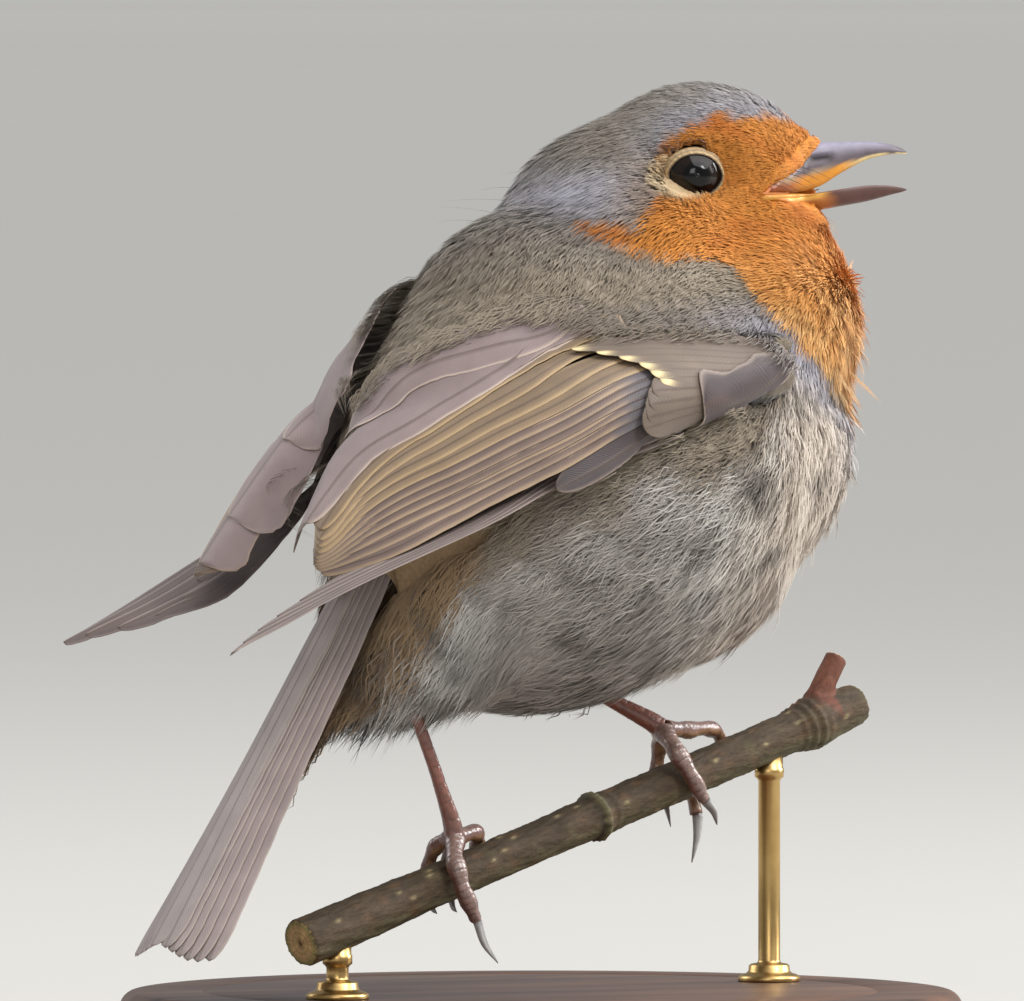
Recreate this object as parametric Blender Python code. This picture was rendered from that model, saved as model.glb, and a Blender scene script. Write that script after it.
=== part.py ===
"""European robin, a life-size museum model that grips a cut twig on a plain display stand.

Frame: metres, +Z up. The bird heads along +X and its left side is +Y. The origin is the centre of the
stand's underside. The bird is laid out in millimetres round the middle of its trunk, and `place`
moves those points into the frame.
"""

import math

import bmesh
import bpy
import numpy as np
from mathutils import Matrix, Vector
from mathutils.bvhtree import BVHTree

MM = 0.001
GAP = 0.3

# Where the middle of the trunk stands over the centre of the base.
TRUNK_OVER_BASE = np.array([6.0, 0.0, 56.0])

# The head looks to the bird's right, and its own axes meet between the eyes.
HEAD_TURN_DEG = -28.0
HEAD_MIDDLE = np.array([9.4, -1.9, 32.4])

# Masses of flesh and feathers: middle, half sizes along, across and through, lift of the long axis, yaw.
TRUNK_MASSES = {
    "barrel": ((-1.9, 0.0, 4.6), (29.5, 21.5, 23.2), 38, 0),
    "breast": ((13.2, 0.0, 5.5), (13.3, 16.0, 14.5), 0, 0),
    "belly": ((6.0, 0.0, -2.6), (15.0, 15.5, 14.5), 0, 0),
    "vent": ((-12.8, 0.0, -9.5), (11.5, 13.0, 10.6), 0, 0),
    "vent_back": ((-19.5, 0.0, -11.3), (8.6, 9.0, 7.8), 0, 0),
    "mantle": ((-9.0, 0.0, 12.0), (15.5, 16.5, 12.5), 35, 0),
    "shoulders": ((-5.8, 0.0, 16.4), (13.2, 15.5, 13.0), 0, 0),
    "rump": ((-18.0, 0.0, 1.5), (9.0, 9.0, 9.0), 60, 0),
    "undertail": ((-28.3, 0.0, -16.0), (21.0, 5.4, 3.5), 58, 0),
    "neck": ((2.4, -0.8, 22.4), (13.2, 13.8, 11.4), 25, -12),
    "upper_breast": ((15.3, -3.4, 17.0), (11.2, 14.8, 12.5), 0, -20),
}
HEAD_MASSES = {
    "skull": ((1.0, 0.0, 0.2), (11.2, 8.0, 8.8), 0, 0),
    "crown_back": ((-6.5, 0.0, -3.0), (12.4, 8.6, 8.6), 15, 0),
    "cheeks": ((1.5, 0.0, -4.4), (8.8, 9.1, 5.8), 0, 0),
    "throat": ((5.8, 0.0, -4.8), (8.0, 7.2, 7.0), 0, 0),
    "lores": ((9.2, 0.0, -0.4), (4.4, 3.9, 3.8), 0, 0),
}
BODY_VOXEL = 0.9
BODY_BLEND_STEPS = 12
BODY_TRIANGLE_SHARE = 0.046

# Planes that part the head from the neck and the neck from the trunk: a point and the way up.
HEAD_PLANE = ((8.0, -1.0, 25.2), (0.17, -0.09, 0.98))
NECK_PLANE = ((3.0, 0.0, 18.0), (0.36, -0.10, 0.93))

EYE_RADIUS = 3.1
EYE_FORWARD = 0.4
EYE_ASIDE = 5.55
EYE_UP = -0.55

# Each station of a mandible, along the head: forward, top, bottom, half width.
UPPER_BILL = (
    (6.6, 1.2, -2.2, 2.3),
    (9.6, 2.3, -2.35, 2.75),
    (12.6, 2.65, -1.75, 2.35),
    (15.0, 2.66, -0.30, 1.75),
    (17.5, 2.74, 0.98, 1.20),
    (19.6, 2.55, 1.42, 0.78),
    (20.8, 2.15, 1.58, 0.42),
    (21.4, 1.80, 1.66, 0.12),
)
LOWER_BILL = (
    (6.6, -2.75, -4.6, 2.2),
    (9.4, -2.78, -4.6, 2.45),
    (12.0, -2.55, -4.2, 2.10),
    (15.0, -2.00, -3.65, 1.55),
    (17.6, -1.64, -3.15, 1.08),
    (19.8, -1.66, -2.55, 0.66),
    (20.9, -1.80, -2.25, 0.36),
    (21.4, -1.92, -2.05, 0.10),
)
GAPE_FORWARD = 7.0
GAPE_UP = -2.45
MOUTH_REACH = 9.0
MOUTH_HALF_WIDTH = 7.0
# Corners of the mouth's wedge, from the gape: forward, up.
MOUTH_WEDGE = ((0.0, -0.12), (MOUTH_REACH, -0.9), (MOUTH_REACH, 3.0), (0.0, 0.12))
BILL_SIDES = 12

# Stations of the right wing from the wrist to the tip, each from the low outer edge to the inner edge.
ARM_STATIONS = (
    ((-2.8, -23.4, 8.1), (1.0, -23.4, 10.5), (5.0, -22.2, 13.0), (9.0, -20.0, 15.4)),
    ((-8.5, -24.8, 6.7), (-7.0, -24.6, 9.9), (-5.2, -23.0, 13.2), (-3.0, -20.0, 15.7)),
    ((-16.0, -24.6, 4.2), (-15.5, -23.4, 8.4), (-14.5, -20.5, 12.3), (-13.2, -15.6, 14.8)),
    ((-25.0, -21.8, 0.5), (-25.3, -18.8, 4.8), (-25.0, -12.5, 9.2), (-23.0, -5.0, 11.6)),
    ((-32.5, -18.5, -3.1), (-32.4, -12.6, 2.0), (-30.9, -6.2, 6.0), (-28.6, -2.6, 6.4)),
    ((-37.9, -12.9, -6.4), (-38.3, -11.2, -4.2), (-37.5, -8.6, -2.8), (-35.5, -4.2, -5.6)),
)
HAND_STATIONS = (
    ((-2.0, -21.5, 6.6), (-4.0, -21.5, 8.6), (-6.0, -20.6, 10.4)),
    ((-14.0, -21.6, 3.5), (-16.2, -19.6, 5.2), (-19.0, -15.6, 5.6)),
    ((-24.4, -22.6, -1.2), (-26.0, -15.8, -1.4), (-27.5, -9.5, -2.6)),
    ((-35.6, -20.8, -6.2), (-35.6, -13.8, -6.6), (-34.6, -6.2, -9.4)),
    ((-41.2, -19.9, -9.4), (-41.2, -14.6, -9.8), (-40.0, -9.2, -11.4)),
    ((-45.8, -19.2, -12.4), (-45.8, -16.2, -12.4), (-45.0, -13.2, -13.4)),
    ((-49.8, -18.3, -14.7), (-49.7, -18.0, -14.7), (-49.5, -17.6, -14.7)),
)
ALULA_STATIONS = (
    ((11.0, -18.5, 12.8), (11.2, -18.2, 13.6), (11.2, -17.8, 14.4)),
    ((6.2, -21.0, 9.2), (7.0, -20.6, 10.7), (8.6, -19.6, 12.6)),
    ((0.6, -22.4, 7.9), (1.4, -22.4, 8.7), (3.0, -22.0, 9.8)),
)
ARM_LIFTS = (1.75, 0.6)
ARM_LIFT_FADE = (0.5, 0.85)
HAND_LIFT = 0.5
ALULA_LIFT = 1.4
SECONDARY_TIP_SHARE = 0.05
TERTIALS_FROM = 0.62
TERTIAL_STEP = 0.30
TERTIAL_TIP_SHARE = 0.03
PRIMARY_STEP = 0.16
PRIMARY_TIP_SHARE = 0.045
ALULA_TIP_SHARE = 0.15
# How many points each panel has along and across, and a way that points out of the right wing.
ARM_GRID = (10, 15)
HAND_GRID = (12, 9)
ALULA_GRID = (6, 5)
WING_OUTWARD = np.array([0.0, -0.6, 0.8])
ARM_THICKNESS = 0.75
SHOULDER_THICKNESS = 0.9
HAND_THICKNESS = (0.75, 0.6)
ALULA_THICKNESS = 0.65

TAIL_ROOT = np.array([-20.6, 0.0, 3.4])
TAIL_DROP_DEG = 60.0
TAIL_LENGTH = 54.5
# Along the tail, as shares of its length: half width, drop of the outer edges, thickness.
TAIL_SHAPE = (
    (0.0, 4.2, 1.0, 2.2),
    (0.3, 5.2, 1.2, 1.9),
    (0.6, 6.4, 1.4, 1.5),
    (0.85, 8.4, 1.5, 1.0),
    (1.0, 9.4, 1.4, 0.7),
)
TAIL_NOTCH = 0.028
TAIL_TIP_STEP = 0.035
TAIL_EDGE_SHARE = 0.45
TAIL_GRID = (9, 15)

# The twig runs under both feet. Points along it are given as distances from the right foot.
PERCH_AT_RIGHT_FOOT = np.array([-17.0, -2.85, -36.5])
PERCH_AT_LEFT_FOOT = np.array([12.2, 3.14, -27.4])
# Along the twig: distance, radius. The swellings are a bud scar and the collar of a side twig.
PERCH_PROFILE = (
    (-20.5, 2.50),
    (-12.0, 2.40),
    (-2.0, 2.15),
    (12.0, 2.10),
    (17.4, 2.20),
    (18.4, 2.50),
    (19.4, 2.18),
    (32.0, 2.12),
    (44.5, 2.15),
    (47.5, 2.75),
    (50.0, 2.45),
    (54.0, 2.10),
)
STUB_ROOT = 47.8
STUB_LENGTH = 6.2
STUB_RADII = (1.55, 1.25)
STUB_ALONG = 0.62
STUB_RISE = 0.78
TWIG_SIDES = 16
STUB_SIDES = 12

SHANK_RINGS = 8
SHANK_SIDES = 8
TOE_RINGS = 6
TOE_SIDES = 6
CLAW_RINGS = 5

# Any way that no tube runs along: the first point of each ring is set out square to it.
TUBE_START = (0.31, 0.87, 0.38)

# Ankle to foot, then the toes. Each toe is a string of points with a radius at each.
LEGS = {
    "right": {
        "shank": (
            ((-18.5, -6.5, -7.0), 1.6),
            ((-22.6, -5.6, -12.0), 1.25),
            ((-22.9, -4.6, -18.0), 0.72),
            ((-19.6, -3.9, -26.5), 0.70),
            ((-17.8, -3.4, -30.8), 0.95),
            ((-17.3, -3.2, -32.6), 1.05),
        ),
        "toes": (
            (((-17.3, -3.4, -32.9), 1.0), ((-18.4, -5.3, -34.9), 0.95), ((-18.1, -6.3, -37.2), 0.85),
             ((-17.0, -6.1, -39.4), 0.8), ((-16.2, -5.6, -40.6), 0.55)),
            (((-17.0, -2.9, -32.7), 0.9), ((-14.0, -1.4, -32.3), 0.8), ((-12.5, 1.2, -33.8), 0.75),
             ((-12.6, 1.9, -36.0), 0.6)),
            (((-17.2, -2.6, -32.7), 0.9), ((-16.3, -0.6, -33.2), 0.8), ((-15.8, 1.0, -35.6), 0.75),
             ((-15.9, 0.4, -37.9), 0.6)),
            (((-17.5, -2.7, -32.7), 0.85), ((-18.2, -1.0, -33.6), 0.75), ((-18.3, 0.5, -35.9), 0.7),
             ((-18.4, 0.1, -38.0), 0.55)),
        ),
        "claws": (
            (((-15.9, -5.5, -41.0), 0.52), ((-14.7, -4.6, -43.0), 0.42), ((-12.6, -3.4, -45.0), 0.14)),
            (((-12.6, 2.0, -36.5), 0.45), ((-12.9, 1.6, -38.0), 0.34), ((-13.2, 0.7, -39.0), 0.14)),
            (((-15.9, 0.2, -38.4), 0.45), ((-16.1, -0.6, -39.5), 0.34), ((-16.3, -1.8, -40.0), 0.14)),
            (((-18.4, -0.1, -38.5), 0.42), ((-18.5, -0.9, -39.6), 0.32), ((-18.6, -2.0, -40.1), 0.14)),
        ),
    },
    "left": {
        "shank": (
            ((-10.5, 7.0, -8.0), 2.1),
            ((-7.8, 7.0, -11.6), 1.35),
            ((-1.5, 6.2, -16.2), 0.86),
            ((4.0, 5.0, -19.6), 0.80),
            ((8.0, 4.0, -21.8), 1.0),
            ((9.2, 3.6, -22.6), 1.05),
        ),
        "toes": (
            (((9.4, 3.2, -23.0), 1.0), ((9.4, 0.8, -24.7), 0.95), ((10.5, -0.1, -27.0), 0.85),
             ((11.8, 0.3, -28.9), 0.75), ((12.5, 0.6, -29.6), 0.55)),
            (((9.8, 3.5, -22.8), 0.9), ((12.8, 4.4, -22.9), 0.8), ((16.4, 6.1, -23.0), 0.75),
             ((18.2, 6.8, -24.6), 0.6)),
            (((9.6, 3.9, -22.8), 0.9), ((11.6, 6.0, -24.0), 0.8), ((13.2, 6.7, -26.6), 0.75),
             ((14.0, 6.0, -29.2), 0.7), ((14.2, 5.3, -31.3), 0.6)),
            (((9.3, 3.8, -23.0), 0.85), ((10.2, 5.6, -24.5), 0.75), ((10.3, 6.3, -27.2), 0.7),
             ((10.4, 5.4, -29.4), 0.55)),
        ),
        "claws": (
            (((12.8, 0.7, -29.9), 0.50), ((13.9, 1.2, -30.9), 0.36), ((14.6, 1.8, -32.2), 0.14)),
            (((18.4, 6.9, -25.0), 0.45), ((18.9, 6.7, -26.3), 0.34), ((18.9, 6.0, -27.6), 0.14)),
            (((14.2, 5.1, -31.8), 0.46), ((13.9, 4.7, -33.6), 0.34), ((13.2, 4.4, -36.0), 0.14)),
            (((10.5, 5.1, -29.9), 0.42), ((10.6, 4.6, -31.0), 0.32), ((10.5, 3.8, -32.4), 0.14)),
        ),
    },
}

BASE_RADIUS = 42.0
BASE_HEIGHT = 8.0
BASE_EDGE = 1.2
BASE_SIDES = 48
ROD_RADIUS = 1.5
ROD_SIDES = 16
RODS = {"stand_rod_rear": -15.5, "stand_rod_front": 42.0}

PLUMAGE_BACK = ((0.23, 0.20, 0.17), 0.85, 0.0)
PLUMAGE_FACE = ((0.52, 0.20, 0.05), 0.85, 0.0)
PLUMAGE_NECK = ((0.36, 0.26, 0.18), 0.85, 0.0)
FEATHER_BROWN = ((0.19, 0.15, 0.12), 0.7, 0.0)
HORN_DARK = ((0.12, 0.10, 0.10), 0.4, 0.0)
HORN_GREY = ((0.28, 0.28, 0.29), 0.35, 0.0)
EYE_BLACK = ((0.008, 0.006, 0.006), 0.08, 0.0)
SCALY_BROWN = ((0.12, 0.06, 0.04), 0.45, 0.0)
BARK = ((0.12, 0.09, 0.05), 0.8, 0.0)
BASE_WOOD = ((0.05, 0.035, 0.025), 0.45, 0.0)
ROD_METAL = ((0.55, 0.50, 0.42), 0.3, 1.0)


def place(point):
    """A point round the trunk's middle, in millimetres, as a point of the frame, in metres."""
    return Vector((np.asarray(point, float) + TRUNK_OVER_BASE) * MM)


def clear_scene():
    """Removes what a new file holds."""
    for obj in list(bpy.data.objects):
        bpy.data.objects.remove(obj)


def head_point(forward, left, up):
    """A point given along the turned head's own axes, as a point round the trunk's middle."""
    turn = math.radians(HEAD_TURN_DEG)
    ahead = np.array([math.cos(turn), math.sin(turn), 0.0])
    aside = np.array([-math.sin(turn), math.cos(turn), 0.0])
    return HEAD_MIDDLE + forward * ahead + left * aside + np.array([0.0, 0.0, up])


def object_of(name, mesh):
    """A new object of the scene that holds this mesh."""
    obj = bpy.data.objects.new(name, mesh)
    bpy.context.scene.collection.objects.link(obj)
    return obj


def mesh_of(bm, name):
    """The bmesh as a mesh whose faces point out; the bmesh is freed."""
    bmesh.ops.recalc_face_normals(bm, faces=bm.faces)
    mesh = bpy.data.meshes.new(name)
    bm.to_mesh(mesh)
    bm.free()
    return mesh


def evaluated_mesh(obj):
    """The object's mesh with its modifiers applied; the object itself is removed."""
    graph = bpy.context.evaluated_depsgraph_get()
    mesh = bpy.data.meshes.new_from_object(obj.evaluated_get(graph))
    bpy.data.objects.remove(obj)
    return mesh


def boolean(mesh, other, operation):
    """The mesh joined with, or cut by, the other one."""
    first = object_of("first", mesh)
    second = object_of("second", other)
    step = first.modifiers.new("step", "BOOLEAN")
    step.solver = "EXACT"
    step.operation = operation
    step.object = second
    made = evaluated_mesh(first)
    bpy.data.objects.remove(second)
    return made


def largest_piece(mesh):
    """The mesh without the loose crumbs that a cut leaves."""
    bm = bmesh.new()
    bm.from_mesh(mesh)
    left = set(bm.verts)
    pieces = []
    while left:
        found = {left.pop()}
        edge = list(found)
        while edge:
            near = {e.other_vert(v) for v in edge for e in v.link_edges} & left
            left -= near
            found |= near
            edge = list(near)
        pieces.append(found)
    biggest = max(pieces, key=len)
    bmesh.ops.delete(bm, geom=[v for v in bm.verts if v not in biggest], context="VERTS")
    return mesh_of(bm, mesh.name)


def finish(name, mesh, material):
    """Names one node and gives it its own material."""
    colour, roughness, metallic = material
    obj = object_of(name, mesh)
    for face in mesh.polygons:
        face.use_smooth = True
    made = bpy.data.materials.new(name + "_finish")
    made.use_nodes = True
    shader = made.node_tree.nodes["Principled BSDF"]
    shader.inputs["Base Color"].default_value = (*colour, 1.0)
    shader.inputs["Roughness"].default_value = roughness
    shader.inputs["Metallic"].default_value = metallic
    mesh.materials.clear()
    mesh.materials.append(made)
    return obj


def along(stations, share):
    """A smooth curve through the stations, at a share from 0 to 1 of the way along."""
    rows = np.asarray(stations, float)
    last = len(rows) - 1
    at = min(max(share, 0.0), 1.0) * last
    i = min(int(at), last - 1)
    f = at - i
    p1 = rows[i]
    p2 = rows[i + 1]
    p0 = rows[i - 1] if i > 0 else 2 * p1 - p2
    p3 = rows[i + 2] if i + 2 <= last else 2 * p2 - p1
    return 0.5 * (2 * p1 + (p2 - p0) * f + (2 * p0 - 5 * p1 + 4 * p2 - p3) * f * f
                  + (3 * p1 - p0 - 3 * p2 + p3) * f**3)


def bump(value):
    """1 at a whole number and 0 half way to the next: the rounded end of one feather of several."""
    return abs(math.cos(math.pi * value)) ** 0.7


def ellipsoid(bm, middle, half_sizes, pitch, yaw):
    """Adds one ellipsoid, given in millimetres round the trunk's middle, to a bmesh in metres."""
    turn = Matrix.Rotation(math.radians(yaw), 4, "Z") @ Matrix.Rotation(math.radians(-pitch), 4, "Y")
    size = Matrix.Diagonal((*(np.array(half_sizes) * MM), 1.0))
    matrix = Matrix.Translation(place(middle)) @ turn @ size
    bmesh.ops.create_icosphere(bm, subdivisions=4, radius=1.0, matrix=matrix)


def body_mesh():
    """Head, neck and trunk as one smooth closed surface."""
    bm = bmesh.new()
    for middle, half_sizes, pitch, yaw in TRUNK_MASSES.values():
        ellipsoid(bm, middle, half_sizes, pitch, yaw)
    for middle, half_sizes, pitch, yaw in HEAD_MASSES.values():
        ellipsoid(bm, head_point(*middle), half_sizes, pitch, yaw + HEAD_TURN_DEG)
    obj = object_of("body", mesh_of(bm, "body"))
    merge = obj.modifiers.new("merge", "REMESH")
    merge.mode = "VOXEL"
    merge.voxel_size = BODY_VOXEL * MM
    blend = obj.modifiers.new("blend", "SMOOTH")
    blend.factor = 0.5
    blend.iterations = BODY_BLEND_STEPS
    thin = obj.modifiers.new("thin", "DECIMATE")
    thin.ratio = BODY_TRIANGLE_SHARE
    return evaluated_mesh(obj)


def above(mesh, plane, lift, keep_above):
    """The part of a closed mesh on one side of a plane that is moved by `lift`, with the cut closed."""
    point, way = plane
    normal = Vector(way).normalized()
    bm = bmesh.new()
    bm.from_mesh(mesh)
    at = place(point) + normal * lift * MM
    bmesh.ops.bisect_plane(bm, geom=[*bm.verts, *bm.edges, *bm.faces], plane_co=at, plane_no=normal,
                           clear_inner=keep_above, clear_outer=not keep_above)
    bmesh.ops.holes_fill(bm, edges=[e for e in bm.edges if e.is_boundary], sides=0)
    bmesh.ops.triangulate(bm, faces=[f for f in bm.faces if len(f.verts) > 4])
    return mesh_of(bm, mesh.name)


def sheet(top, bottom):
    """A closed solid between two grids of points in millimetres."""
    rows, columns = top.shape[:2]
    bm = bmesh.new()
    grids = [[[bm.verts.new(place(p)) for p in row] for row in grid] for grid in (top, bottom)]
    for grid in grids:
        for i in range(rows - 1):
            for j in range(columns - 1):
                bm.faces.new((grid[i][j], grid[i + 1][j], grid[i + 1][j + 1], grid[i][j + 1]))
    rim = [(i, 0) for i in range(rows)]
    rim += [(rows - 1, j) for j in range(1, columns)]
    rim += [(i, columns - 1) for i in range(rows - 2, -1, -1)]
    rim += [(0, j) for j in range(columns - 2, 0, -1)]
    for (i, j), (k, m) in zip(rim, rim[1:] + rim[:1]):
        bm.faces.new((grids[0][i][j], grids[0][k][m], grids[1][k][m], grids[1][i][j]))
    return mesh_of(bm, "sheet")


def normals(grid):
    """The unit normal at each point of a grid."""
    down = np.gradient(grid, axis=0)
    across = np.gradient(grid, axis=1)
    way = np.cross(down, across)
    return way / np.maximum(np.linalg.norm(way, axis=2, keepdims=True), 1e-9)


def draped(grid, body, lift):
    """The grid with each point that sinks too near the body brought out.

    `lift` gives the least height over the body at each share across the grid.
    """
    out = grid.copy()
    for index in np.ndindex(grid.shape[:2]):
        point = place(grid[index])
        hit, normal, _, _ = body.find_nearest(point)
        least = lift(index[1] / (grid.shape[1] - 1)) * MM
        if (point - hit).dot(normal) < least:
            out[index] = np.array(hit + normal * least) / MM - TRUNK_OVER_BASE
    return out


def wing_sheet(stations, end, thickness, lift, body, size):
    """A feathered panel of the right wing, laid over the body.

    `end` gives how far along the stations the panel reaches at each share across it, `thickness`
    gives how thick it is at each pair of shares, and `size` how many points it has each way.
    """
    rows, columns = size
    top = np.empty((rows, columns, 3))
    thick = np.empty((rows, columns, 1))
    for j, across in enumerate(np.linspace(0, 1, columns)):
        for i, share in enumerate(np.linspace(0, 1, rows)):
            station = along(stations, share * end(across))
            top[i, j] = along(station, across)
            thick[i, j] = thickness(share, across)
    way = normals(top)
    outward = np.sign((way @ WING_OUTWARD).mean())
    low = draped(top - way * outward * thick, body, lift)
    return sheet(low + way * outward * thick, low)


def arm_lift(across):
    """The arm rides over the primaries, and comes down to the body where there are none."""
    return float(np.interp(across, ARM_LIFT_FADE, ARM_LIFTS))


def arm_end(across):
    """The secondaries end level, and the tertials stepped: the innermost is the shortest."""
    if across < TERTIALS_FROM:
        return 1.0 - SECONDARY_TIP_SHARE * (1 - bump(across * 7))
    return 1.0 - TERTIAL_STEP * (across - TERTIALS_FROM) - TERTIAL_TIP_SHARE * (1 - bump(across * 7))


def arm_thickness(share, across):
    """The arm is thick with coverts in front, and one layer of feathers behind."""
    return ARM_THICKNESS + SHOULDER_THICKNESS * (1 - share) * math.sin(math.pi * across)


def hand_thickness(share, across):
    """The primaries thin toward their tips."""
    return float(np.interp(share, (0.0, 1.0), HAND_THICKNESS))


def alula_end(across):
    """The alula ends round."""
    return 1 - ALULA_TIP_SHARE * (1 - bump(across - 0.5))


def hand_lift(across):
    """The primaries lie close to the body all across."""
    return HAND_LIFT


def alula_lift(across):
    """The alula lies over the coverts."""
    return ALULA_LIFT


def alula_thickness(share, across):
    """The alula is of one thickness."""
    return ALULA_THICKNESS


def hand_end(across):
    """The primaries step back from the leading edge to the inner edge."""
    return 1.0 - PRIMARY_STEP * across**1.3 - PRIMARY_TIP_SHARE * (1 - bump(across * 4))


def mirrored(mesh):
    """The mesh on the other side of the bird."""
    bm = bmesh.new()
    bm.from_mesh(mesh)
    bmesh.ops.scale(bm, vec=(1, -1, 1), verts=bm.verts)
    return mesh_of(bm, mesh.name)


def both_wings(body):
    """The panels of the two wings, which are mirror images."""
    for name, measures in {
        "": (ARM_STATIONS, arm_end, arm_thickness, arm_lift, body, ARM_GRID),
        "_primaries": (HAND_STATIONS, hand_end, hand_thickness, hand_lift, body, HAND_GRID),
        "_alula": (ALULA_STATIONS, alula_end, alula_thickness, alula_lift, body, ALULA_GRID),
    }.items():
        mesh = wing_sheet(*measures)
        finish("wing_right" + name, mesh, FEATHER_BROWN)
        finish("wing_left" + name, mirrored(mesh), FEATHER_BROWN)


def tail_grid(extra):
    """The top and bottom of the closed tail, grown by `extra` all round."""
    slope = math.radians(TAIL_DROP_DEG)
    axis = np.array([-math.cos(slope), 0.0, -math.sin(slope)])
    dorsal = np.array([-math.sin(slope), 0.0, math.cos(slope)])
    side = np.array([0.0, 1.0, 0.0])
    shape = np.array(TAIL_SHAPE)
    rows, columns = TAIL_GRID
    grids = np.empty((2, rows, columns, 3))
    for i, share in enumerate(np.linspace(0, 1, rows)):
        half, drop, thick = (np.interp(share, shape[:, 0], shape[:, k]) for k in (1, 2, 3))
        for j, across in enumerate(np.linspace(-1, 1, columns)):
            tip = 1 - TAIL_NOTCH * (1 - abs(across)) - TAIL_TIP_STEP * (1 - bump(across * 3.5))
            at = share * (1 + (tip - 1) * share)
            middle = TAIL_ROOT + axis * at * TAIL_LENGTH + side * across * (half + extra)
            middle = middle - dorsal * drop * across**2
            reach = thick / 2 * (1 - TAIL_EDGE_SHARE * across**2) + extra
            grids[0, i, j] = middle + dorsal * reach
            grids[1, i, j] = middle - dorsal * reach
    grids[:, 0] -= axis * extra
    grids[:, -1] += axis * extra
    return grids


def join_rings(bm, rings):
    """Adds the faces between rings of points, and closes both ends."""
    sides = len(rings[0])
    for first, second in zip(rings, rings[1:]):
        for k in range(sides):
            n = (k + 1) % sides
            bm.faces.new((first[k], first[n], second[n], second[k]))
    bm.faces.new(rings[0])
    bm.faces.new(rings[-1])


def tube(points, radii, sides, extra=0.0):
    """A closed round tube through the points, grown by `extra`."""
    points = np.array(points, float)
    bm = bmesh.new()
    ways = np.gradient(points, axis=0)
    ways /= np.linalg.norm(ways, axis=1, keepdims=True)
    across = np.cross(ways[0], TUBE_START)
    points[0] -= ways[0] * extra
    points[-1] += ways[-1] * extra
    rings = []
    for point, way, radius in zip(points, ways, radii):
        across = across - way * across.dot(way)
        across /= np.linalg.norm(across)
        other = np.cross(way, across)
        ring = []
        for turn in np.linspace(0, 2 * math.pi, sides, endpoint=False):
            aside = math.cos(turn) * across + math.sin(turn) * other
            ring.append(bm.verts.new(place(point + (radius + extra) * aside)))
        rings.append(ring)
    join_rings(bm, rings)
    return mesh_of(bm, "tube")


def smooth_string(string, steps):
    """The points and radii of a string of (point, radius), at more places along a smooth curve."""
    rows = np.array([(*point, radius) for point, radius in string])
    made = np.array([along(rows, share) for share in np.linspace(0, 1, steps)])
    return made[:, :3], made[:, 3]


def perch_way():
    """The twig's direction, from the right foot to the left."""
    way = PERCH_AT_LEFT_FOOT - PERCH_AT_RIGHT_FOOT
    return way / np.linalg.norm(way)


def round_the_perch(points, radii):
    """The points of a toe or a claw, each brought out to rest on the twig instead of in it."""
    way = perch_way()
    profile = np.array(PERCH_PROFILE)
    out = []
    for point, radius in zip(points, radii):
        at = (point - PERCH_AT_RIGHT_FOOT).dot(way)
        middle = PERCH_AT_RIGHT_FOOT + way * at
        away = point - middle
        reach = np.linalg.norm(away)
        least = float(np.interp(at, profile[:, 0], profile[:, 1])) + radius + GAP
        out.append(middle + away * max(1.0, least / reach))
    return np.array(out)


def leg_mesh(leg):
    """The shank and the four toes as one solid."""
    points, radii = smooth_string(leg["shank"], SHANK_RINGS)
    mesh = tube(points, radii, SHANK_SIDES)
    for toe in leg["toes"]:
        points, radii = smooth_string(toe, TOE_RINGS)
        points = round_the_perch(points, radii)
        mesh = boolean(mesh, tube(points, radii, TOE_SIDES), "UNION")
    return mesh


def claw_mesh(claw):
    """One curved claw."""
    points, radii = smooth_string(claw, CLAW_RINGS)
    return tube(round_the_perch(points, radii), radii, TOE_SIDES)


def bill_mesh(stations, extra=0.0):
    """A mandible: rounded on its outer side, flatter inside the mouth."""
    rows = np.array(stations)
    bm = bmesh.new()
    rings = []
    for k, (forward, top, bottom, half) in enumerate(rows):
        forward += extra * (-1 if k == 0 else 1 if k == len(rows) - 1 else 0)
        middle = (top + bottom) / 2
        high = (top - bottom) / 2 + extra
        ring = []
        for turn in np.linspace(0, 2 * math.pi, BILL_SIDES, endpoint=False):
            aside = math.cos(turn) * (half + extra)
            up = math.sin(turn) * high
            ring.append(bm.verts.new(place(head_point(forward, aside, middle + up))))
        rings.append(ring)
    join_rings(bm, rings)
    return mesh_of(bm, "bill")


def mouth_cutter():
    """The wedge of air between the open mandibles, from the corners of the gape."""
    bm = bmesh.new()
    corners = []
    for aside in (-MOUTH_HALF_WIDTH, MOUTH_HALF_WIDTH):
        ring = []
        for ahead, rise in MOUTH_WEDGE:
            point = head_point(GAPE_FORWARD + ahead, aside, GAPE_UP + rise)
            ring.append(bm.verts.new(place(point)))
        corners.append(ring)
    join_rings(bm, corners)
    return mesh_of(bm, "mouth")


def ball(point, radius, detail):
    """A sphere of triangles."""
    bm = bmesh.new()
    bmesh.ops.create_icosphere(bm, subdivisions=detail, radius=radius * MM,
                               matrix=Matrix.Translation(place(point)))
    return mesh_of(bm, "ball")


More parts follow.
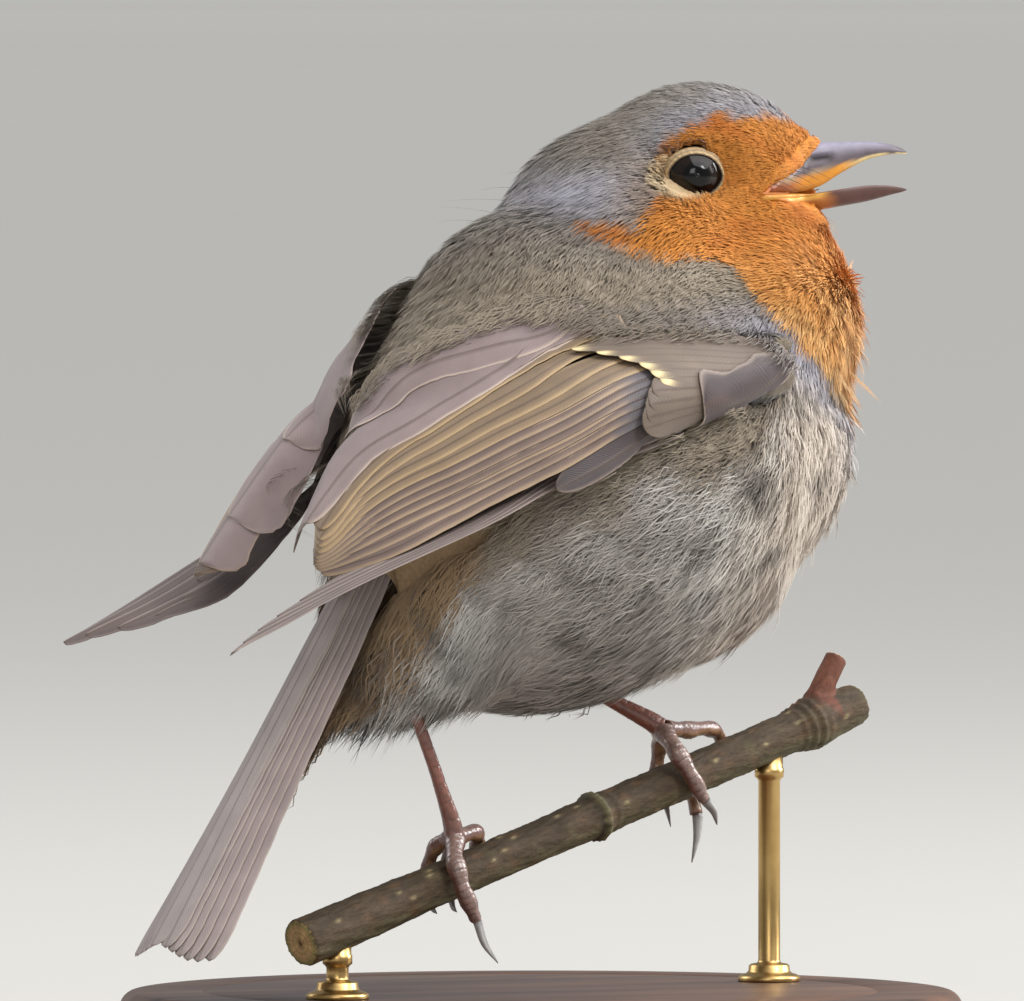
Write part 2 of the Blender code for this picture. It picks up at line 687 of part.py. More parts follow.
def head_and_neck(body):
    """The head with its eyes and mandibles, and the short neck."""
    head = above(body, HEAD_PLANE, GAP / 2, True)
    for side, aside in (("left", EYE_ASIDE), ("right", -EYE_ASIDE)):
        middle = head_point(EYE_FORWARD, aside, EYE_UP)
        head = boolean(head, ball(middle, EYE_RADIUS + GAP, 3), "DIFFERENCE")
        finish("eye_" + side, ball(middle, EYE_RADIUS, 3), EYE_BLACK)
    head = boolean(head, bill_mesh(UPPER_BILL, GAP), "DIFFERENCE")
    head = boolean(head, bill_mesh(LOWER_BILL, GAP), "DIFFERENCE")
    head = boolean(head, mouth_cutter(), "DIFFERENCE")
    finish("head", largest_piece(head), PLUMAGE_FACE)
    finish("bill_upper", bill_mesh(UPPER_BILL), HORN_DARK)
    finish("bill_lower", bill_mesh(LOWER_BILL), HORN_DARK)
    neck = above(above(body, HEAD_PLANE, -GAP / 2, False), NECK_PLANE, GAP / 2, True)
    finish("neck", neck, PLUMAGE_NECK)


def trunk_and_tail(body):
    """The trunk, seated round the tail and the legs."""
    trunk = above(body, NECK_PLANE, -GAP / 2, False)
    trunk = boolean(trunk, sheet(*tail_grid(GAP)), "DIFFERENCE")
    for leg in LEGS.values():
        points, radii = smooth_string(leg["shank"], SHANK_RINGS)
        trunk = boolean(trunk, tube(points, radii, SHANK_SIDES, GAP), "DIFFERENCE")
    finish("trunk", largest_piece(trunk), PLUMAGE_BACK)
    finish("tail", sheet(*tail_grid(0.0)), FEATHER_BROWN)


def legs_and_claws():
    """Each leg with its toes, and each claw."""
    for side, leg in LEGS.items():
        claws = [claw_mesh(claw) for claw in leg["claws"]]
        body = leg_mesh(leg)
        finish("leg_" + side, body, SCALY_BROWN)
        for number, claw in enumerate(claws, 1):
            finish(f"claw_{side}_{number}", claw, HORN_GREY)


def perch_point(distance):
    """The middle of the twig at a distance from the right foot."""
    return PERCH_AT_RIGHT_FOOT + perch_way() * distance


def rod_mesh(distance, extra=0.0):
    """A rod from half way down the base to the middle of the twig, grown by `extra`."""
    top = perch_point(distance)
    foot = np.array([top[0], top[1], BASE_HEIGHT / 2 - TRUNK_OVER_BASE[2]])
    return tube([foot, top], (ROD_RADIUS, ROD_RADIUS), ROD_SIDES, extra)


def perch_mesh():
    """The cut twig with the stub of a side twig."""
    points = [perch_point(distance) for distance, _ in PERCH_PROFILE]
    twig = tube(points, [radius for _, radius in PERCH_PROFILE], TWIG_SIDES)
    root = perch_point(STUB_ROOT)
    lean = perch_way() * STUB_ALONG + np.array([0.0, 0.0, STUB_RISE])
    stub = tube([root, root + lean * STUB_LENGTH], STUB_RADII, STUB_SIDES)
    return boolean(twig, stub, "UNION")


def base_mesh():
    """The round base, with its upper edge cut off at a slant."""
    heights = (0.0, BASE_HEIGHT - BASE_EDGE, BASE_HEIGHT)
    radii = (BASE_RADIUS, BASE_RADIUS, BASE_RADIUS - BASE_EDGE)
    points = [np.array([0.0, 0.0, height]) - TRUNK_OVER_BASE for height in heights]
    return tube(points, radii, BASE_SIDES)


def perch_and_stand():
    """The cut twig, and the plain stand that holds it."""
    perch = perch_mesh()
    base = base_mesh()
    for name, distance in RODS.items():
        perch = boolean(perch, rod_mesh(distance, GAP), "DIFFERENCE")
        base = boolean(base, rod_mesh(distance, GAP), "DIFFERENCE")
        finish(name, rod_mesh(distance), ROD_METAL)
    finish("perch", perch, BARK)
    finish("stand_base", base, BASE_WOOD)


def build():
    """Builds every node."""
    clear_scene()
    body = body_mesh()
    tree_source = bmesh.new()
    tree_source.from_mesh(body)
    tree = BVHTree.FromBMesh(tree_source)
    tree_source.free()
    head_and_neck(body)
    trunk_and_tail(body)
    both_wings(tree)
    legs_and_claws()
    perch_and_stand()
    bpy.data.meshes.remove(body)


build()
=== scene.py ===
"""Looks of a life-size European robin that grips a cut twig on a plain stand.

One skin carries the coat of small feathers, and the flight feathers, soft parts, horn, twig and stand
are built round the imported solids. Meshes are laid out in millimetres round the middle of the bird's
trunk, heading +X with the left side at +Y, and `place` moves them into the shared frame, in metres.
"""

import logging
import math
from dataclasses import dataclass, field
from enum import Enum

import bpy
import numpy as np
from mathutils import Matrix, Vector
from mathutils.bvhtree import BVHTree


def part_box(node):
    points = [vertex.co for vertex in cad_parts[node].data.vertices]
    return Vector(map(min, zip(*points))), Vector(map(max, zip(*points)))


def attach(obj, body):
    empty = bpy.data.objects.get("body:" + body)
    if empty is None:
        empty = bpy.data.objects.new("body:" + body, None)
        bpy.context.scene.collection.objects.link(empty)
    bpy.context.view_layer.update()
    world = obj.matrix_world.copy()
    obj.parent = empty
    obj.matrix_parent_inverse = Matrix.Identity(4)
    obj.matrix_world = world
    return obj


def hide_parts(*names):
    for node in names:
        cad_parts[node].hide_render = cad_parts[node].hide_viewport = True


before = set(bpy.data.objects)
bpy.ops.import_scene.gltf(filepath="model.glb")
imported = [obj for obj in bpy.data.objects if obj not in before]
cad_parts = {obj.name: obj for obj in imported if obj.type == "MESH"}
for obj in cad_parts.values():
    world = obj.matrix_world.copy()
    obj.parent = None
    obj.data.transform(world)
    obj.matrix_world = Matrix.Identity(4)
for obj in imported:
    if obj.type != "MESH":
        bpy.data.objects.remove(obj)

LOG = logging.getLogger("robin")
Array = np.ndarray

MM = 0.001
TRUNK_OVER_BASE = np.array([6.0, 0.0, 56.0])
UP = np.array([0.0, 0.0, 1.0])

HEAD_TURN_DEG = -28.0
HEAD_MIDDLE = np.array([9.4, -1.9, 32.4])
HEAD_PLANE = (np.array([8.0, -1.0, 25.2]), np.array([0.17, -0.09, 0.98]))
NECK_PLANE = (np.array([3.0, 0.0, 18.0]), np.array([0.36, -0.10, 0.93]))

TAIL_DROP = math.radians(60.0)
TAIL_ROOT = np.array([-20.6, 0.0, 3.4])
TAIL_AXIS = np.array([-math.cos(TAIL_DROP), 0.0, -math.sin(TAIL_DROP)])
TAIL_DORSAL = np.array([-math.sin(TAIL_DROP), 0.0, math.cos(TAIL_DROP)])

BAKE_MAP = "OFBake"
LOCK_PATCH = 0.003
ROOT_DEPTH = -0.1
EYE_OPENING = (2.6, 2.14)
HAIR_RINGS = 12
HAIR_SIDES = 5

# Refractive indices: a feather's loose keratin, dense horn and scales, and the eye's cornea.
FEATHER_IOR = 1.54
HORN_IOR = 1.55
CORNEA_IOR = 1.376


# ---------------------------------------------------------------- small tools


def place(points: Array) -> Array:
    """Moves points from millimetres round the trunk's middle into the frame.

    Args:
        points: rows of points in millimetres.

    Returns:
        The rows in metres.
    """
    return (np.asarray(points, float) + TRUNK_OVER_BASE) * MM


def unplace(points: Array) -> Array:
    """Moves frame points back to millimetres round the trunk's middle.

    Args:
        points: rows of points in metres.

    Returns:
        The rows in millimetres.
    """
    return np.asarray(points, float) / MM - TRUNK_OVER_BASE


def node_middle(name: str) -> Array:
    """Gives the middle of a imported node's box.

    Args:
        name: the node.

    Returns:
        The point in millimetres round the trunk's middle.
    """
    low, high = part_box(name)
    return unplace((np.array(low) + np.array(high)) / 2)


def unit(rows: Array) -> Array:
    """Scales vectors to length one.

    Args:
        rows: vectors along the last axis.

    Returns:
        The unit vectors.
    """
    return rows / np.maximum(np.linalg.norm(rows, axis=-1, keepdims=True), 1e-9)


def dot(a: Array, b: Array) -> Array:
    """Multiplies rows with rows.

    Args:
        a: vectors along the last axis.
        b: vectors along the last axis.

    Returns:
        Their dot products.
    """
    return (a * b).sum(axis=-1)


def smooth(low: float, high: float, value: Array) -> Array:
    """Rises from 0 at `low` to 1 at `high` with soft ends.

    Args:
        low: where the rise starts.
        high: where it ends; it may be below `low`, for a fall.
        value: what is measured.

    Returns:
        The soft step.
    """
    t = np.clip((np.asarray(value, float) - low) / (high - low), 0.0, 1.0)
    return t * t * (3 - 2 * t)


def bent(points: tuple[Array, Array, Array, Array], share: Array) -> Array:
    """Runs a smooth bend between the middle two of four points.

    Args:
        points: the point before the bend, its two ends and the point after it.
        share: how far along it.

    Returns:
        What lies there.
    """
    p0, p1, p2, p3 = points
    return 0.5 * (2 * p1 + (p2 - p0) * share + (2 * p0 - 5 * p1 + 4 * p2 - p3) * share**2
                  + (3 * p1 - p0 - 3 * p2 + p3) * share**3)


def spline(rows: Array, shares: Array) -> Array:
    """Follows a smooth curve through the rows, running on straight past both ends.

    Args:
        rows: points (or whole rows of points) that the curve passes through.
        shares: places along the curve, 0 at the first row and 1 at the last.

    Returns:
        What lies there, one item per share.
    """
    rows = np.asarray(rows, float)
    last = len(rows) - 1
    at = np.atleast_1d(np.asarray(shares, float)) * last
    inside = np.clip(at, 0, last)
    i = np.minimum(inside.astype(int), last - 1)
    shape = (-1,) + (1,) * (rows.ndim - 1)
    f = (inside - i).reshape(shape)
    over = (at - inside).reshape(shape)
    padded = np.concatenate([2 * rows[:1] - rows[1:2], rows, 2 * rows[-1:] - rows[-2:-1]])
    made = bent((padded[i], padded[i + 1], padded[i + 2], padded[i + 3]), f)
    return made + np.where(over < 0, rows[1] - rows[0], rows[-1] - rows[-2]) * over


def ripple(points: Array, size: float, seed: int) -> Array:
    """A smooth wandering value from -1 to 1 over space.

    Args:
        points: rows of points in millimetres.
        size: about the distance from one rise to the next, in millimetres.
        seed: picks one pattern.

    Returns:
        One value per point.
    """
    rng = np.random.default_rng(seed)
    total = np.zeros(len(points))
    for _ in range(6):
        way = unit(rng.normal(size=3)) * rng.uniform(0.6, 1.5) * 2 * math.pi / size
        total += np.sin(points @ way + rng.uniform(0, 2 * math.pi))
    return total / 3.2


def head_axes() -> tuple[Array, Array]:
    """Gives the turned head's axes.

    Returns:
        Its directions ahead and to its left.
    """
    turn = math.radians(HEAD_TURN_DEG)
    return np.array([math.cos(turn), math.sin(turn), 0.0]), np.array([-math.sin(turn), math.cos(turn), 0.0])


def head_point(forward: Array, left: Array, up: Array) -> Array:
    """Finds a place given along the head's own axes.

    Args:
        forward: toward the bill tip, in millimetres.
        left: toward the head's left side.
        up: toward the crown.

    Returns:
        Points round the trunk's middle.
    """
    ahead, aside = head_axes()
    forward, left, up = (np.asarray(v, float)[..., None] for v in (forward, left, up))
    return HEAD_MIDDLE + forward * ahead + left * aside + up * UP


def in_head(points: Array) -> tuple[Array, Array, Array]:
    """Measures points along the head's own axes.

    Args:
        points: rows of points round the trunk's middle.

    Returns:
        How far forward, left and up each lies.
    """
    ahead, aside = head_axes()
    away = points - HEAD_MIDDLE
    return away @ ahead, away @ aside, away[..., 2]


def on_tail(points: Array) -> tuple[Array, Array]:
    """Measures points along the tail.

    Args:
        points: rows of points round the trunk's middle.

    Returns:
        How far each lies toward the tail's tip and over its upper face.
    """
    return (points - TAIL_ROOT) @ TAIL_AXIS, (points - TAIL_ROOT) @ TAIL_DORSAL


def run_of(points: Array) -> Array:
    """Measures the way along a line of points.

    Args:
        points: the line.

    Returns:
        The length from its first point to each.
    """
    return np.concatenate([[0.0], np.cumsum(np.linalg.norm(np.diff(points, axis=0), axis=1))])


def above_plane(points: Array, plane: tuple[Array, Array]) -> Array:
    """Measures how far points lie above a plane.

    Args:
        points: rows of points.
        plane: a point and the way up.

    Returns:
        Heights in millimetres.
    """
    return (points - plane[0]) @ unit(plane[1])


def linear(colour: str) -> tuple[float, float, float]:
    """Turns an sRGB hex colour into the linear values that shaders take.

    Args:
        colour: such as "#8b7f74".

    Returns:
        Linear red, green and blue.
    """
    parts = [int(colour[i:i + 2], 16) / 255 for i in (1, 3, 5)]
    return tuple(c / 12.92 if c <= 0.04045 else ((c + 0.055) / 1.055) ** 2.4 for c in parts)


def plain(colour: str, *shape: int) -> Array:
    """Fills an array with one colour.

    Args:
        colour: its sRGB hex value.
        shape: how many rows, or rows and columns.

    Returns:
        Linear colours.
    """
    return np.tile(linear(colour), (*shape, 1))


def mixed(base: Array, colour: str, share: Array) -> Array:
    """Lays one colour over others.

    Args:
        base: rows of linear colours.
        colour: the hex colour laid over them.
        share: how far it covers, from 0 to 1, for each row.

    Returns:
        The new rows.
    """
    return base + (np.array(linear(colour)) - base) * np.asarray(share)[..., None]


# ---------------------------------------------------------------- meshes


@dataclass
class Shell:
    """Arrays of one mesh while it is made: points in millimetres, faces and what each point carries."""

    points: Array
    quads: Array = field(default_factory=lambda: np.empty((0, 4), int))
    tris: Array = field(default_factory=lambda: np.empty((0, 3), int))
    colours: dict[str, Array] = field(default_factory=dict)
    values: dict[str, Array] = field(default_factory=dict)
    vectors: dict[str, Array] = field(default_factory=dict)
    bake: Array | None = None
    normals: Array | None = None

    def triangles(self) -> Array:
        """Gives every face as triangles."""
        q = self.quads
        return np.concatenate([self.tris, q[:, [0, 1, 2]], q[:, [0, 2, 3]]])

    def bare(self) -> "Shell":
        """Gives its points and faces alone."""
        return Shell(self.points, self.quads, self.tris)

    def outward(self, away: Array) -> "Shell":
        """Turns its faces round where they look inward.

        Args:
            away: the way that each point should face, on the whole.

        Returns:
            The shell, with its colours.
        """
        if (point_normals(self.points, self.triangles()) * away).sum() >= 0:
            return self
        return Shell(self.points, self.quads[:, ::-1], self.tris[:, ::-1], colours=self.colours)

    def mirrored(self) -> "Shell":
        """Mirrors it across the bird's middle.

        Returns:
            The same shell on the other side.
        """
        flip = np.array([1.0, -1.0, 1.0])
        return Shell(self.points * flip, self.quads[:, ::-1], self.tris[:, ::-1], self.colours, self.values,
                     self.vectors, self.bake, None if self.normals is None else self.normals * flip)

    def tree(self) -> BVHTree:
        """Gives a search tree of its triangles, in millimetres."""
        return BVHTree.FromPolygons(self.points.tolist(), self.triangles().tolist())

    def mesh(self, name: str) -> bpy.types.Mesh:
        """Makes the Blender mesh.

        Args:
            name: the mesh's name.

        Returns:
            A smooth-shaded mesh in the frame, in metres.
        """
        made = bpy.data.meshes.new(name)
        made.vertices.add(len(self.points))
        made.vertices.foreach_set("co", place(self.points).astype(np.float32).ravel())
        corners = np.concatenate([self.quads.ravel(), self.tris.ravel()]).astype(np.int32)
        made.loops.add(len(corners))
        made.loops.foreach_set("vertex_index", corners)
        starts = np.concatenate([np.arange(len(self.quads)) * 4,
                                 self.quads.size + np.arange(len(self.tris)) * 3]).astype(np.int32)
        made.polygons.add(len(starts))
        made.polygons.foreach_set("loop_start", starts)
        made.update(calc_edges=True)
        made.shade_smooth()
        for key, rows in self.colours.items():
            layer = made.attributes.new(key, "FLOAT_COLOR", "POINT")
            full = np.concatenate([rows, np.ones((len(rows), 1))], axis=1)
            layer.data.foreach_set("color", full.astype(np.float32).ravel())
        for key, rows in self.values.items():
            layer = made.attributes.new(key, "FLOAT", "POINT")
            layer.data.foreach_set("value", rows.astype(np.float32))
        for key, rows in self.vectors.items():
            layer = made.attributes.new(key, "FLOAT_VECTOR", "POINT")
            layer.data.foreach_set("vector", rows.astype(np.float32).ravel())
        if self.bake is not None:
            layer = made.uv_layers.new(name=BAKE_MAP)
            layer.uv.foreach_set("vector", self.bake[corners].astype(np.float32).ravel())
        if self.normals is not None:
            made.normals_split_custom_set_from_vertices(self.normals)
        return made


def merged(shells: list[Shell]) -> Shell:
    """Joins shells that carry the same things.

    Args:
        shells: at least one.

    Returns:
        One shell.
    """
    starts = np.cumsum([0] + [len(s.points) for s in shells[:-1]])
    first = shells[0]

    def stack(rows: list[Array]) -> Array:
        """Joins arrays."""
        return np.concatenate(rows)

    return Shell(
        stack([s.points for s in shells]),
        stack([s.quads + at for s, at in zip(shells, starts)]),
        stack([s.tris + at for s, at in zip(shells, starts)]),
        {k: stack([s.colours[k] for s in shells]) for k in first.colours},
        {k: stack([s.values[k] for s in shells]) for k in first.values},
        {k: stack([s.vectors[k] for s in shells]) for k in first.vectors},
        None if first.bake is None else stack([s.bake for s in shells]),
        None if first.normals is None else stack([s.normals for s in shells]),
    )


def in_scene(name: str, data: bpy.types.ID) -> bpy.types.Object:
    """Puts one object in the scene.

    Args:
        name: its name.
        data: its mesh, light or camera.

    Returns:
        The object.
    """
    obj = bpy.data.objects.new(name, data)
    bpy.context.scene.collection.objects.link(obj)
    return obj


def piece(name: str, shell: Shell, material: bpy.types.Material,
          replaces: tuple[str, ...] = ()) -> bpy.types.Object:
    """Puts one finished piece in the scene.

    Args:
        name: the piece's name.
        shell: its arrays.
        material: its finish.
        replaces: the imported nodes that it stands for.

    Returns:
        The object.
    """
    mesh = shell.mesh(name)
    mesh.materials.append(material)
    obj = in_scene(name, mesh)
    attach(obj, "root")
    if replaces:
        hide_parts(*replaces)
    LOG.info("%s: %d triangles", name, 2 * len(shell.quads) + len(shell.tris))
    return obj


def grid_faces(rows: int, columns: int, wrap: bool = False, start: int = 0) -> Array:
    """Lists the quads of a grid of points.

    Args:
        rows: how many rows of points.
        columns: how many points in a row.
        wrap: whether the last column joins the first.
        start: the first point's number.

    Returns:
        Rows of four point numbers.
    """
    i, j = np.meshgrid(np.arange(rows - 1), np.arange(columns if wrap else columns - 1), indexing="ij")
    k = (j + 1) % columns
    return start + np.stack([i * columns + j, (i + 1) * columns + j, (i + 1) * columns + k, i * columns + k],
                            axis=-1).reshape(-1, 4)


def end_caps(columns: int, base: int, first: int) -> Array:
    """Lists the triangles that close both ends of a wrapped grid of points.

    Args:
        columns: how many points go round.
        base: the number of the last row's first point.
        first: the number of the point in the middle of the first end; the other end's is the next.

    Returns:
        Rows of three point numbers.
    """
    k = np.arange(columns)
    n = (k + 1) % columns
    return np.concatenate([np.column_stack([k, n, np.full(columns, first)]),
                           np.column_stack([n + base, k + base, np.full(columns, first + 1)])])


def remeshed(shell: Shell, voxel: float, steps: int) -> Shell:
    """Makes overlapping closed shells one even skin.

    Args:
        shell: the closed shells, already merged.
        voxel: the new faces' size in millimetres.
        steps: how many rounds of smoothing follow.

    Returns:
        One closed shell with its own normals.
    """
    obj = in_scene("making", shell.bare().mesh("making"))
    merge = obj.modifiers.new("merge", "REMESH")
    merge.mode = "VOXEL"
    merge.voxel_size = voxel * MM
    if steps:
        soften = obj.modifiers.new("soften", "SMOOTH")
        soften.factor = 0.5
        soften.iterations = steps
    graph = bpy.context.evaluated_depsgraph_get()
    mesh = bpy.data.meshes.new_from_object(obj.evaluated_get(graph))
    source = obj.data
    bpy.data.objects.remove(obj)
    bpy.data.meshes.remove(source)
    made = arrays_of(mesh)
    bpy.data.meshes.remove(mesh)
    return made


def arrays_of(mesh: bpy.types.Mesh) -> Shell:
    """Reads a Blender mesh of triangles and quads in the frame.

    Args:
        mesh: the mesh, in metres.

    Returns:
        Its points, faces and point normals, in millimetres round the trunk's middle.
    """
    points = np.empty(len(mesh.vertices) * 3, np.float32)
    mesh.vertices.foreach_get("co", points)
    normals = np.empty(len(mesh.vertices) * 3, np.float32)
    mesh.vertex_normals.foreach_get("vector", normals)
    corners = np.empty(len(mesh.loops), np.int32)
    mesh.loops.foreach_get("vertex_index", corners)
    totals = np.empty(len(mesh.polygons), np.int32)
    mesh.polygons.foreach_get("loop_total", totals)
    starts = np.cumsum(np.concatenate([[0], totals[:-1]]))
    quads = corners[starts[totals == 4][:, None] + np.arange(4)]
    tris = corners[starts[totals == 3][:, None] + np.arange(3)]
    return Shell(unplace(points.reshape(-1, 3)), quads, tris, normals=normals.reshape(-1, 3).astype(float))


def point_normals(points: Array, tris: Array) -> Array:
    """Works out smooth normals of a mesh.

    Args:
        points: its points.
        tris: its triangles.

    Returns:
        One unit normal per point.
    """
    corners = points[tris]
    way = np.cross(corners[:, 1] - corners[:, 0], corners[:, 2] - corners[:, 0])
    total = np.zeros_like(points)
    for k in range(3):
        np.add.at(total, tris[:, k], way)
    return unit(total)


def tube(points: Array, radii: Array, sides: int, squash: float = 1.0) -> Shell:
    """Makes a closed round tube.

    Args:
        points: the line it follows.
        radii: how thick it is at each point.
        sides: how many faces go round it.
        squash: its height over its width.

    Returns:
        The closed shell, with `turn` (about the line) and `along` (in millimetres) on each point.
    """
    ways = unit(np.gradient(points, axis=0))
    across = np.empty_like(points)
    last = np.array([0.31, 0.87, 0.38])
    for i, way in enumerate(ways):
        last = last - way * last.dot(way)
        last /= np.linalg.norm(last)
        across[i] = last
    other = np.cross(ways, across) * squash
    turns = np.linspace(0, 2 * math.pi, sides, endpoint=False)
    ring = np.cos(turns)[None, :, None] * across[:, None] + np.sin(turns)[None, :, None] * other[:, None]
    walls = points[:, None] + ring * np.asarray(radii)[:, None, None]
    rows = len(points)
    run = run_of(points)
    caps = end_caps(sides, (rows - 1) * sides, rows * sides)[:, [1, 0, 2]]
    quads = grid_faces(rows, sides, wrap=True)[:, ::-1]
    values = {"along": np.concatenate([np.repeat(run, sides), [0.0, run[-1]]]),
              "turn": np.concatenate([np.tile(turns, rows), [0.0, 0.0]])}
    return Shell(np.concatenate([walls.reshape(-1, 3), points[:1], points[-1:]]), quads, caps,
                 values=values)


# ---------------------------------------------------------------- nodes of the finishes

Socket = bpy.types.NodeSocket


class Finish:
    """One material while it is made, with its node tree and its one principled shader."""

    def __init__(self, name: str, plain: dict[str, object]) -> None:
        """Starts the material.

        Args:
            name: its name.
            plain: the shader's values that are the same all over, by socket name.
        """
        self.material = bpy.data.materials.new(name)
        self.material.use_nodes = True
        self.tree = self.material.node_tree
        self.shader = self.tree.nodes["Principled BSDF"]
        for key, value in plain.items():
            self.shader.inputs[key].default_value = value

    def node(self, kind: str, settings: dict | None = None, inputs: dict | None = None) -> bpy.types.Node:
        """Adds one node with its settings, values and links.

        Args:
            kind: the node's type name.
            settings: properties of the node by name.
            inputs: by socket name or number, either a value or another node's output socket.

        Returns:
            The node.
        """
        made = self.tree.nodes.new(kind)
        for key, value in (settings or {}).items():
            setattr(made, key, value)
        for key, value in (inputs or {}).items():
            if isinstance(value, Socket):
                self.tree.links.new(value, made.inputs[key])
            else:
                made.inputs[key].default_value = value
        return made

    def math(self, operation: str, *values: object) -> Socket:
        """Works out numbers in the shader.

        Args:
            operation: such as ADD or MULTIPLY_ADD.
            values: numbers or sockets, in the operation's order.

        Returns:
            The result's socket.
        """
        return self.node("ShaderNodeMath", {"operation": operation}, dict(enumerate(values))).outputs[0]

    def carried(self, name: str, output: str = "Color") -> Socket:
        """Reads what the mesh carries on its points.

        Args:
            name: the attribute.
            output: Color, Fac or Vector.

        Returns:
            The socket.
        """
        return self.node("ShaderNodeAttribute", {"attribute_name": name}).outputs[output]

    def place(self, scale: tuple[float, float, float] | None = None) -> Socket:
        """Reads the place on the object, in metres.

        Args:
            scale: how often the pattern repeats along each axis; None leaves the place as it is.

        Returns:
            The socket.
        """
        made = self.node("ShaderNodeTexCoord").outputs["Object"]
        if scale is None:
            return made
        return self.node("ShaderNodeMapping", inputs={"Vector": made, "Scale": scale}).outputs[0]

    def noise(self, at: Socket, size: float, detail: float = 2.0, **more: float) -> Socket:
        """Adds a cloudy pattern.

        Args:
            at: where it is read.
            size: the size of its clouds, in the measure of `at`.
            detail: how many finer layers it has.
            more: further inputs of the noise by name.

        Returns:
            Its value's socket.
        """
        inputs = {"Vector": at, "Scale": 1 / size, "Detail": detail, **more}
        return self.node("ShaderNodeTexNoise", inputs=inputs).outputs["Fac"]

    def cells(self, size_mm: float) -> Socket:
        """Adds a pattern of small round cells.

        Args:
            size_mm: their size in millimetres.

        Returns:
            The socket of the distance from each cell's middle.
        """
        inputs = {"Vector": self.place(), "Scale": 1 / (size_mm * MM)}
        return self.node("ShaderNodeTexVoronoi", inputs=inputs).outputs["Distance"]

    def ramp(self, value: Socket, *stops: tuple) -> Socket:
        """Turns a value into a colour through stops.

        Args:
            value: the socket that is read.
            stops: places from 0 to 1, each with a linear colour or one grey number.

        Returns:
            The colour socket.
        """
        made = self.node("ShaderNodeValToRGB", inputs={"Fac": value})
        bar = made.color_ramp
        while len(bar.elements) < len(stops):
            bar.elements.new(0.5)
        for element, (at, colour) in zip(bar.elements, stops):
            element.position = at
            element.color = (*colour, 1.0) if isinstance(colour, tuple) else (colour, colour, colour, 1.0)
        return made.outputs["Color"]

    def blended(self, mode: str, share: object, first: object, second: object) -> Socket:
        """Mixes two colours.

        Args:
            mode: the blend, such as MIX or MULTIPLY.
            share: a number or a socket.
            first: the socket or linear colour with alpha underneath.
            second: the one on top.

        Returns:
            The colour socket.
        """
        settings = {"data_type": "RGBA", "blend_type": mode}
        return self.node("ShaderNodeMix", settings, {0: share, 6: first, 7: second}).outputs[2]

    def done(self, colours: list[Socket], gloss: tuple[Socket, float, float] | None = None,
             relief: tuple[Socket, float, float] | None = None, sunk: bool = False) -> bpy.types.Material:
        """Links everything to the shader.

        Args:
            colours: these multiplied are the base colour.
            gloss: a socket and the roughness where it is 0 and 1.
            relief: a socket, the height it stands for in millimetres and how strongly it shades.
            sunk: whether the relief goes inward.

        Returns:
            The finished material.
        """
        colour = colours[0]
        for over in colours[1:]:
            colour = self.blended("MULTIPLY", 1.0, colour, over)
        self.tree.links.new(colour, self.shader.inputs["Base Color"])
        if gloss:
            value, at_low, at_high = gloss
            level = self.node("ShaderNodeMapRange", inputs={0: value, 3: at_low, 4: at_high})
            self.tree.links.new(level.outputs[0], self.shader.inputs["Roughness"])
        if relief:
            value, height_mm, strength = relief
            bump = self.node("ShaderNodeBump", {"invert": sunk},
                             {"Height": value, "Distance": height_mm * MM, "Strength": strength})
            self.tree.links.new(bump.outputs["Normal"], self.shader.inputs["Normal"])
        return self.material


# ---------------------------------------------------------------- where the colours of the coat lie

# The orange face seen in profile, in head millimetres (forward, up); the strip behind runs down the neck.
FACE_OUTLINE = np.array([
    (22.0, 0.0), (13.0, 3.4), (10.8, 4.5), (4.4, 5.1), (-0.1, 3.8), (-1.8, 2.6), (-2.95, 1.7),
    (-3.05, -0.6), (-1.6, -2.3), (-2.75, -3.2), (-4.4, -5.4), (-7.6, -4.4), (-9.45, -4.35), (-9.1, -4.9),
    (-6.2, -6.4), (-2.0, -7.7), (2.2, -8.3), (5.9, -10.0), (8.9, -12.3), (18.0, -14.0),
])
# The bill's base and the corner of the mouth in profile, where no feathers grow.
BARE_MOUTH = np.array([
    (6.75, -2.6), (7.9, -1.55), (9.9, -0.25), (11.3, 0.85), (12.4, 1.9), (13.2, 2.6), (24.0, 4.0),
    (24.0, -3.6), (14.3, -4.3), (11.5, -3.65), (8.9, -3.15),
])
# The orange breast: height, bearing of its middle round the neck, and half its width as a bearing.
BIB_AXIS = np.array([6.0, -1.5])
BIB_REACH = 16.0
BIB_BEARINGS = np.array([
    (8.6, -13.0, 0.0), (10.2, -14.0, 14.0), (11.8, -15.0, 24.0), (16.1, -18.0, 42.0), (20.2, -22.0, 48.0),
    (22.9, -25.0, 52.0), (24.4, -28.0, 67.0), (25.2, -28.0, 90.0),
])


def outline_distance(points: Array, outline: Array) -> Array:
    """Measures how far flat points lie from a closed outline, negative inside it.

    Args:
        points: rows of two numbers.
        outline: the corners in order.

    Returns:
        One distance per point.
    """
    near = np.full(len(points), 1e9)
    inside = np.zeros(len(points), bool)
    for a, b in zip(outline, np.roll(outline, -1, axis=0)):
        edge = b - a
        share = np.clip(((points - a) @ edge) / edge.dot(edge), 0, 1)
        near = np.minimum(near, np.linalg.norm(points - a - share[:, None] * edge, axis=1))
        crosses = (a[1] > points[:, 1]) != (b[1] > points[:, 1])
        level = np.where(crosses, a[0] + (points[:, 1] - a[1]) / (edge[1] or 1e-9) * edge[0], 0)
        inside ^= crosses & (points[:, 0] < level)
    return np.where(inside, -near, near)


def profile_distance(points: Array, outline: Array) -> Array:
    """Measures how far points lie from an outline on the head seen from the side.

    Args:
        points: rows of points round the trunk's middle.
        outline: the corners, forward and up along the head's axes.

    Returns:
        Millimetres, negative inside it.
    """
    forward, _, up = in_head(points)
    return outline_distance(np.stack([forward, up], axis=1), outline)


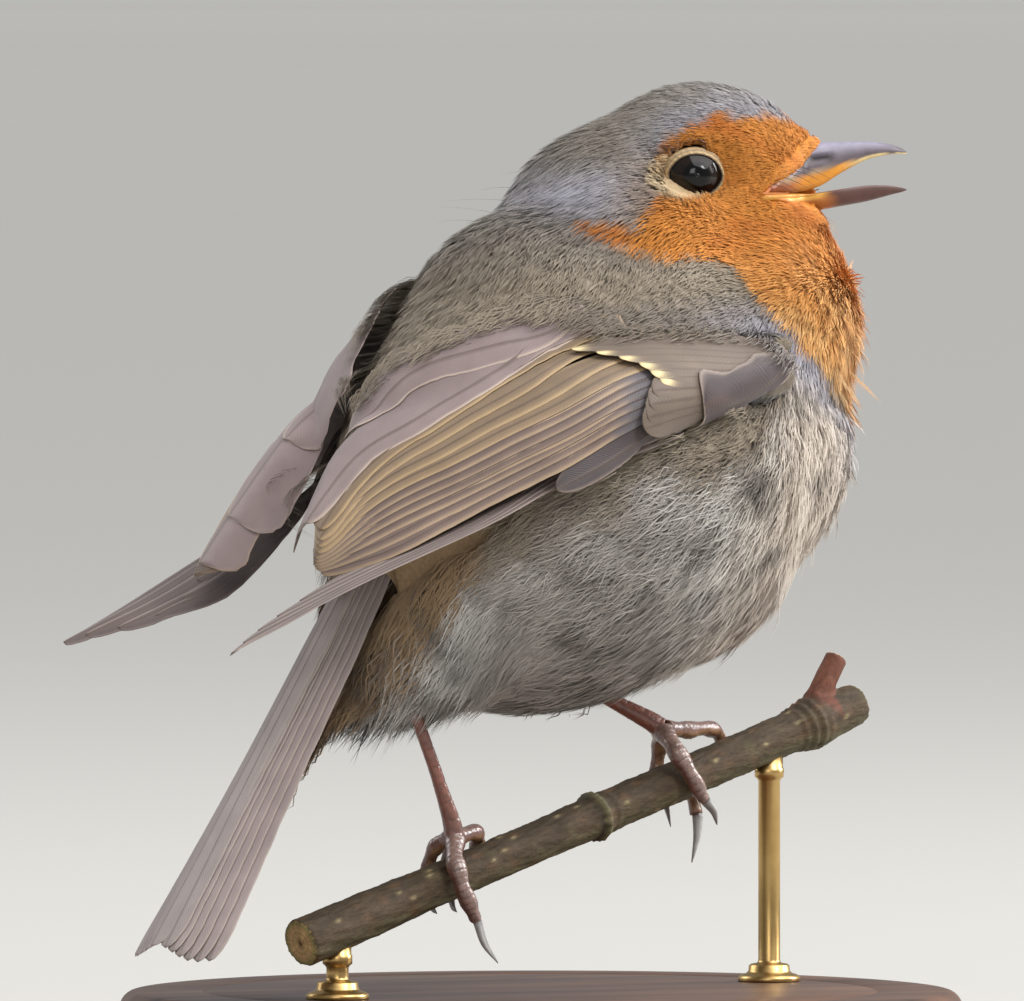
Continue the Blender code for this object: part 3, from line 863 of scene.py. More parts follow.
@dataclass(frozen=True)
class Markings:
    """Colours of the small feathers and where each lies; skin and coat both read them."""

    olive: str = "#9e917f"
    # Darker olive for the shoulders: painted shade where they face sideways, away from the light above.
    scapular_painted_shade: str = "#7c7061"
    crown: str = "#90867a"
    slate: str = "#b8b6c1"
    orange: str = "#d98d3e"
    orange_deep: str = "#c46c2a"
    orange_light: str = "#f8c683"
    rim: str = "#f6e0b8"
    ear: str = "#a0805c"
    belly: str = "#d3cec6"
    # Painted light on the belly's front and painted shade on its rear.
    belly_painted_light: str = "#e4d3c1"
    belly_painted_shade: str = "#aaa39c"
    vent: str = "#e6e3de"
    down: str = "#6b635b"
    flank: str = "#928474"
    # Buff of the coverts under the tail, painted darker tawny as painted shade under the tail.
    undertail: str = "#a58a6b"
    eye_ring: str = "#d8c19a"
    rump: str = "#877868"

    def bib_distance(self, points: Array) -> Array:
        """Measures how far points lie outside the orange face and breast.

        Args:
            points: rows of points round the trunk's middle.

        Returns:
            Millimetres, negative inside the orange.
        """
        face = profile_distance(points, FACE_OUTLINE)
        flat = points[:, :2] - BIB_AXIS
        bearing = np.degrees(np.arctan2(flat[:, 1], flat[:, 0]))
        middle, half = (np.interp(points[:, 2], BIB_BEARINGS[:, 0], BIB_BEARINGS[:, k]) for k in (1, 2))
        breast = (np.abs(bearing - middle) - half) * math.radians(BIB_REACH)
        breast = np.maximum(breast, points[:, 2] - 26.0)
        breast = np.maximum(breast, (BIB_BEARINGS[0, 0] - points[:, 2]))
        return np.minimum(face, breast) + 0.35 * ripple(points, 2.6, 5)

    def eye_distance(self, points: Array, opening: tuple[float, float] | None = None) -> Array:
        """Measures how far points lie from the nearer eye's middle, as seen in profile.

        Args:
            points: rows of points.
            opening: half length and half height of the lids' opening, to measure from its edge instead.

        Returns:
            Millimetres.
        """
        forward, left, up = in_head(points)
        ahead, _, rise = in_head(node_middle("eye_right")[None])
        flat = np.hypot((forward - ahead) / 1.12, up - rise)
        if opening is not None:
            flat = (np.hypot((forward - ahead) / opening[0], (up - rise) / opening[1]) - 1) * opening[1]
        return np.where(np.abs(left) > 3.0, flat, 30.0)

    def belly_share(self, points: Array) -> Array:
        """Tells how far points lie on the pale underside.

        Args:
            points: rows of points.

        Returns:
            Shares from 0 to 1.
        """
        axis = np.interp(points[:, 0], (-30.0, -18.0, 0.0, 20.0), (-14.0, -4.5, 3.5, 6.5))
        turn = np.degrees(np.arctan2(points[:, 2] - axis, np.abs(points[:, 1]) + 1e-6))
        front = smooth(6.0, 18.0, points[:, 0])
        turn = turn - 46.0 * front
        return smooth(14.0, -12.0, turn + 7 * ripple(points, 9.0, 12))

    def colour(self, points: Array) -> Array:
        """Gives the coat's own colour.

        Args:
            points: rows of points round the trunk's middle.

        Returns:
            Rows of linear colours.
        """
        forward, _, up = in_head(points)
        base = plain(self.olive, len(points))
        base = mixed(base, self.crown, smooth(22.0, 27.0, points[:, 2]))
        base = mixed(base, self.rump, smooth(-18.0, -26.0, points[:, 0]) * smooth(-2.0, 4.0, points[:, 2]))
        # The pale underside, with painted light making it paler and warmer in front and painted shade making
        # it greyer behind.
        belly = self.belly_share(points)
        base = mixed(base, self.flank, smooth(0.02, 0.45, belly))
        base = mixed(base, self.belly, smooth(0.35, 0.95, belly))
        base = mixed(base, self.belly_painted_light, 0.7 * belly * smooth(6.0, 14.0, points[:, 0]))
        base = mixed(base, self.belly_painted_shade, 0.75 * belly * smooth(8.0, -3.0, points[:, 0]))
        along, high = on_tail(points)
        # The vent, and a band of buff coverts under the tail, painted darker tawny as painted shade from the
        # tail.
        base = mixed(base, self.vent, 0.9 * smooth(4.0, 9.0, along) * smooth(-4.5, -6.5, high)
                     * smooth(-14.0, -19.0, points[:, 0]))
        base = mixed(base, self.undertail,
                     smooth(2.0, 6.0, along) * smooth(-6.8, -5.2, high) * smooth(2.0, 0.0, high))
        # The shoulders are darkened as painted shade, facing sideways away from the top light.
        shoulder = smooth(11.0, 15.0, np.abs(points[:, 1])) * smooth(22.0, 18.0, points[:, 2])
        base = mixed(base, self.scapular_painted_shade, 0.8 * shoulder * (1 - belly) * smooth(8.0, 12.0, points[:, 2]))
        # Blue-grey runs along the orange from the brow down the neck to the shoulder.
        bib = self.bib_distance(points)
        beside = np.exp(-((bib / 4.6) ** 2))
        beside = beside * smooth(21.0, 17.0, points[:, 2]) * smooth(2.0, 9.0, points[:, 2])
        neck = np.exp(-(((forward + 9.5) / 8.0) ** 2) - ((up + 2.4 + 0.06 * forward) / 2.5) ** 2)
        brow = 0.6 * np.exp(-((bib / 2.6) ** 2)) * smooth(-2.0, 2.0, up) * smooth(-8.0, 0.0, forward)
        base = mixed(base, self.slate, np.clip(np.maximum(np.maximum(beside, 0.85 * neck), brow), 0, 1))
        ear = np.exp(-(((forward + 3.2) / 2.6) ** 2) - ((up + 2.6) / 3.0) ** 2)
        base = mixed(base, self.ear, 0.55 * ear)
        # Orange face and breast, deeper in patches and paler low on the breast.
        orange = plain(self.orange, len(points))
        deep = smooth(-0.2, 0.9, ripple(points, 5.0, 21)) * smooth(-12.0, -2.0, up)
        orange = mixed(orange, self.orange_deep, 0.7 * deep)
        pale = smooth(-7.0, -16.0, up) * (0.55 + 0.45 * smooth(-0.4, 0.6, ripple(points, 4.0, 8)))
        orange = mixed(orange, self.orange_light, 0.9 * pale)
        edge = smooth(0.45, -0.45, bib)[:, None]
        base = base + (orange - base) * edge
        low_rim = np.exp(-(((bib + 0.4) / 1.1) ** 2)) * smooth(16.0, 11.0, points[:, 2])
        base = mixed(base, self.rim, 0.6 * low_rim)
        # A pale ring round the eye, widest behind it.
        ahead, _, rise = in_head(node_middle("eye_right")[None])
        around = self.eye_distance(points)
        turn = np.arctan2(up - rise, forward - ahead)
        behind = np.exp(-((np.abs(np.angle(np.exp(1j * (turn - math.radians(188))))) / 0.95) ** 2))
        width = np.hypot(2.75 * np.cos(turn) / 1.12, 2.35 * np.sin(turn)) + 0.2 + 0.75 * behind
        base = mixed(base, self.eye_ring, 0.85 * smooth(width + 0.3, width - 0.2, around))
        return base


MARKINGS = Markings()


# ---------------------------------------------------------------- the skin


def lie_of_coat(points: Array, normals: Array) -> Array:
    """Finds which way the feathers lie: from the bill back over the head and along the body to the tail.

    Args:
        points: rows of points on the skin.
        normals: the skin's normals there.

    Returns:
        Unit vectors in the skin's surface.
    """
    line = np.concatenate([head_point((12.0, 5.0, -2.0, -7.0), np.zeros(4), (-1.0, -1.2, -1.6, -4.6)),
                           np.array([(0.0, -0.5, 19.0), (-3.0, 0.0, 10.0), (-8.0, 0.0, 3.0),
                                     (-15.0, 0.0, -2.5), (-22.0, 0.0, -9.0), (-30.0, 0.0, -20.0)])])
    line = spline(line, np.linspace(0, 1, 46))
    ways = unit(np.gradient(line, axis=0))
    away = np.linalg.norm(points[:, None] - line[None], axis=2)
    weight = np.exp(-((away - away.min(axis=1, keepdims=True)) / 2.2))
    way = unit((weight[:, :, None] * ways[None]).sum(axis=1))
    x, z = points[:, 0:1], points[:, 2:3]
    back, breast = np.array([-1.0, 0.0, -0.35]), np.array([-0.15, 0.0, -1.0])
    back = back - np.array([0.0, 0.0, 0.3]) * smooth(6.0, -4.0, z)
    trunk = back + (breast - back) * smooth(5.0, 16.0, x)
    vent = smooth(-13.0, -24.0, x) * smooth(3.0, -6.0, z)
    trunk = trunk + (np.array([-0.5, 0.0, -0.87]) - trunk) * vent
    way = unit(way + (unit(trunk) - way) * smooth(25.0, 15.0, z))
    over_bill = smooth(1.5, 0.9, profile_distance(points, BARE_MOUTH))
    over_bill = over_bill * smooth(7.6, 9.0, in_head(points)[0])
    way = way * (1 - 2 * over_bill)[:, None]
    return unit(way - dot(way, normals)[:, None] * normals)


def eye_axes(side: str) -> tuple[Array, float, Array, Array]:
    """Finds one eye's middle, radius and axes.

    Args:
        side: left or right.

    Returns:
        Middle, radius, the way it looks, and the way ahead square to the look.
    """
    low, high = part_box("eye_" + side)
    ahead, aside = head_axes()
    look = unit(aside * (1 if side == "left" else -1) + 0.12 * ahead)
    return node_middle("eye_" + side), (high.x - low.x) / 2 / MM, look, unit(ahead - look * ahead.dot(look))


def coat_depth(points: Array) -> Array:
    """Tells how deep the coat is.

    Args:
        points: rows of points on the body's outline.

    Returns:
        Millimetres.
    """
    bill = np.linalg.norm(points - head_point(10.0, 0.0, -1.0), axis=1)
    return np.interp(bill, (3.0, 8.0, 14.0, 24.0, 34.0), (0.25, 0.45, 0.8, 1.25, 1.5))


@dataclass
class Skin:
    """The bare body under the coat, in one piece from the gape to the tail."""

    voxel: float = 0.6
    smooth_steps: int = 9
    lid_clearance: float = 0.12
    forehead: tuple[float, float, float] = (9.3, 4.1, 2.5)
    forehead_up: float = 2.05
    wedge_rings: int = 24
    wedge_sides: int = 32
    shell: Shell = field(init=False)
    outline: BVHTree = field(init=False)
    face: BVHTree = field(init=False)
    uv: Array = field(init=False)
    lie: Array = field(init=False)

    def __post_init__(self) -> None:
        """Builds the surface and everything the coat reads from it."""
        parts = [arrays_of(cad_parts[name].data) for name in ("head", "neck", "trunk")]
        shells = [part.bare() for part in parts]
        forward, reach, half = self.forehead
        share = np.cos(np.linspace(math.pi, 0, self.wedge_rings))
        wedge = tube(head_point(forward + reach * share, 0 * share, 0 * share + self.forehead_up),
                     np.maximum(half * np.sqrt(1 - share**2), 0.05), self.wedge_sides)
        shells.append(wedge.bare())
        body = remeshed(merged(shells), self.voxel, self.smooth_steps)
        self.outline = body.tree()
        points = body.points - body.normals * coat_depth(body.points)[:, None]
        points = self.eased(points, body.quads, 3)
        self.face = Shell(points, body.quads).tree()
        points = self.round_the_eyes(points)
        points = self.bared_bill(points)
        self.shell = Shell(points, body.quads, body.tris)
        self.shell.normals = point_normals(points, self.shell.triangles())
        self.lie = lie_of_coat(points, self.shell.normals)
        self.uv = self.unwrapped()

    @staticmethod
    def eased(points: Array, quads: Array, rounds: int) -> Array:
        """Evens out a mesh of quads.

        Args:
            points: its points.
            quads: its faces.
            rounds: how many times each point moves half way to its neighbours' middle.

        Returns:
            The moved points.
        """
        count = np.zeros(len(points))
        for k in range(4):
            np.add.at(count, quads[:, k], 2)
        for _ in range(rounds):
            total = np.zeros_like(points)
            for k in range(4):
                np.add.at(total, quads[:, k], points[quads[:, (k + 1) % 4]] + points[quads[:, (k + 3) % 4]])
            points = np.where(count[:, None] > 0, (points + total / np.maximum(count, 1)[:, None]) / 2,
                              points)
        return points

    def round_the_eyes(self, points: Array) -> Array:
        """Fits the skin to the eyeballs: open in front of each and close round it.

        Args:
            points: the skin's points.

        Returns:
            The moved points.
        """
        for side in ("left", "right"):
            middle, radius, look, front = eye_axes(side)
            away = points - middle
            reach = np.linalg.norm(away, axis=1)
            facing = dot(away / reach[:, None], look)
            across, high = away @ front / reach * radius, away[:, 2] / reach * radius
            open_share = np.hypot(across / (EYE_OPENING[0] + 0.45), high / (EYE_OPENING[1] + 0.45))
            want = radius + np.interp(open_share, (0.9, 1.05, 1.3), (-0.5, -0.15, self.lid_clearance))
            near = (facing > 0.0) & (reach < radius + 2.0)
            inside = near & ((reach < want) | (open_share < 1.05))
            points = np.where(inside[:, None], middle + away / reach[:, None] * want[:, None], points)
        return points

    @staticmethod
    def bared_bill(points: Array) -> Array:
        """Draws the skin in where the bill's horn and the corners of the mouth come out of the face.

        Args:
            points: the skin's points.

        Returns:
            The moved points.
        """
        _, aside = head_axes()
        forward, left, _ = in_head(points)
        inside = -profile_distance(points, BARE_MOUTH)
        limit = np.interp(forward, (8.0, 9.5, 10.8, 12.0, 13.4), (9.0, 3.0, 2.0, 1.5, 1.0))
        wide = np.minimum(np.abs(left) - 1.0, limit)
        wide = np.abs(left) + (np.maximum(wide, 0.3) - np.abs(left)) * smooth(-0.1, 0.5, inside)
        wide = np.minimum(wide, np.abs(left))
        head = above_plane(points, HEAD_PLANE) > 0
        return points + aside * (np.where(head, wide - np.abs(left), 0.0) * np.sign(left))[:, None]

    def unwrapped(self) -> Array:
        """Lays the skin flat in four charts, parted down the middle and round the neck.

        Returns:
            A flat place for every corner of every quad.
        """
        shell = self.shell
        mesh = Shell(shell.points, shell.quads).mesh("flat")
        obj = in_scene("flat", mesh)
        middles = shell.points[shell.quads].mean(axis=1)
        lean = smooth(12.0, 27.0, middles[:, 2])
        left = middles[:, 1] * (1 - lean) + in_head(middles)[1] * lean > 0
        chart = left * 2 + (above_plane(middles, HEAD_PLANE) > 0)
        pairs = np.sort(np.stack([shell.quads, np.roll(shell.quads, -1, axis=1)], axis=2).reshape(-1, 2),
                        axis=1)
        owner = np.repeat(chart, 4)
        key = pairs[:, 0].astype(np.int64) * len(shell.points) + pairs[:, 1]
        order = np.argsort(key, kind="stable")
        key, owner = key[order], owner[order]
        split = key[:-1][(key[:-1] == key[1:]) & (owner[:-1] != owner[1:])]
        ends = np.empty(len(mesh.edges) * 2, np.int32)
        mesh.edges.foreach_get("vertices", ends)
        ends = np.sort(ends.reshape(-1, 2), axis=1)
        seam = np.isin(ends[:, 0].astype(np.int64) * len(shell.points) + ends[:, 1], split)
        mesh.edges.foreach_set("use_seam", seam)
        mesh.uv_layers.new(name=BAKE_MAP)
        bpy.context.view_layer.objects.active = obj
        obj.select_set(True)
        bpy.ops.object.mode_set(mode="EDIT")
        bpy.ops.mesh.select_all(action="SELECT")
        bpy.ops.uv.unwrap(method="CONFORMAL", margin=0.004)
        bpy.ops.uv.average_islands_scale()
        bpy.ops.uv.pack_islands(margin=0.004)
        bpy.ops.object.mode_set(mode="OBJECT")
        flat = np.empty(len(mesh.loops) * 2, np.float32)
        mesh.uv_layers[BAKE_MAP].uv.foreach_get("vector", flat)
        bpy.data.objects.remove(obj)
        bpy.data.meshes.remove(mesh)
        return flat.reshape(-1, 4, 2).astype(float)


# ---------------------------------------------------------------- the coat


@dataclass
class Roots:
    """Where locks grow: their place, the surface there, the way they lie and their place on the unwrap."""

    points: Array
    normals: Array
    lie: Array
    flat: Array

    def only(self, keep: Array) -> "Roots":
        """Keeps the chosen roots."""
        return Roots(self.points[keep], self.normals[keep], self.lie[keep], self.flat[keep])


def scattered(skin: Skin, density: Array, seed: int) -> Roots:
    """Spreads roots evenly over the skin.

    Args:
        skin: the skin.
        density: locks per square millimetre, per face.
        seed: picks the draw.

    Returns:
        The roots.
    """
    rng = np.random.default_rng(seed)
    points, quads = skin.shell.points, skin.shell.quads
    corners = points[quads]
    area = np.linalg.norm(np.cross(corners[:, 2] - corners[:, 0], corners[:, 3] - corners[:, 1]), axis=1) / 2
    total = np.cumsum(area * density)
    count = int(total[-1])
    at = (np.arange(count) + rng.uniform(0, 1, count)) / count * total[-1]
    face = np.minimum(np.searchsorted(total, at), len(quads) - 1)
    u, v = rng.uniform(0, 1, count), rng.uniform(0, 1, count)
    share = np.stack([(1 - u) * (1 - v), u * (1 - v), u * v, (1 - u) * v], axis=1)[:, :, None]

    def read(rows: Array) -> Array:
        """Reads what the corners carry at each root."""
        return (rows[quads[face]] * share).sum(axis=1)

    normal = unit(read(skin.shell.normals))
    way = read(skin.lie)
    lie = unit(way - dot(way, normal)[:, None] * normal)
    return Roots(read(points), normal, lie, (skin.uv[face] * share).sum(axis=1))


@dataclass(frozen=True)
class Lock:
    """The make of one kind of small feather: how many barbs it has and how they run."""

    barbs: int
    rings: tuple[float, ...] = (0.0, 0.35, 0.7, 1.0)
    breadth: float = 0.55
    breadth_least: float = 0.4
    tip_spread: float = 0.5
    rounding: float = 0.3
    ragged: float = 0.15
    sway: float = 0.06
    roll: float = 0.2
    normal_body: float = 0.92
    tint_wander: float = 0.05
    shade_wander: float = 0.04
    lift: float = 0.05


@dataclass
class Growth:
    """What each lock of one piece gets: length, half barb width, height over the skin and colours."""

    length: Array
    barb: Array
    low: Array
    high: Array
    colour: Array
    root_shade: Array


@dataclass(frozen=True)
class TailRoom:
    """The room round the tail: small feathers stay on their own face of it and lie along it."""

    over: float = 1.0
    under: float = 2.4

    @staticmethod
    def guided(nodes: Array) -> Array:
        """Turns the locks at the end of the undertail coverts along the tail.

        Args:
            nodes: three guiding points per lock.

        Returns:
            The moved points.
        """
        along, high = on_tail(nodes[:, :1])
        end = smooth(5.0, 10.0, along) * smooth(0.0, -1.0, high) * smooth(-20.0, -13.0, high)
        length = np.linalg.norm(np.diff(nodes, axis=1), axis=2).sum(axis=1)[:, None, None]
        share = np.array([0.0, 0.5, 1.0])[None, :, None]
        straight = nodes[:, :1] + unit(TAIL_AXIS + 0.04 * TAIL_DORSAL) * length * share
        return nodes + (straight - nodes) * end[..., None]

    def clear(self, lines: Array) -> Array:
        """Keeps lines of points on the tail's face that their first point is on.

        Args:
            lines: rows of points, one row per line.

        Returns:
            The moved points.
        """
        along, high = on_tail(lines)
        above = high[:, :1] > -0.5
        want = np.where(above, np.maximum(high, self.over), np.minimum(high, -self.under))
        return lines + TAIL_DORSAL * ((want - high) * smooth(0.0, 3.0, along))[..., None]


def grow(roots: Roots, growth: Growth, lock: Lock, surface: BVHTree | None, seed: int,
         cover: BVHTree | None = None, room: TailRoom | None = None) -> Shell:
    """Grows locks of barbs that lie along a surface.

    Args:
        roots: where the locks grow.
        growth: sizes and colours of each lock.
        lock: how a lock is made.
        surface: the surface that the locks follow, in millimetres, or None to run straight.
        seed: picks the draw.
        cover: flight feathers that the locks lie over where they reach them.
        room: the room round the tail that the locks keep out of.

    Returns:
        The barbs as one shell with its bake map and soft normals.
    """
    rng = np.random.default_rng(seed)
    count, barbs, rings = len(roots.points), lock.barbs, np.array(lock.rings)
    points, normals, lie = roots.points, roots.normals, roots.lie
    along = [points, points + lie * growth.length[:, None] * 0.5, points + lie * growth.length[:, None]]
    ways = [normals, normals.copy(), normals.copy()]
    if surface is not None:
        for k in (1, 2):
            for i in range(count):
                hit, normal, _, _ = surface.find_nearest(along[k][i])
                along[k][i] = hit
                ways[k][i] = normal
    ways = [unit(0.6 * w + 0.4 * normals) for w in ways]
    heights = [np.full(count, ROOT_DEPTH), growth.low + (growth.high - growth.low) * 0.6, growth.high]
    nodes = np.stack([a + w * h[:, None] for a, w, h in zip(along, ways, heights)], axis=1)
    if cover is not None:
        for k in (1, 2):
            for i in range(count):
                if normals[i, 2] < -0.1:
                    continue
                start = Vector(nodes[i, k] + ways[k][i] * 5.0)
                hit, _, _, far = cover.ray_cast(start, Vector(-ways[k][i]), 5.0)
                if hit is not None:
                    nodes[i, k] = np.array(hit) + ways[k][i] * (0.12 + 0.25 * rng.random())
    if room is not None:
        nodes = room.clear(room.guided(nodes))
    side = unit(np.cross(normals, lie))
    jitter = rng.uniform(-0.5, 0.5, (count, barbs)) * (1.6 / max(barbs - 1, 1))
    spread = np.linspace(-1, 1, barbs)[None] + jitter
    reach = 1 - lock.rounding * spread**2 - rng.uniform(0, lock.ragged, (count, barbs))
    at = rings[None, None] * reach[:, :, None]
    curve = [part[..., None] for part in ((2 * at - 1) * (at - 1), 4 * at * (1 - at), at * (2 * at - 1))]
    line = sum(c * nodes[:, None, None, k] for k, c in enumerate(curve))
    normal = unit(sum(c * np.stack(ways, axis=1)[:, None, None, k] for k, c in enumerate(curve)))
    breadth = (lock.breadth * growth.length + lock.breadth_least) / 2
    fan = np.interp(rings, (0.0, 0.4, 0.75, 1.0), (0.3, 0.85, 1.0, lock.tip_spread))
    bend = rng.normal(0, lock.sway, (count, barbs))[:, :, None] * rings[None, None] ** 2
    aside = spread[:, :, None] * fan[None, None] * breadth[:, None, None]
    aside = aside + bend * growth.length[:, None, None]
    arch = -0.10 * spread[:, :, None] ** 2 * breadth[:, None, None]
    arch = arch + rng.uniform(-0.5, 1.0, (count, barbs))[:, :, None] * lock.lift * at
    line = line + side[:, None, None] * aside[..., None] + normal * arch[..., None]
    if room is not None:
        line = room.clear(line.reshape(count * barbs, -1, 3)).reshape(line.shape)
    roll = rng.uniform(-lock.roll, lock.roll, (count, barbs)) + 0.25 * spread
    flat = np.cos(roll)[..., None, None] * side[:, None, None] + np.sin(roll)[..., None, None] * normal
    width = growth.barb[:, None, None] * rng.uniform(0.75, 1.3, (count, barbs))[:, :, None]
    width = width * np.interp(rings, (0.0, 0.45, 0.8, 1.0), (0.7, 1.0, 0.75, 0.0))[None, None]
    first = line - flat * width[..., None]
    second = (line + flat * width[..., None])[:, :, :-1]
    n = len(rings)
    rows = np.concatenate([np.stack([first[:, :, :-1], second], axis=3).reshape(count, barbs, -1, 3),
                           first[:, :, -1:]], axis=2)
    per = 2 * n - 1
    starts = (np.arange(count * barbs) * per)[:, None, None]
    steps = np.arange(n - 2)[None, :, None] * 2
    quads = (starts + steps + np.array([0, 2, 3, 1])[None, None]).reshape(-1, 4)
    tris = (starts[:, 0] + 2 * (n - 2) + np.array([0, 2, 1])[None]).reshape(-1, 3)
    ring_of = np.concatenate([np.repeat(np.arange(n - 1), 2), [n - 1]])
    tilt = 0.3 * spread[:, :, None, None] * side[:, None, None]
    tilt = tilt + 0.2 * (rings - 0.3)[None, None, :, None] * lie[:, None, None]
    own = unit(np.cos(roll)[..., None, None] * normal - np.sin(roll)[..., None, None] * side[:, None, None])
    shaded = unit(lock.normal_body * normal + (1 - lock.normal_body) * own + 0.35 * tilt)[:, :, ring_of]
    shade = 1 + rng.normal(0, lock.shade_wander, (count, barbs, 1))
    feather = 1 + rng.normal(0, lock.tint_wander, (count, 1, 1))
    tint = growth.colour[:, None] * np.clip(shade * feather, 0.5, 1.6)
    colour = np.broadcast_to(tint[:, :, None], (count, barbs, per, 3))
    tip = at[:, :, ring_of]
    patch = np.stack([np.broadcast_to(spread[:, :, None], tip.shape), 2 * tip - 1], axis=-1)
    patch = patch * LOCK_PATCH / 2
    bake = roots.flat[:, None, None] + patch
    root_shade = np.broadcast_to(growth.root_shade[:, None, None], tip.shape)
    return Shell(rows.reshape(-1, 3), quads, tris, {"plumage": colour.reshape(-1, 3)},
                 {"tip": tip.reshape(-1), "root_shade": root_shade.reshape(-1)}, {}, bake.reshape(-1, 2),
                 shaded.reshape(-1, 3))


@dataclass(frozen=True)
class BarbFinish:
    """Contour feather: matt keratin barbs, which lie loose and so look like short soft hair."""

    name: str = "contour_feather_keratin"
    roughness: float = 0.78
    root_dark: float = 0.6
    mottle_mm: float = 1.6

    def material(self) -> bpy.types.Material:
        """Makes the finish: darker toward the barbs' roots, for their grey bases and as painted shade deep
        in the coat; paler and a little mottled at their tips, the paleness a painted glow of light through
        them.

        Returns:
            The material.
        """
        # Keratin barbs scatter light widely, so the gloss is low and a faint sheen stays at the edges.
        made = Finish(self.name,
                      {"Roughness": self.roughness, "IOR": FEATHER_IOR, "Specular IOR Level": 0.22,
                       "Sheen Weight": 0.18, "Sheen Roughness": 0.45})
        # This ramp darkens the roots, partly for their grey bases and partly as painted shade, and lifts the
        # tips as painted light shining through them.
        depth = made.ramp(made.carried("tip", "Fac"), (0.0, self.root_dark), (0.45, 0.9), (0.8, 1.0),
                          (1.0, 1.06))
        dark = made.blended("MIX", made.carried("root_shade", "Fac"), (1.0, 1.0, 1.0, 1.0), depth)
        fleck = made.ramp(made.noise(made.place(), self.mottle_mm * MM, 3.0), (0.3, 0.92), (0.7, 1.06))
        return made.done([made.carried("plumage"), dark, fleck])


@dataclass(frozen=True)
class SkinFinish:
    """Feather-bearing skin: thin and matt, seen only as the dark between the barbs."""

    name: str = "feathered_skin"

    def material(self) -> bpy.types.Material:
        """Makes the finish from the coat's own colours, darkened partly by the grey down that covers it and
        partly as painted shade deep between the barbs.

        Returns:
            The material.
        """
        # Dry skin under down hardly shines; its refractive index is a little over that of water.
        made = Finish(self.name, {"Roughness": 0.9, "IOR": 1.45, "Specular IOR Level": 0.2})
        # The down's pattern also darkens the skin: grey down, with painted shade between the barbs.
        down = made.noise(made.place(), 0.5 * MM, 4.0)
        return made.done([made.carried("plumage"), made.ramp(down, (0.3, 0.7), (0.7, 0.92))],
                         relief=(down, 0.15, 0.6))


class Region(Enum):
    """The coat's pieces, each with its piece name and a slot name."""

    FACE = ("coat_face", "head_plumage")
    CROWN = ("coat_crown", "head_plumage")
    NECK = ("coat_neck", "neck_plumage")
    MANTLE = ("coat_mantle", "trunk_plumage")
    BREAST = ("coat_breast", "trunk_plumage")
    FLANK_RIGHT = ("coat_flank_right", "trunk_plumage")
    FLANK_LEFT = ("coat_flank_left", "trunk_plumage")
    VENT = ("coat_vent", "trunk_plumage")

    def holds(self, points: Array) -> Array:
        """Tells which points are in the region.

        Args:
            points: rows of points on the skin.

        Returns:
            True or False for each.
        """
        head = above_plane(points, HEAD_PLANE) > 0
        neck = ~head & (above_plane(points, NECK_PLANE) > 0)
        trunk = ~head & ~neck
        face = MARKINGS.bib_distance(points) < 1.0
        vent = points[:, 0] < -11.0 - 0.5 * (points[:, 2] + 8.0)
        breast = points[:, 0] > 14.0
        mantle = MARKINGS.belly_share(points) < 0.03
        right = points[:, 1] < 0
        low_back = trunk & ~mantle & vent
        side = trunk & ~mantle & ~vent & ~breast
        return {
            Region.FACE: head & face,
            Region.CROWN: head & ~face,
            Region.NECK: neck,
            Region.MANTLE: trunk & mantle & ~breast,
            Region.BREAST: trunk & breast,
            Region.FLANK_RIGHT: side & right,
            Region.FLANK_LEFT: side & ~right,
            Region.VENT: low_back,
        }[self]


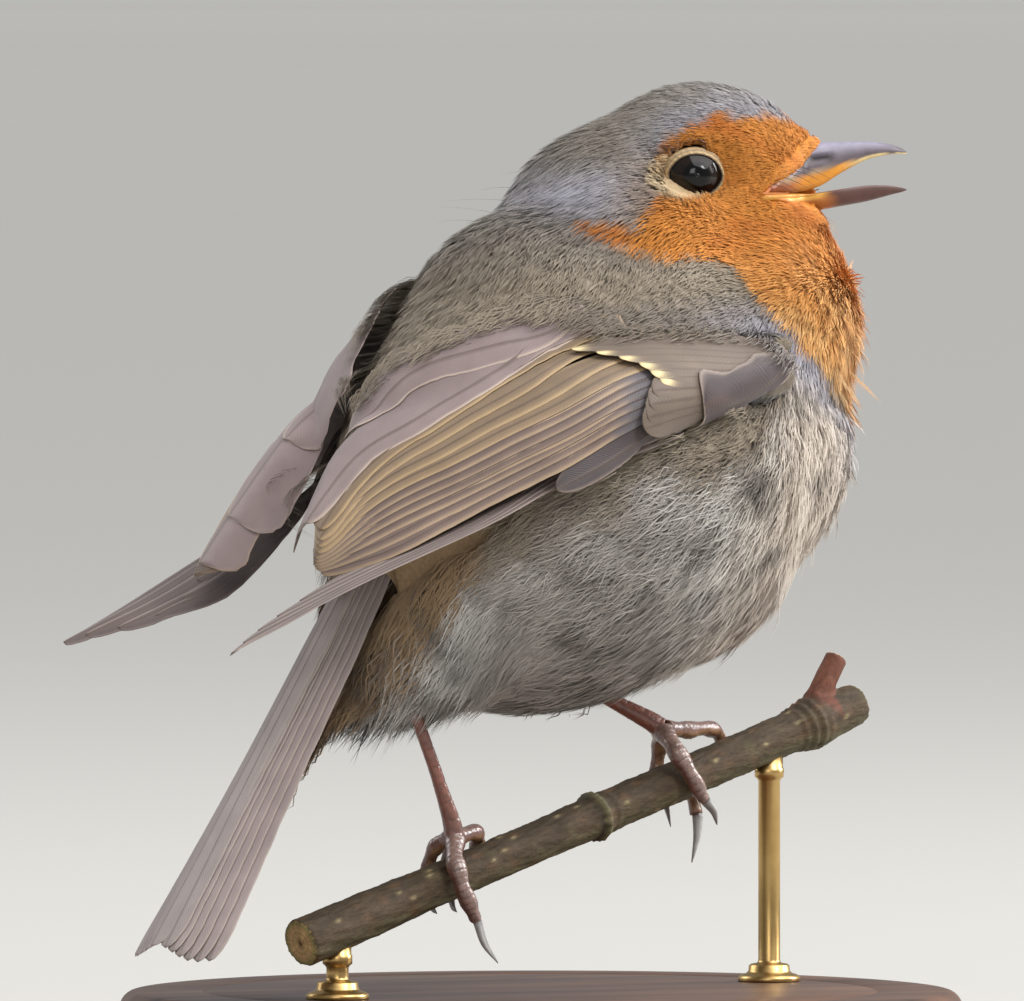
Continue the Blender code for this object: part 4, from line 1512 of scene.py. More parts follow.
@dataclass
class Coat:
    """The small feathers of head, neck and trunk, grown over the skin in regions."""

    skin: Skin
    cover: BVHTree | None = None
    lid_width: float = 0.2

    def length(self, points: Array) -> Array:
        """Gives the locks' length: shortest round the bill and eyes, longest on belly and vent.

        Args:
            points: rows of roots.

        Returns:
            Millimetres.
        """
        bill = np.linalg.norm(points - head_point(10.0, 0.0, -1.0), axis=1)
        made = np.interp(bill, (2.0, 5.0, 9.0, 14.0, 20.0, 28.0, 38.0), (0.7, 1.0, 1.6, 2.4, 3.2, 4.0, 4.6))
        belly = MARKINGS.belly_share(points)
        made = made + 2.2 * belly * smooth(26.0, 16.0, points[:, 0]) * smooth(10.0, 2.0, points[:, 2])
        made = made + 1.6 * smooth(-16.0, -24.0, points[:, 0]) * smooth(-2.0, -10.0, points[:, 2])
        around = MARKINGS.eye_distance(points)
        return made * np.interp(around, (2.6, 4.5, 7.0), (0.45, 0.75, 1.0))

    def roots(self) -> Roots:
        """Spreads the roots over the skin, none in the eyes' openings or under the flight feathers.

        Returns:
            The roots that show.
        """
        skin = self.skin
        middles = skin.shell.points[skin.shell.quads].mean(axis=1)
        length = self.length(middles)
        density = np.interp(length, (0.4, 0.8, 1.7, 3.0, 4.5, 6.5), (26.0, 20.0, 10.0, 5.2, 3.3, 2.7))
        made = scattered(skin, density, 7)
        keep = MARKINGS.eye_distance(made.points, EYE_OPENING) > self.lid_width
        keep &= profile_distance(made.points, BARE_MOUTH) > 0.0
        # No lock ends beside the tail's edge.
        ends = made.points + made.lie * self.length(made.points)[:, None]
        along, high = on_tail(ends)
        beside = np.abs(ends[:, 1]) > np.interp(along, (0.0, 16.0, 54.0), (5.0, 4.6, 8.0))
        keep &= ~(beside & (along > 0.5) & (high > -4.5))
        # None grows out of the tail's own thickness.
        along, high = on_tail(made.points)
        keep &= ~((along > 7.0) & (high > -2.4) & (high < 1.0))
        # None grows in the fold where the wing's lower edge lies against the rump.
        x, y, z = made.points.T
        keep &= ~((np.abs(y) > 14.5) & (x > -29.0) & (x < -12.0) & (z > 3.0) & (z < 9.5))
        made = made.only(keep)
        if self.cover is None:
            return made
        # Where most short rays from a root meet the wing, the lock would only push through it.
        hidden = np.zeros(len(made.points), bool)
        for i, (point, way) in enumerate(zip(made.points, made.normals)):
            if above_plane(point, HEAD_PLANE) > 0:
                continue
            aside = np.cross(way, made.lie[i])
            reach = float(np.interp(point[2], (-2.0, 4.0), (1.8, 6.0)))
            hits = [self.cover.ray_cast(Vector(point - way * 0.3), Vector(ray).normalized(),
                                        reach)[0] is not None
                    for ray in (way, way + 0.3 * made.lie[i], way - 0.3 * made.lie[i], way + 0.3 * aside,
                                way - 0.3 * aside)]
            hidden[i] = (hits[0] or sum(hits) > 2) if point[2] > 0 else sum(hits) > 4
        return made.only(~hidden)

    def growth(self, roots: Roots, seed: int) -> Growth:
        """Works out the sizes and colours of the locks at these roots.

        Args:
            roots: where they grow.
            seed: picks the draw.

        Returns:
            Their sizes and colours.
        """
        rng = np.random.default_rng(seed)
        points = roots.points
        count = len(points)
        length = self.length(points) * rng.uniform(0.8, 1.2, count)
        depth = coat_depth(points)
        belly = MARKINGS.belly_share(points)
        bib = MARKINGS.bib_distance(points)
        throat = smooth(1.0, -1.5, bib) * smooth(26.0, 20.0, points[:, 2])
        along, below = on_tail(points)
        undertail = smooth(3.0, 8.0, along) * smooth(0.0, -1.0, below)
        length = length * (1 - 0.5 * undertail * smooth(16.0, 26.0, along))
        ragged = 0.5 * throat + 0.45 * belly * (1 - 0.85 * undertail)
        high = depth * (0.85 + rng.uniform(0, 0.3, count)) + ragged * rng.exponential(0.5, count)
        barb = np.interp(length, (0.5, 1.6, 3.0, 5.0, 8.0), (0.035, 0.045, 0.055, 0.065, 0.07))
        colour = MARKINGS.colour(points)
        clump = ripple(points * np.array([0.6, 1.0, 0.6]), 3.4, 33) + 0.6 * ripple(points, 1.5, 34)
        dark = belly * smooth(0.0, 1.3, clump) * smooth(24.0, 12.0, points[:, 0])
        colour = colour + (np.array(linear(MARKINGS.down)) - colour) * (0.75 * dark)[:, None]
        return Growth(length, barb, depth * 0.35, high, colour,
                      np.clip(0.9 - 0.2 * belly - 0.3 * undertail, 0, 1))

    def lock(self, region: Region) -> Lock:
        """Picks the make of a region's locks.

        Args:
            region: the region.

        Returns:
            How they are made: wild on flanks and vent, short and dense on the head.
        """
        if region is Region.FACE:
            return Lock(5, (0.0, 0.5, 1.0), roll=0.3, tip_spread=0.6, tint_wander=0.07, lift=0.1)
        if region is Region.CROWN:
            return Lock(7, (0.0, 0.5, 1.0))
        if region in (Region.FLANK_RIGHT, Region.FLANK_LEFT, Region.VENT):
            wild = 0.5 if region is Region.VENT else 1.0
            return Lock(9, tip_spread=0.35, sway=0.12 * wild, ragged=0.4 * wild, roll=0.4 * wild,
                        shade_wander=0.07, lift=0.16 * wild)
        if region is Region.NECK:
            return Lock(7)
        return Lock(9)

    def build(self, material: bpy.types.Material) -> None:
        """Grows every region's piece.

        Args:
            material: the small feathers' finish.
        """
        everything = self.roots()
        surface = self.skin.shell.tree()
        for number, region in enumerate(Region):
            roots = everything.only(region.holds(everything.points))
            if not len(roots.points):
                continue
            low, high = roots.flat.min(axis=0), roots.flat.max(axis=0)
            roots.flat = 0.005 + 0.99 * (roots.flat - low) / (high - low).max()
            wander = np.radians(5 + 9 * MARKINGS.belly_share(roots.points)) * ripple(roots.points, 4.5, 61)
            side = np.cross(roots.normals, roots.lie)
            roots.lie = unit(roots.lie + side * np.tan(wander)[:, None])
            shell = grow(roots, self.growth(roots, 100 + number), self.lock(region), surface, 200 + number,
                         self.cover, TailRoom())
            name, slot = region.value
            piece(name, shell, material)


# ---------------------------------------------------------------- floor, light and camera


@dataclass
class Studio:
    """A plain pale floor, soft light and the camera."""

    azimuth_deg: float = -28.0
    elevation_deg: float = 1.5
    distance_mm: float = 2000.0
    lens_mm: float = 717.0
    aim: tuple[float, float, float] = (-1.19, 3.82, 55.95)
    floor_reach: float = 400.0
    sky_strength: float = 0.36
    sun_energy: float = 2.7
    sun_width_deg: float = 70.0
    sun_from: tuple[float, float, float] = (0.3, -0.35, 1.0)
    lamps: tuple = (
        ("key_window", (0.35, -0.80, 0.80), 0.32, 5.0),
        ("fill_window", (-0.55, -0.85, 0.45), 0.4, 2.0),
        ("side_window", (0.95, -0.15, 0.45), 0.4, 8.5),
        ("rim_window", (-0.55, 0.75, 0.55), 0.5, 3.0),
    )

    def build(self) -> None:
        """Makes the floor, the lights and the camera."""
        bpy.context.scene.view_settings.view_transform = "Standard"
        self.floor()
        self.lights()
        self.camera()

    def floor(self) -> None:
        """Lays a wide flat pale floor under the stand."""
        r = self.floor_reach
        mesh = bpy.data.meshes.new("floor")
        mesh.from_pydata([(-x, -y, 0) for x, y in ((r, r), (-r, r), (-r, -r), (r, -r))], [], [(0, 1, 2, 3)])
        made = Finish("pale_matt_floor", {"Roughness": 0.95})
        speck = made.node("ShaderNodeTexNoise", inputs={"Scale": 60.0}).outputs["Fac"]
        mesh.materials.append(made.done([made.ramp(speck, (0.0, linear("#b0aea9")),
                                                   (1.0, linear("#b6b4af")))]))
        in_scene("floor", mesh)

    def lights(self) -> None:
        """Sets a soft sky, a large high light in front of the bird and a fill from behind."""
        world = bpy.data.worlds.new("sky")
        bpy.context.scene.world = world
        world.use_nodes = True
        sky = world.node_tree.nodes["Background"]
        sky.inputs["Color"].default_value = (*linear("#e9edf2"), 1.0)
        sky.inputs["Strength"].default_value = self.sky_strength
        sun = bpy.data.lights.new("wide_sky_light", "SUN")
        sun.energy, sun.angle = self.sun_energy, math.radians(self.sun_width_deg)
        self.aimed("wide_sky_light", sun, self.sun_from)
        for name, place_of, size, power in self.lamps:
            data = bpy.data.lights.new(name, "AREA")
            data.size = size
            data.energy = power
            self.aimed(name, data, place_of)

    @staticmethod
    def aimed(name: str, data: bpy.types.Light, place_of: tuple[float, float, float]) -> None:
        """Puts a light in the scene, turned to the bird.

        Args:
            name: its name.
            data: the light.
            place_of: where it stands, in metres.
        """
        obj = in_scene(name, data)
        obj.location = place_of
        obj.rotation_euler = (Vector((0, 0, 0.06)) - obj.location).to_track_quat("-Z", "Y").to_euler()

    def camera(self) -> None:
        """Places the camera level with the bird, well back, on its right side."""
        data = bpy.data.cameras.new("camera")
        data.lens = self.lens_mm
        data.sensor_width = 36.0
        data.clip_start, data.clip_end = 0.1, 900.0
        obj = in_scene("camera", data)
        turn, rise = math.radians(self.azimuth_deg), math.radians(self.elevation_deg)
        back = Vector((math.sin(turn) * math.cos(rise), -math.cos(turn) * math.cos(rise), math.sin(rise)))
        obj.location = Vector(self.aim) * MM + back * self.distance_mm * MM
        obj.rotation_euler = (-back).to_track_quat("-Z", "Y").to_euler()
        bpy.context.scene.camera = obj


# ---------------------------------------------------------------- flight feathers


@dataclass
class Panel:
    """A curved surface that a fan of feathers lies on, set out by stations along it and over the body."""

    stations: Array
    body: BVHTree | None = None
    depth: float = 0.75
    lifts: tuple[float, float] = (0.5, 0.5)
    lift_fade: tuple[float, float] = (0.0, 1.0)
    outward: tuple[float, float, float] = (0.0, -0.6, 0.8)
    tuck: float = 0.0
    pull: float = 0.0
    front: int = 0
    inner: int = 0
    rows: int = 25
    columns: int = 13
    grid: Array = field(init=False)

    def __post_init__(self) -> None:
        """Sets out the grid and brings it out of the body."""
        shares, across = np.linspace(0, 1, self.rows), np.linspace(0, 1, self.columns)
        rows = spline(self.stations, shares)
        self.grid = np.stack([spline(row, across) for row in rows])
        normal = self.grid_normals()
        self.grid = self.grid - normal * self.depth
        if self.body is None:
            return
        for i, j in np.ndindex(self.grid.shape[:2]):
            point = self.grid[i, j]
            hit, way, _, _ = self.body.find_nearest(point)
            least = np.interp(across[j], self.lift_fade, self.lifts)
            hidden = float(smooth(0.62, 0.35, shares[i]) * smooth(0.66, 0.95, across[j]))
            least = least - self.tuck * hidden
            if (Vector(point) - hit).dot(way) < least:
                self.grid[i, j] = np.array(hit + way * least)
            pulled = self.pull * float(smooth(0.70, 0.50, shares[i]) * smooth(0.55, 0.85, across[j]))
            self.grid[i, j] += pulled * (np.array(hit + way * least) - self.grid[i, j])
        for _ in range(self.inner):
            self.grid = np.concatenate([self.grid,
                                        self.draped(self.grid[:, -1], self.grid[:, -2], 0.85)[:, None]],
                                       axis=1)
        for _ in range(self.front):
            self.grid = np.concatenate([self.draped(self.grid[0], self.grid[1], 0.6)[None], self.grid])

    def tree(self) -> BVHTree:
        """Gives a search tree of the surface, in millimetres."""
        rows, columns = self.grid.shape[:2]
        return BVHTree.FromPolygons(self.grid.reshape(-1, 3).tolist(), grid_faces(rows, columns).tolist())

    def draped(self, edge: Array, before: Array, sink: float) -> Array:
        """Adds one more line of points past an edge, sinking on to the body.

        Args:
            edge: the points of the edge.
            before: the line of points before it.
            sink: the share of the edge's height that is kept.

        Returns:
            The next line of points.
        """
        made = 2 * edge - before
        for i, (point, last) in enumerate(zip(made, edge)):
            hit, way, _, _ = self.body.find_nearest(Vector(last))
            height = (Vector(last) - hit).dot(way)
            hit, way, _, _ = self.body.find_nearest(Vector(point))
            ahead = (Vector(point) - hit).dot(way)
            if height < 2.5:
                least = -0.7 if sink > 0.8 and height < 0.35 else 0.35
                made[i] = np.array(hit + way * min(max(ahead, least), max(sink * height, least)))
        return made

    def grid_normals(self) -> Array:
        """Works out how the grid faces.

        Returns:
            The outward unit normal at each place.
        """
        way = unit(np.cross(np.gradient(self.grid, axis=0), np.gradient(self.grid, axis=1)))
        return way * np.sign((way @ np.array(self.outward)).mean())

    def at(self, along: Array, across: Array) -> Array:
        """Finds places on the surface, running on straight past its edges.

        Args:
            along: shares from root to tip.
            across: shares from the low outer edge to the inner edge.

        Returns:
            Points, one per pair.
        """
        shape = np.shape(along)
        steps = len(self.grid) - 1
        rows = spline(self.grid, (np.ravel(along) * (steps - self.front) + self.front) / steps)
        columns = rows.shape[1] - 1
        place_at = np.ravel(across) * (columns - self.inner)
        inside = np.clip(place_at, 0, columns)
        j = np.minimum(inside.astype(int), columns - 1)
        f = (inside - j)[:, None]
        over = (place_at - inside)[:, None]
        k = np.arange(len(rows))
        padded = np.concatenate([2 * rows[:, :1] - rows[:, 1:2], rows, 2 * rows[:, -1:] - rows[:, -2:-1]],
                                axis=1)
        made = bent((padded[k, j], padded[k, j + 1], padded[k, j + 2], padded[k, j + 3]), f)
        step = np.where(over < 0, rows[:, 1] - rows[:, 0], rows[:, -1] - rows[:, -2])
        return (made + step * over).reshape(*shape, 3)

    def slopes(self, along: Array, across: Array) -> tuple[Array, Array, Array]:
        """Finds how the surface runs.

        Args:
            along: shares from root to tip.
            across: shares across.

        Returns:
            The steps per unit along and across, and the outward unit normal.
        """
        d = 0.01
        down = (self.at(along + d, across) - self.at(along - d, across)) / (2 * d)
        over = (self.at(along, across + d) - self.at(along, across - d)) / (2 * d)
        way = unit(np.cross(down, over))
        sign = np.sign((way @ np.array(self.outward)).mean())
        return down, over, way * sign


@dataclass(frozen=True)
class Feather:
    """One large feather: where its shaft runs on a panel, its widths and its colours."""

    root: tuple[float, float]
    tip: tuple[float, float]
    outer: float
    inner: float
    height: tuple[float, float]
    web: str
    fringe: str
    fringe_mm: float = 0.45
    fringe_share: float = 0.8
    bow: float = 0.0
    rounding: float = 0.16
    tip_spot: str | None = None
    spot_mm: float = 1.2
    dusk: float = 0.75
    path: tuple[tuple[float, float], ...] = ()
    base: str | None = None
    base_mm: float = 8.0

    def line(self, panel: Panel, shares: Array) -> Array:
        """Sets out the shaft on the panel, evenly by length.

        Args:
            panel: the surface under it.
            shares: shares of the shaft's length.

        Returns:
            Rows of two panel measures.
        """
        rough = spline(np.array([self.root, *self.path, self.tip]), np.linspace(0, 1, SHAFT_STEPS))
        run = run_of(panel.at(rough[:, 0], rough[:, 1]))
        made = np.stack([np.interp(shares * run[-1], run, rough[:, k]) for k in (0, 1)], axis=1)
        return made + np.array([0.0, self.bow]) * np.sin(math.pi * shares)[:, None]


ACROSS = np.array([
    -1.0, -0.94, -0.84, -0.66, -0.42, -0.2, -0.07, 0.0, 0.07, 0.2, 0.42, 0.66, 0.84, 0.94, 1.0,
])
VANE_ROWS = 44
VANE_THICKNESS = 0.10
SHAFT_RIDGE = 0.10
SHAFT_STEPS = 80
SHAFT_COLUMN = len(ACROSS) // 2


def vane(panel: Panel, feather: Feather, strip: tuple[float, float], seed: int) -> Shell:
    """Builds one feather as a thin closed shell that follows the panel.

    Args:
        panel: the surface under it.
        feather: its measures.
        strip: the share of the bake map's width that it fills.
        seed: picks its small unevenness.

    Returns:
        The shell, with the vane's measures on each point.
    """
    rng = np.random.default_rng(seed)
    t = 1 - (1 - np.linspace(0, 1, VANE_ROWS)) ** 1.35
    line = feather.line(panel, t)
    down, over, normal = panel.slopes(line[:, 0], line[:, 1])
    way = unit(np.gradient(panel.at(line[:, 0], line[:, 1]), axis=0))
    side = unit(np.cross(way, normal))
    side = side * np.sign(dot(side, over).sum())
    basis = np.stack([down, over], axis=2)
    step = (np.linalg.pinv(basis) @ side[..., None])[..., 0]
    full = np.interp(t, (0.0, 0.12, 0.35, 1.0), (0.35, 0.7, 1.0, 0.92))
    end = np.clip((t - (1 - feather.rounding)) / feather.rounding, 0, 1)
    full = full * np.sqrt(np.maximum(1 - end**2.2, 0.0))
    full[-1] = 0.02
    reach = np.where(ACROSS < 0, feather.outer, feather.inner)[None] * ACROSS[None] * full[:, None]
    uneven = 1 + 0.02 * rng.normal(size=VANE_ROWS)[:, None] * (np.abs(ACROSS) > 0.9)
    reach = reach * uneven
    along = line[:, 0:1] + step[:, 0:1] * reach
    across = line[:, 1:2] + step[:, 1:2] * reach
    flat = panel.at(along, across)
    _, _, ways = panel.slopes(along, across)
    high = np.interp(t, (0.0, 1.0), feather.height)[:, None]
    shape = 0.05 * (1 - ACROSS**2) * np.minimum(feather.inner, 2.5) - 0.05 * ACROSS
    ridge = SHAFT_RIDGE * (np.abs(ACROSS) < 0.05) * (1 - t[:, None]) ** 0.5
    top = flat + ways * (high + shape[None] + ridge)[..., None]
    thick = VANE_THICKNESS * (1 - 0.5 * ACROSS**2)[None, :, None]
    low = top - ways * (thick + (ridge * 1.5)[..., None])
    rows, columns = top.shape[:2]
    grid = grid_faces(rows, columns)
    facing = np.cross(top[1, 0] - top[0, 0], top[0, -1] - top[0, 0]).dot(ways[0, SHAFT_COLUMN]) > 0
    start = rows * columns
    rim = np.concatenate([np.arange(rows) * columns, (rows - 1) * columns + np.arange(1, columns),
                          np.arange(rows - 2, -1, -1) * columns + columns - 1,
                          np.arange(columns - 2, 0, -1)])
    after = np.roll(rim, -1)
    walls = np.stack([rim, after, after + start, rim + start], axis=1)
    quads = np.concatenate([grid, grid[:, ::-1] + start, walls[:, ::-1]])
    quads = quads if facing else quads[:, ::-1]
    run = run_of(top[:, SHAFT_COLUMN])
    edge = np.where(ACROSS < 0, feather.outer, feather.inner)[None] * (1 - np.abs(ACROSS))[None]
    edge = edge * full[:, None]
    edge = np.minimum(edge, (run[-1] - run)[:, None] * 1.3)
    half = np.abs(reach)
    fringe = smooth(feather.fringe_mm, feather.fringe_mm * 0.25, edge)
    fringe = fringe * np.where(ACROSS < 0.1, 1.0, 0.45)[None] * feather.fringe_share
    tint = plain(feather.web, rows, columns)
    tint = tint * (1 - (1 - feather.dusk) * smooth(0.0, 0.6, ACROSS)[None, :, None])
    tint = tint * np.interp(t, (0.0, 0.5, 1.0), (0.92, 1.0, 1.0))[:, None, None] * (1 + 0.03 * rng.normal())
    tint = mixed(tint, feather.fringe, fringe)
    if feather.base:
        tint = mixed(tint, feather.base, 0.85 * smooth(feather.base_mm, feather.base_mm - 2.5, run)[:, None])
    if feather.tip_spot:
        spot = np.exp(-(((run[-1] - run)[:, None] - 0.5) / feather.spot_mm) ** 2
                      - (reach / (feather.spot_mm * 0.9)) ** 2)
        tint = mixed(tint, feather.tip_spot, np.clip(1.5 * spot, 0, 1))
    tint = mixed(tint, "#5a4a40", 0.65 * np.exp(-((reach / 0.16) ** 2)))
    low_strip, high_strip = strip
    wide = (high_strip - low_strip) * 0.47
    u = low_strip + wide * (ACROSS / 2 + 0.5)[None] + 0 * t[:, None]
    v = 0.01 + 0.98 * np.broadcast_to((run / run[-1])[:, None], u.shape)
    bake = np.concatenate([np.stack([u, v], axis=-1).reshape(-1, 2),
                           np.stack([u + wide * 1.06, v], axis=-1).reshape(-1, 2)])
    measures = np.stack([np.broadcast_to(ACROSS[None], half.shape),
                         np.broadcast_to(run[:, None], half.shape), half],
                        axis=-1).reshape(-1, 3)
    both = np.concatenate([tint.reshape(-1, 3), tint.reshape(-1, 3) * 1.08])
    return Shell(np.concatenate([top.reshape(-1, 3), low.reshape(-1, 3)]), quads, colours={"tint": both},
                 vectors={"vane": np.concatenate([measures, measures])}, bake=bake)


def fan(panel: Panel, feathers: list[Feather], seed: int) -> Shell:
    """Builds feathers that share one piece and one bake map.

    Args:
        panel: the surface under them.
        feathers: their measures.
        seed: picks their unevenness.

    Returns:
        One shell.
    """
    count = len(feathers)
    return merged([vane(panel, feather, (k / count, (k + 1) / count), seed + k)
                   for k, feather in enumerate(feathers)])


@dataclass(frozen=True)
class VaneFinish:
    """Flight feather: flat keratin barbs hooked into a smooth vane beside a harder shaft."""

    name: str = "flight_feather_keratin"
    barb_mm: float = 0.36
    roughness: float = 0.52

    def material(self) -> bpy.types.Material:
        """Makes the finish: fine slanting barb lines, a soft satin gloss and a paler edge.

        Real barbs stand about 0.15 mm apart; they are drawn nearly three times as wide so that they show.

        Returns:
            The material.
        """
        # Hooked barbs make a satin face: smoother than the loose body feathers, with a little sheen.
        made = Finish(self.name, {"IOR": FEATHER_IOR, "Specular IOR Level": 0.35, "Sheen Weight": 0.12})
        parts = made.node("ShaderNodeSeparateXYZ", inputs={0: made.carried("vane", "Vector")})
        slant = made.math("MULTIPLY_ADD", parts.outputs["Z"], -1.1, parts.outputs["Y"])
        phase = made.math("MULTIPLY_ADD", made.noise(made.place(), 2.2 * MM), 1.2, slant)
        wave = made.math("SINE", made.math("MULTIPLY", phase, 2 * math.pi / self.barb_mm))
        level = made.math("MULTIPLY_ADD", wave, 0.5, 0.5)
        lines = made.ramp(level, (0.0, 0.95), (0.6, 1.0), (1.0, 1.02))
        faded = made.ramp(made.noise(made.place(), 3.0 * MM, 4.0), (0.3, 0.9), (0.7, 1.08))
        return made.done([made.carried("tint"), lines, faded],
                         (level, self.roughness + 0.1, self.roughness - 0.04), (level, 0.02, 0.35))


class Side(Enum):
    """The bird's two sides."""

    RIGHT = "right"
    LEFT = "left"

    def turned(self, shell: Shell) -> Shell:
        """Gives a shell made for the right side on this side."""
        return shell if self is Side.RIGHT else shell.mirrored()


TERTIAL = "#93817f"
TERTIAL_EDGE = "#c4b0a2"
INNER = "#8a745c"
INNER_EDGE = "#b89c76"
SECONDARY = "#75625a"
SECONDARY_EDGE = "#ad9478"
PRIMARY = "#6d5f5c"
PRIMARY_EDGE = "#a08f86"
COVERT = "#6f6053"
COVERT_EDGE = "#7d6e5f"
DUSKY = "#4a4040"
BASE = "#57565f"
SPOT = "#ecd5a0"


@dataclass
class Wing:
    """A folded wing: primaries, secondaries, tertials, coverts and alula, laid out for the right side."""

    body: BVHTree
    arm: tuple = (
        ((-2.8, -23.4, 8.1), (1.0, -23.4, 10.5), (5.0, -22.2, 13.0), (9.0, -20.0, 15.4)),
        ((-8.5, -24.8, 6.7), (-7.0, -24.6, 9.9), (-5.2, -23.0, 13.2), (-3.0, -20.0, 15.7)),
        ((-16.0, -24.6, 4.2), (-15.5, -23.4, 8.4), (-14.5, -20.5, 12.3), (-13.2, -15.6, 14.8)),
        ((-25.0, -21.8, 0.5), (-25.3, -18.8, 4.8), (-25.0, -12.5, 9.2), (-23.0, -5.0, 11.6)),
        ((-32.5, -18.5, -3.1), (-32.4, -12.6, 2.0), (-30.9, -6.2, 6.0), (-28.6, -2.6, 6.4)),
        ((-37.9, -12.9, -6.4), (-38.3, -11.2, -4.2), (-37.5, -8.6, -2.8), (-35.5, -4.2, -5.6)),
    )
    hand: tuple = (
        ((-2.0, -21.5, 6.6), (-4.0, -21.5, 8.6), (-6.0, -20.6, 10.4)),
        ((-14.0, -21.6, 3.5), (-16.2, -19.6, 5.2), (-19.0, -15.6, 5.6)),
        ((-24.4, -22.6, -1.2), (-26.0, -15.8, -1.4), (-27.5, -9.5, -2.6)),
        ((-35.6, -20.8, -6.2), (-35.6, -13.8, -6.6), (-34.6, -6.2, -9.4)),
        ((-41.2, -19.9, -9.0), (-41.2, -14.6, -9.4), (-40.0, -9.2, -11.0)),
        ((-45.8, -19.2, -11.6), (-45.8, -16.2, -11.6), (-45.0, -13.2, -12.6)),
        ((-49.8, -18.3, -13.6), (-49.7, -18.0, -13.6), (-49.5, -17.6, -13.6)),
    )
    secondaries: tuple = (
        ((0.08, 0.34), (0.18, 0.25), (0.36, 0.09), (0.51, 0.03), (0.65, -0.01), (0.82, -0.03),
         (0.985, 0.0)),
        ((0.09, 0.45), (0.21, 0.34), (0.37, 0.166), (0.51, 0.095), (0.65, 0.055), (0.82, 0.03),
         (0.99, 0.06)),
        ((0.10, 0.55), (0.22, 0.428), (0.38, 0.235), (0.52, 0.165), (0.65, 0.115), (0.81, 0.085),
         (0.99, 0.09)),
        ((0.12, 0.64), (0.24, 0.496), (0.38, 0.295), (0.52, 0.22), (0.65, 0.168), (0.81, 0.125),
         (0.99, 0.115)),
        ((0.13, 0.71), (0.25, 0.556), (0.39, 0.364), (0.52, 0.28), (0.65, 0.22), (0.81, 0.16),
         (0.985, 0.14)),
        ((0.14, 0.79), (0.27, 0.625), (0.40, 0.433), (0.52, 0.35), (0.65, 0.275), (0.80, 0.20),
         (0.98, 0.165)),
        ((0.16, 0.86), (0.28, 0.694), (0.41, 0.492), (0.52, 0.41), (0.65, 0.33), (0.80, 0.245),
         (0.97, 0.20)),
        ((0.21, 0.98), (0.32, 0.801), (0.43, 0.59), (0.53, 0.485), (0.66, 0.385), (0.80, 0.29),
         (0.96, 0.235)),
        ((0.24, 1.12), (0.36, 0.947), (0.46, 0.687), (0.55, 0.56), (0.67, 0.45), (0.80, 0.335),
         (0.95, 0.27)),
    )
    tertials: tuple = (
        ((0.28, 1.24), (0.39, 1.065), (0.48, 0.81), (0.56, 0.64), (0.68, 0.51), (0.80, 0.39),
         (0.935, 0.32)),
        ((0.33, 1.26), (0.42, 1.08), (0.458, 0.95), (0.525, 0.77), (0.62, 0.63), (0.74, 0.53),
         (0.86, 0.47), (0.965, 0.52)),
        ((0.37, 1.22), (0.42, 1.12), (0.46, 1.07), (0.52, 1.0), (0.61, 0.93), (0.70, 0.86), (0.80, 0.875)),
    )
    primary_shafts: tuple = (
        ((0.0, 0.90), (0.25, 0.42), (0.46, 0.45)),
        ((0.0, 0.80), (0.28, 0.36), (0.50, 0.46)),
        ((0.0, 0.69), (0.30, 0.30), (0.54, 0.46)),
        ((0.0, 0.59), (0.30, 0.24), (0.46, 0.33), (0.62, 0.55)),
        ((0.0, 0.48), (0.30, 0.18), (0.48, 0.25), (0.60, 0.37), (0.72, 0.56)),
        ((0.0, 0.38), (0.30, 0.12), (0.48, 0.17), (0.64, 0.29), (0.82, 0.57)),
        ((0.0, 0.27), (0.30, 0.06), (0.48, 0.09), (0.62, 0.16), (0.78, 0.34), (0.91, 0.60)),
        ((0.0, 0.17), (0.30, 0.01), (0.48, 0.03), (0.62, 0.08), (0.75, 0.16), (0.88, 0.34), (0.99, 0.50)),
        ((0.0, 0.06), (0.30, -0.04), (0.48, -0.03), (0.62, 0.01), (0.75, 0.08), (0.86, 0.22),
         (0.955, 0.35)),
    )
    spread_tips: tuple = (
        (0.46, 0.45), (0.5, 0.5), (0.54, 0.55), (0.62, 0.68), (0.72, 0.8), (0.83, 0.8), (0.92, 0.68),
        (0.99, 0.5), (0.955, 0.35),
    )
    left_tertials: tuple = (
        ((0.28, 1.15), (0.42, 0.88), (0.56, 0.68), (0.72, 0.58), (0.88, 0.56), (1.05, 0.57)),
        ((0.33, 1.18), (0.45, 0.98), (0.58, 0.82), (0.72, 0.70), (0.85, 0.63), (0.96, 0.60)),
        ((0.36, 1.18), (0.45, 1.10), (0.55, 1.0), (0.67, 0.85), (0.81, 0.70)),
    )
    left_end: tuple = (
        (-38.5, -15.8, -10.0), (-38.6, -11.2, -5.8), (-37.4, -6.6, -3.0), (-35.0, -3.0, -2.6),
    )
    covert_draws: int = 1500
    arm_panels: dict[Side, Panel] = field(init=False)
    hand_panel: Panel = field(init=False)

    def __post_init__(self) -> None:
        """Sets out the surfaces."""
        self.arm_panels = {
            side: Panel(np.array(rows), self.body, 0.8, (1.75, 0.6), (0.5, 0.85), tuck=1.3, pull=pull,
                        front=5, inner=9)
            for side, rows, pull in ((Side.RIGHT, self.arm, 0.0),
                                     (Side.LEFT, (*self.arm[:-1], self.left_end), 1.0))
        }
        self.hand_panel = Panel(np.array(self.hand), self.body, 0.6, (0.5, 0.5))

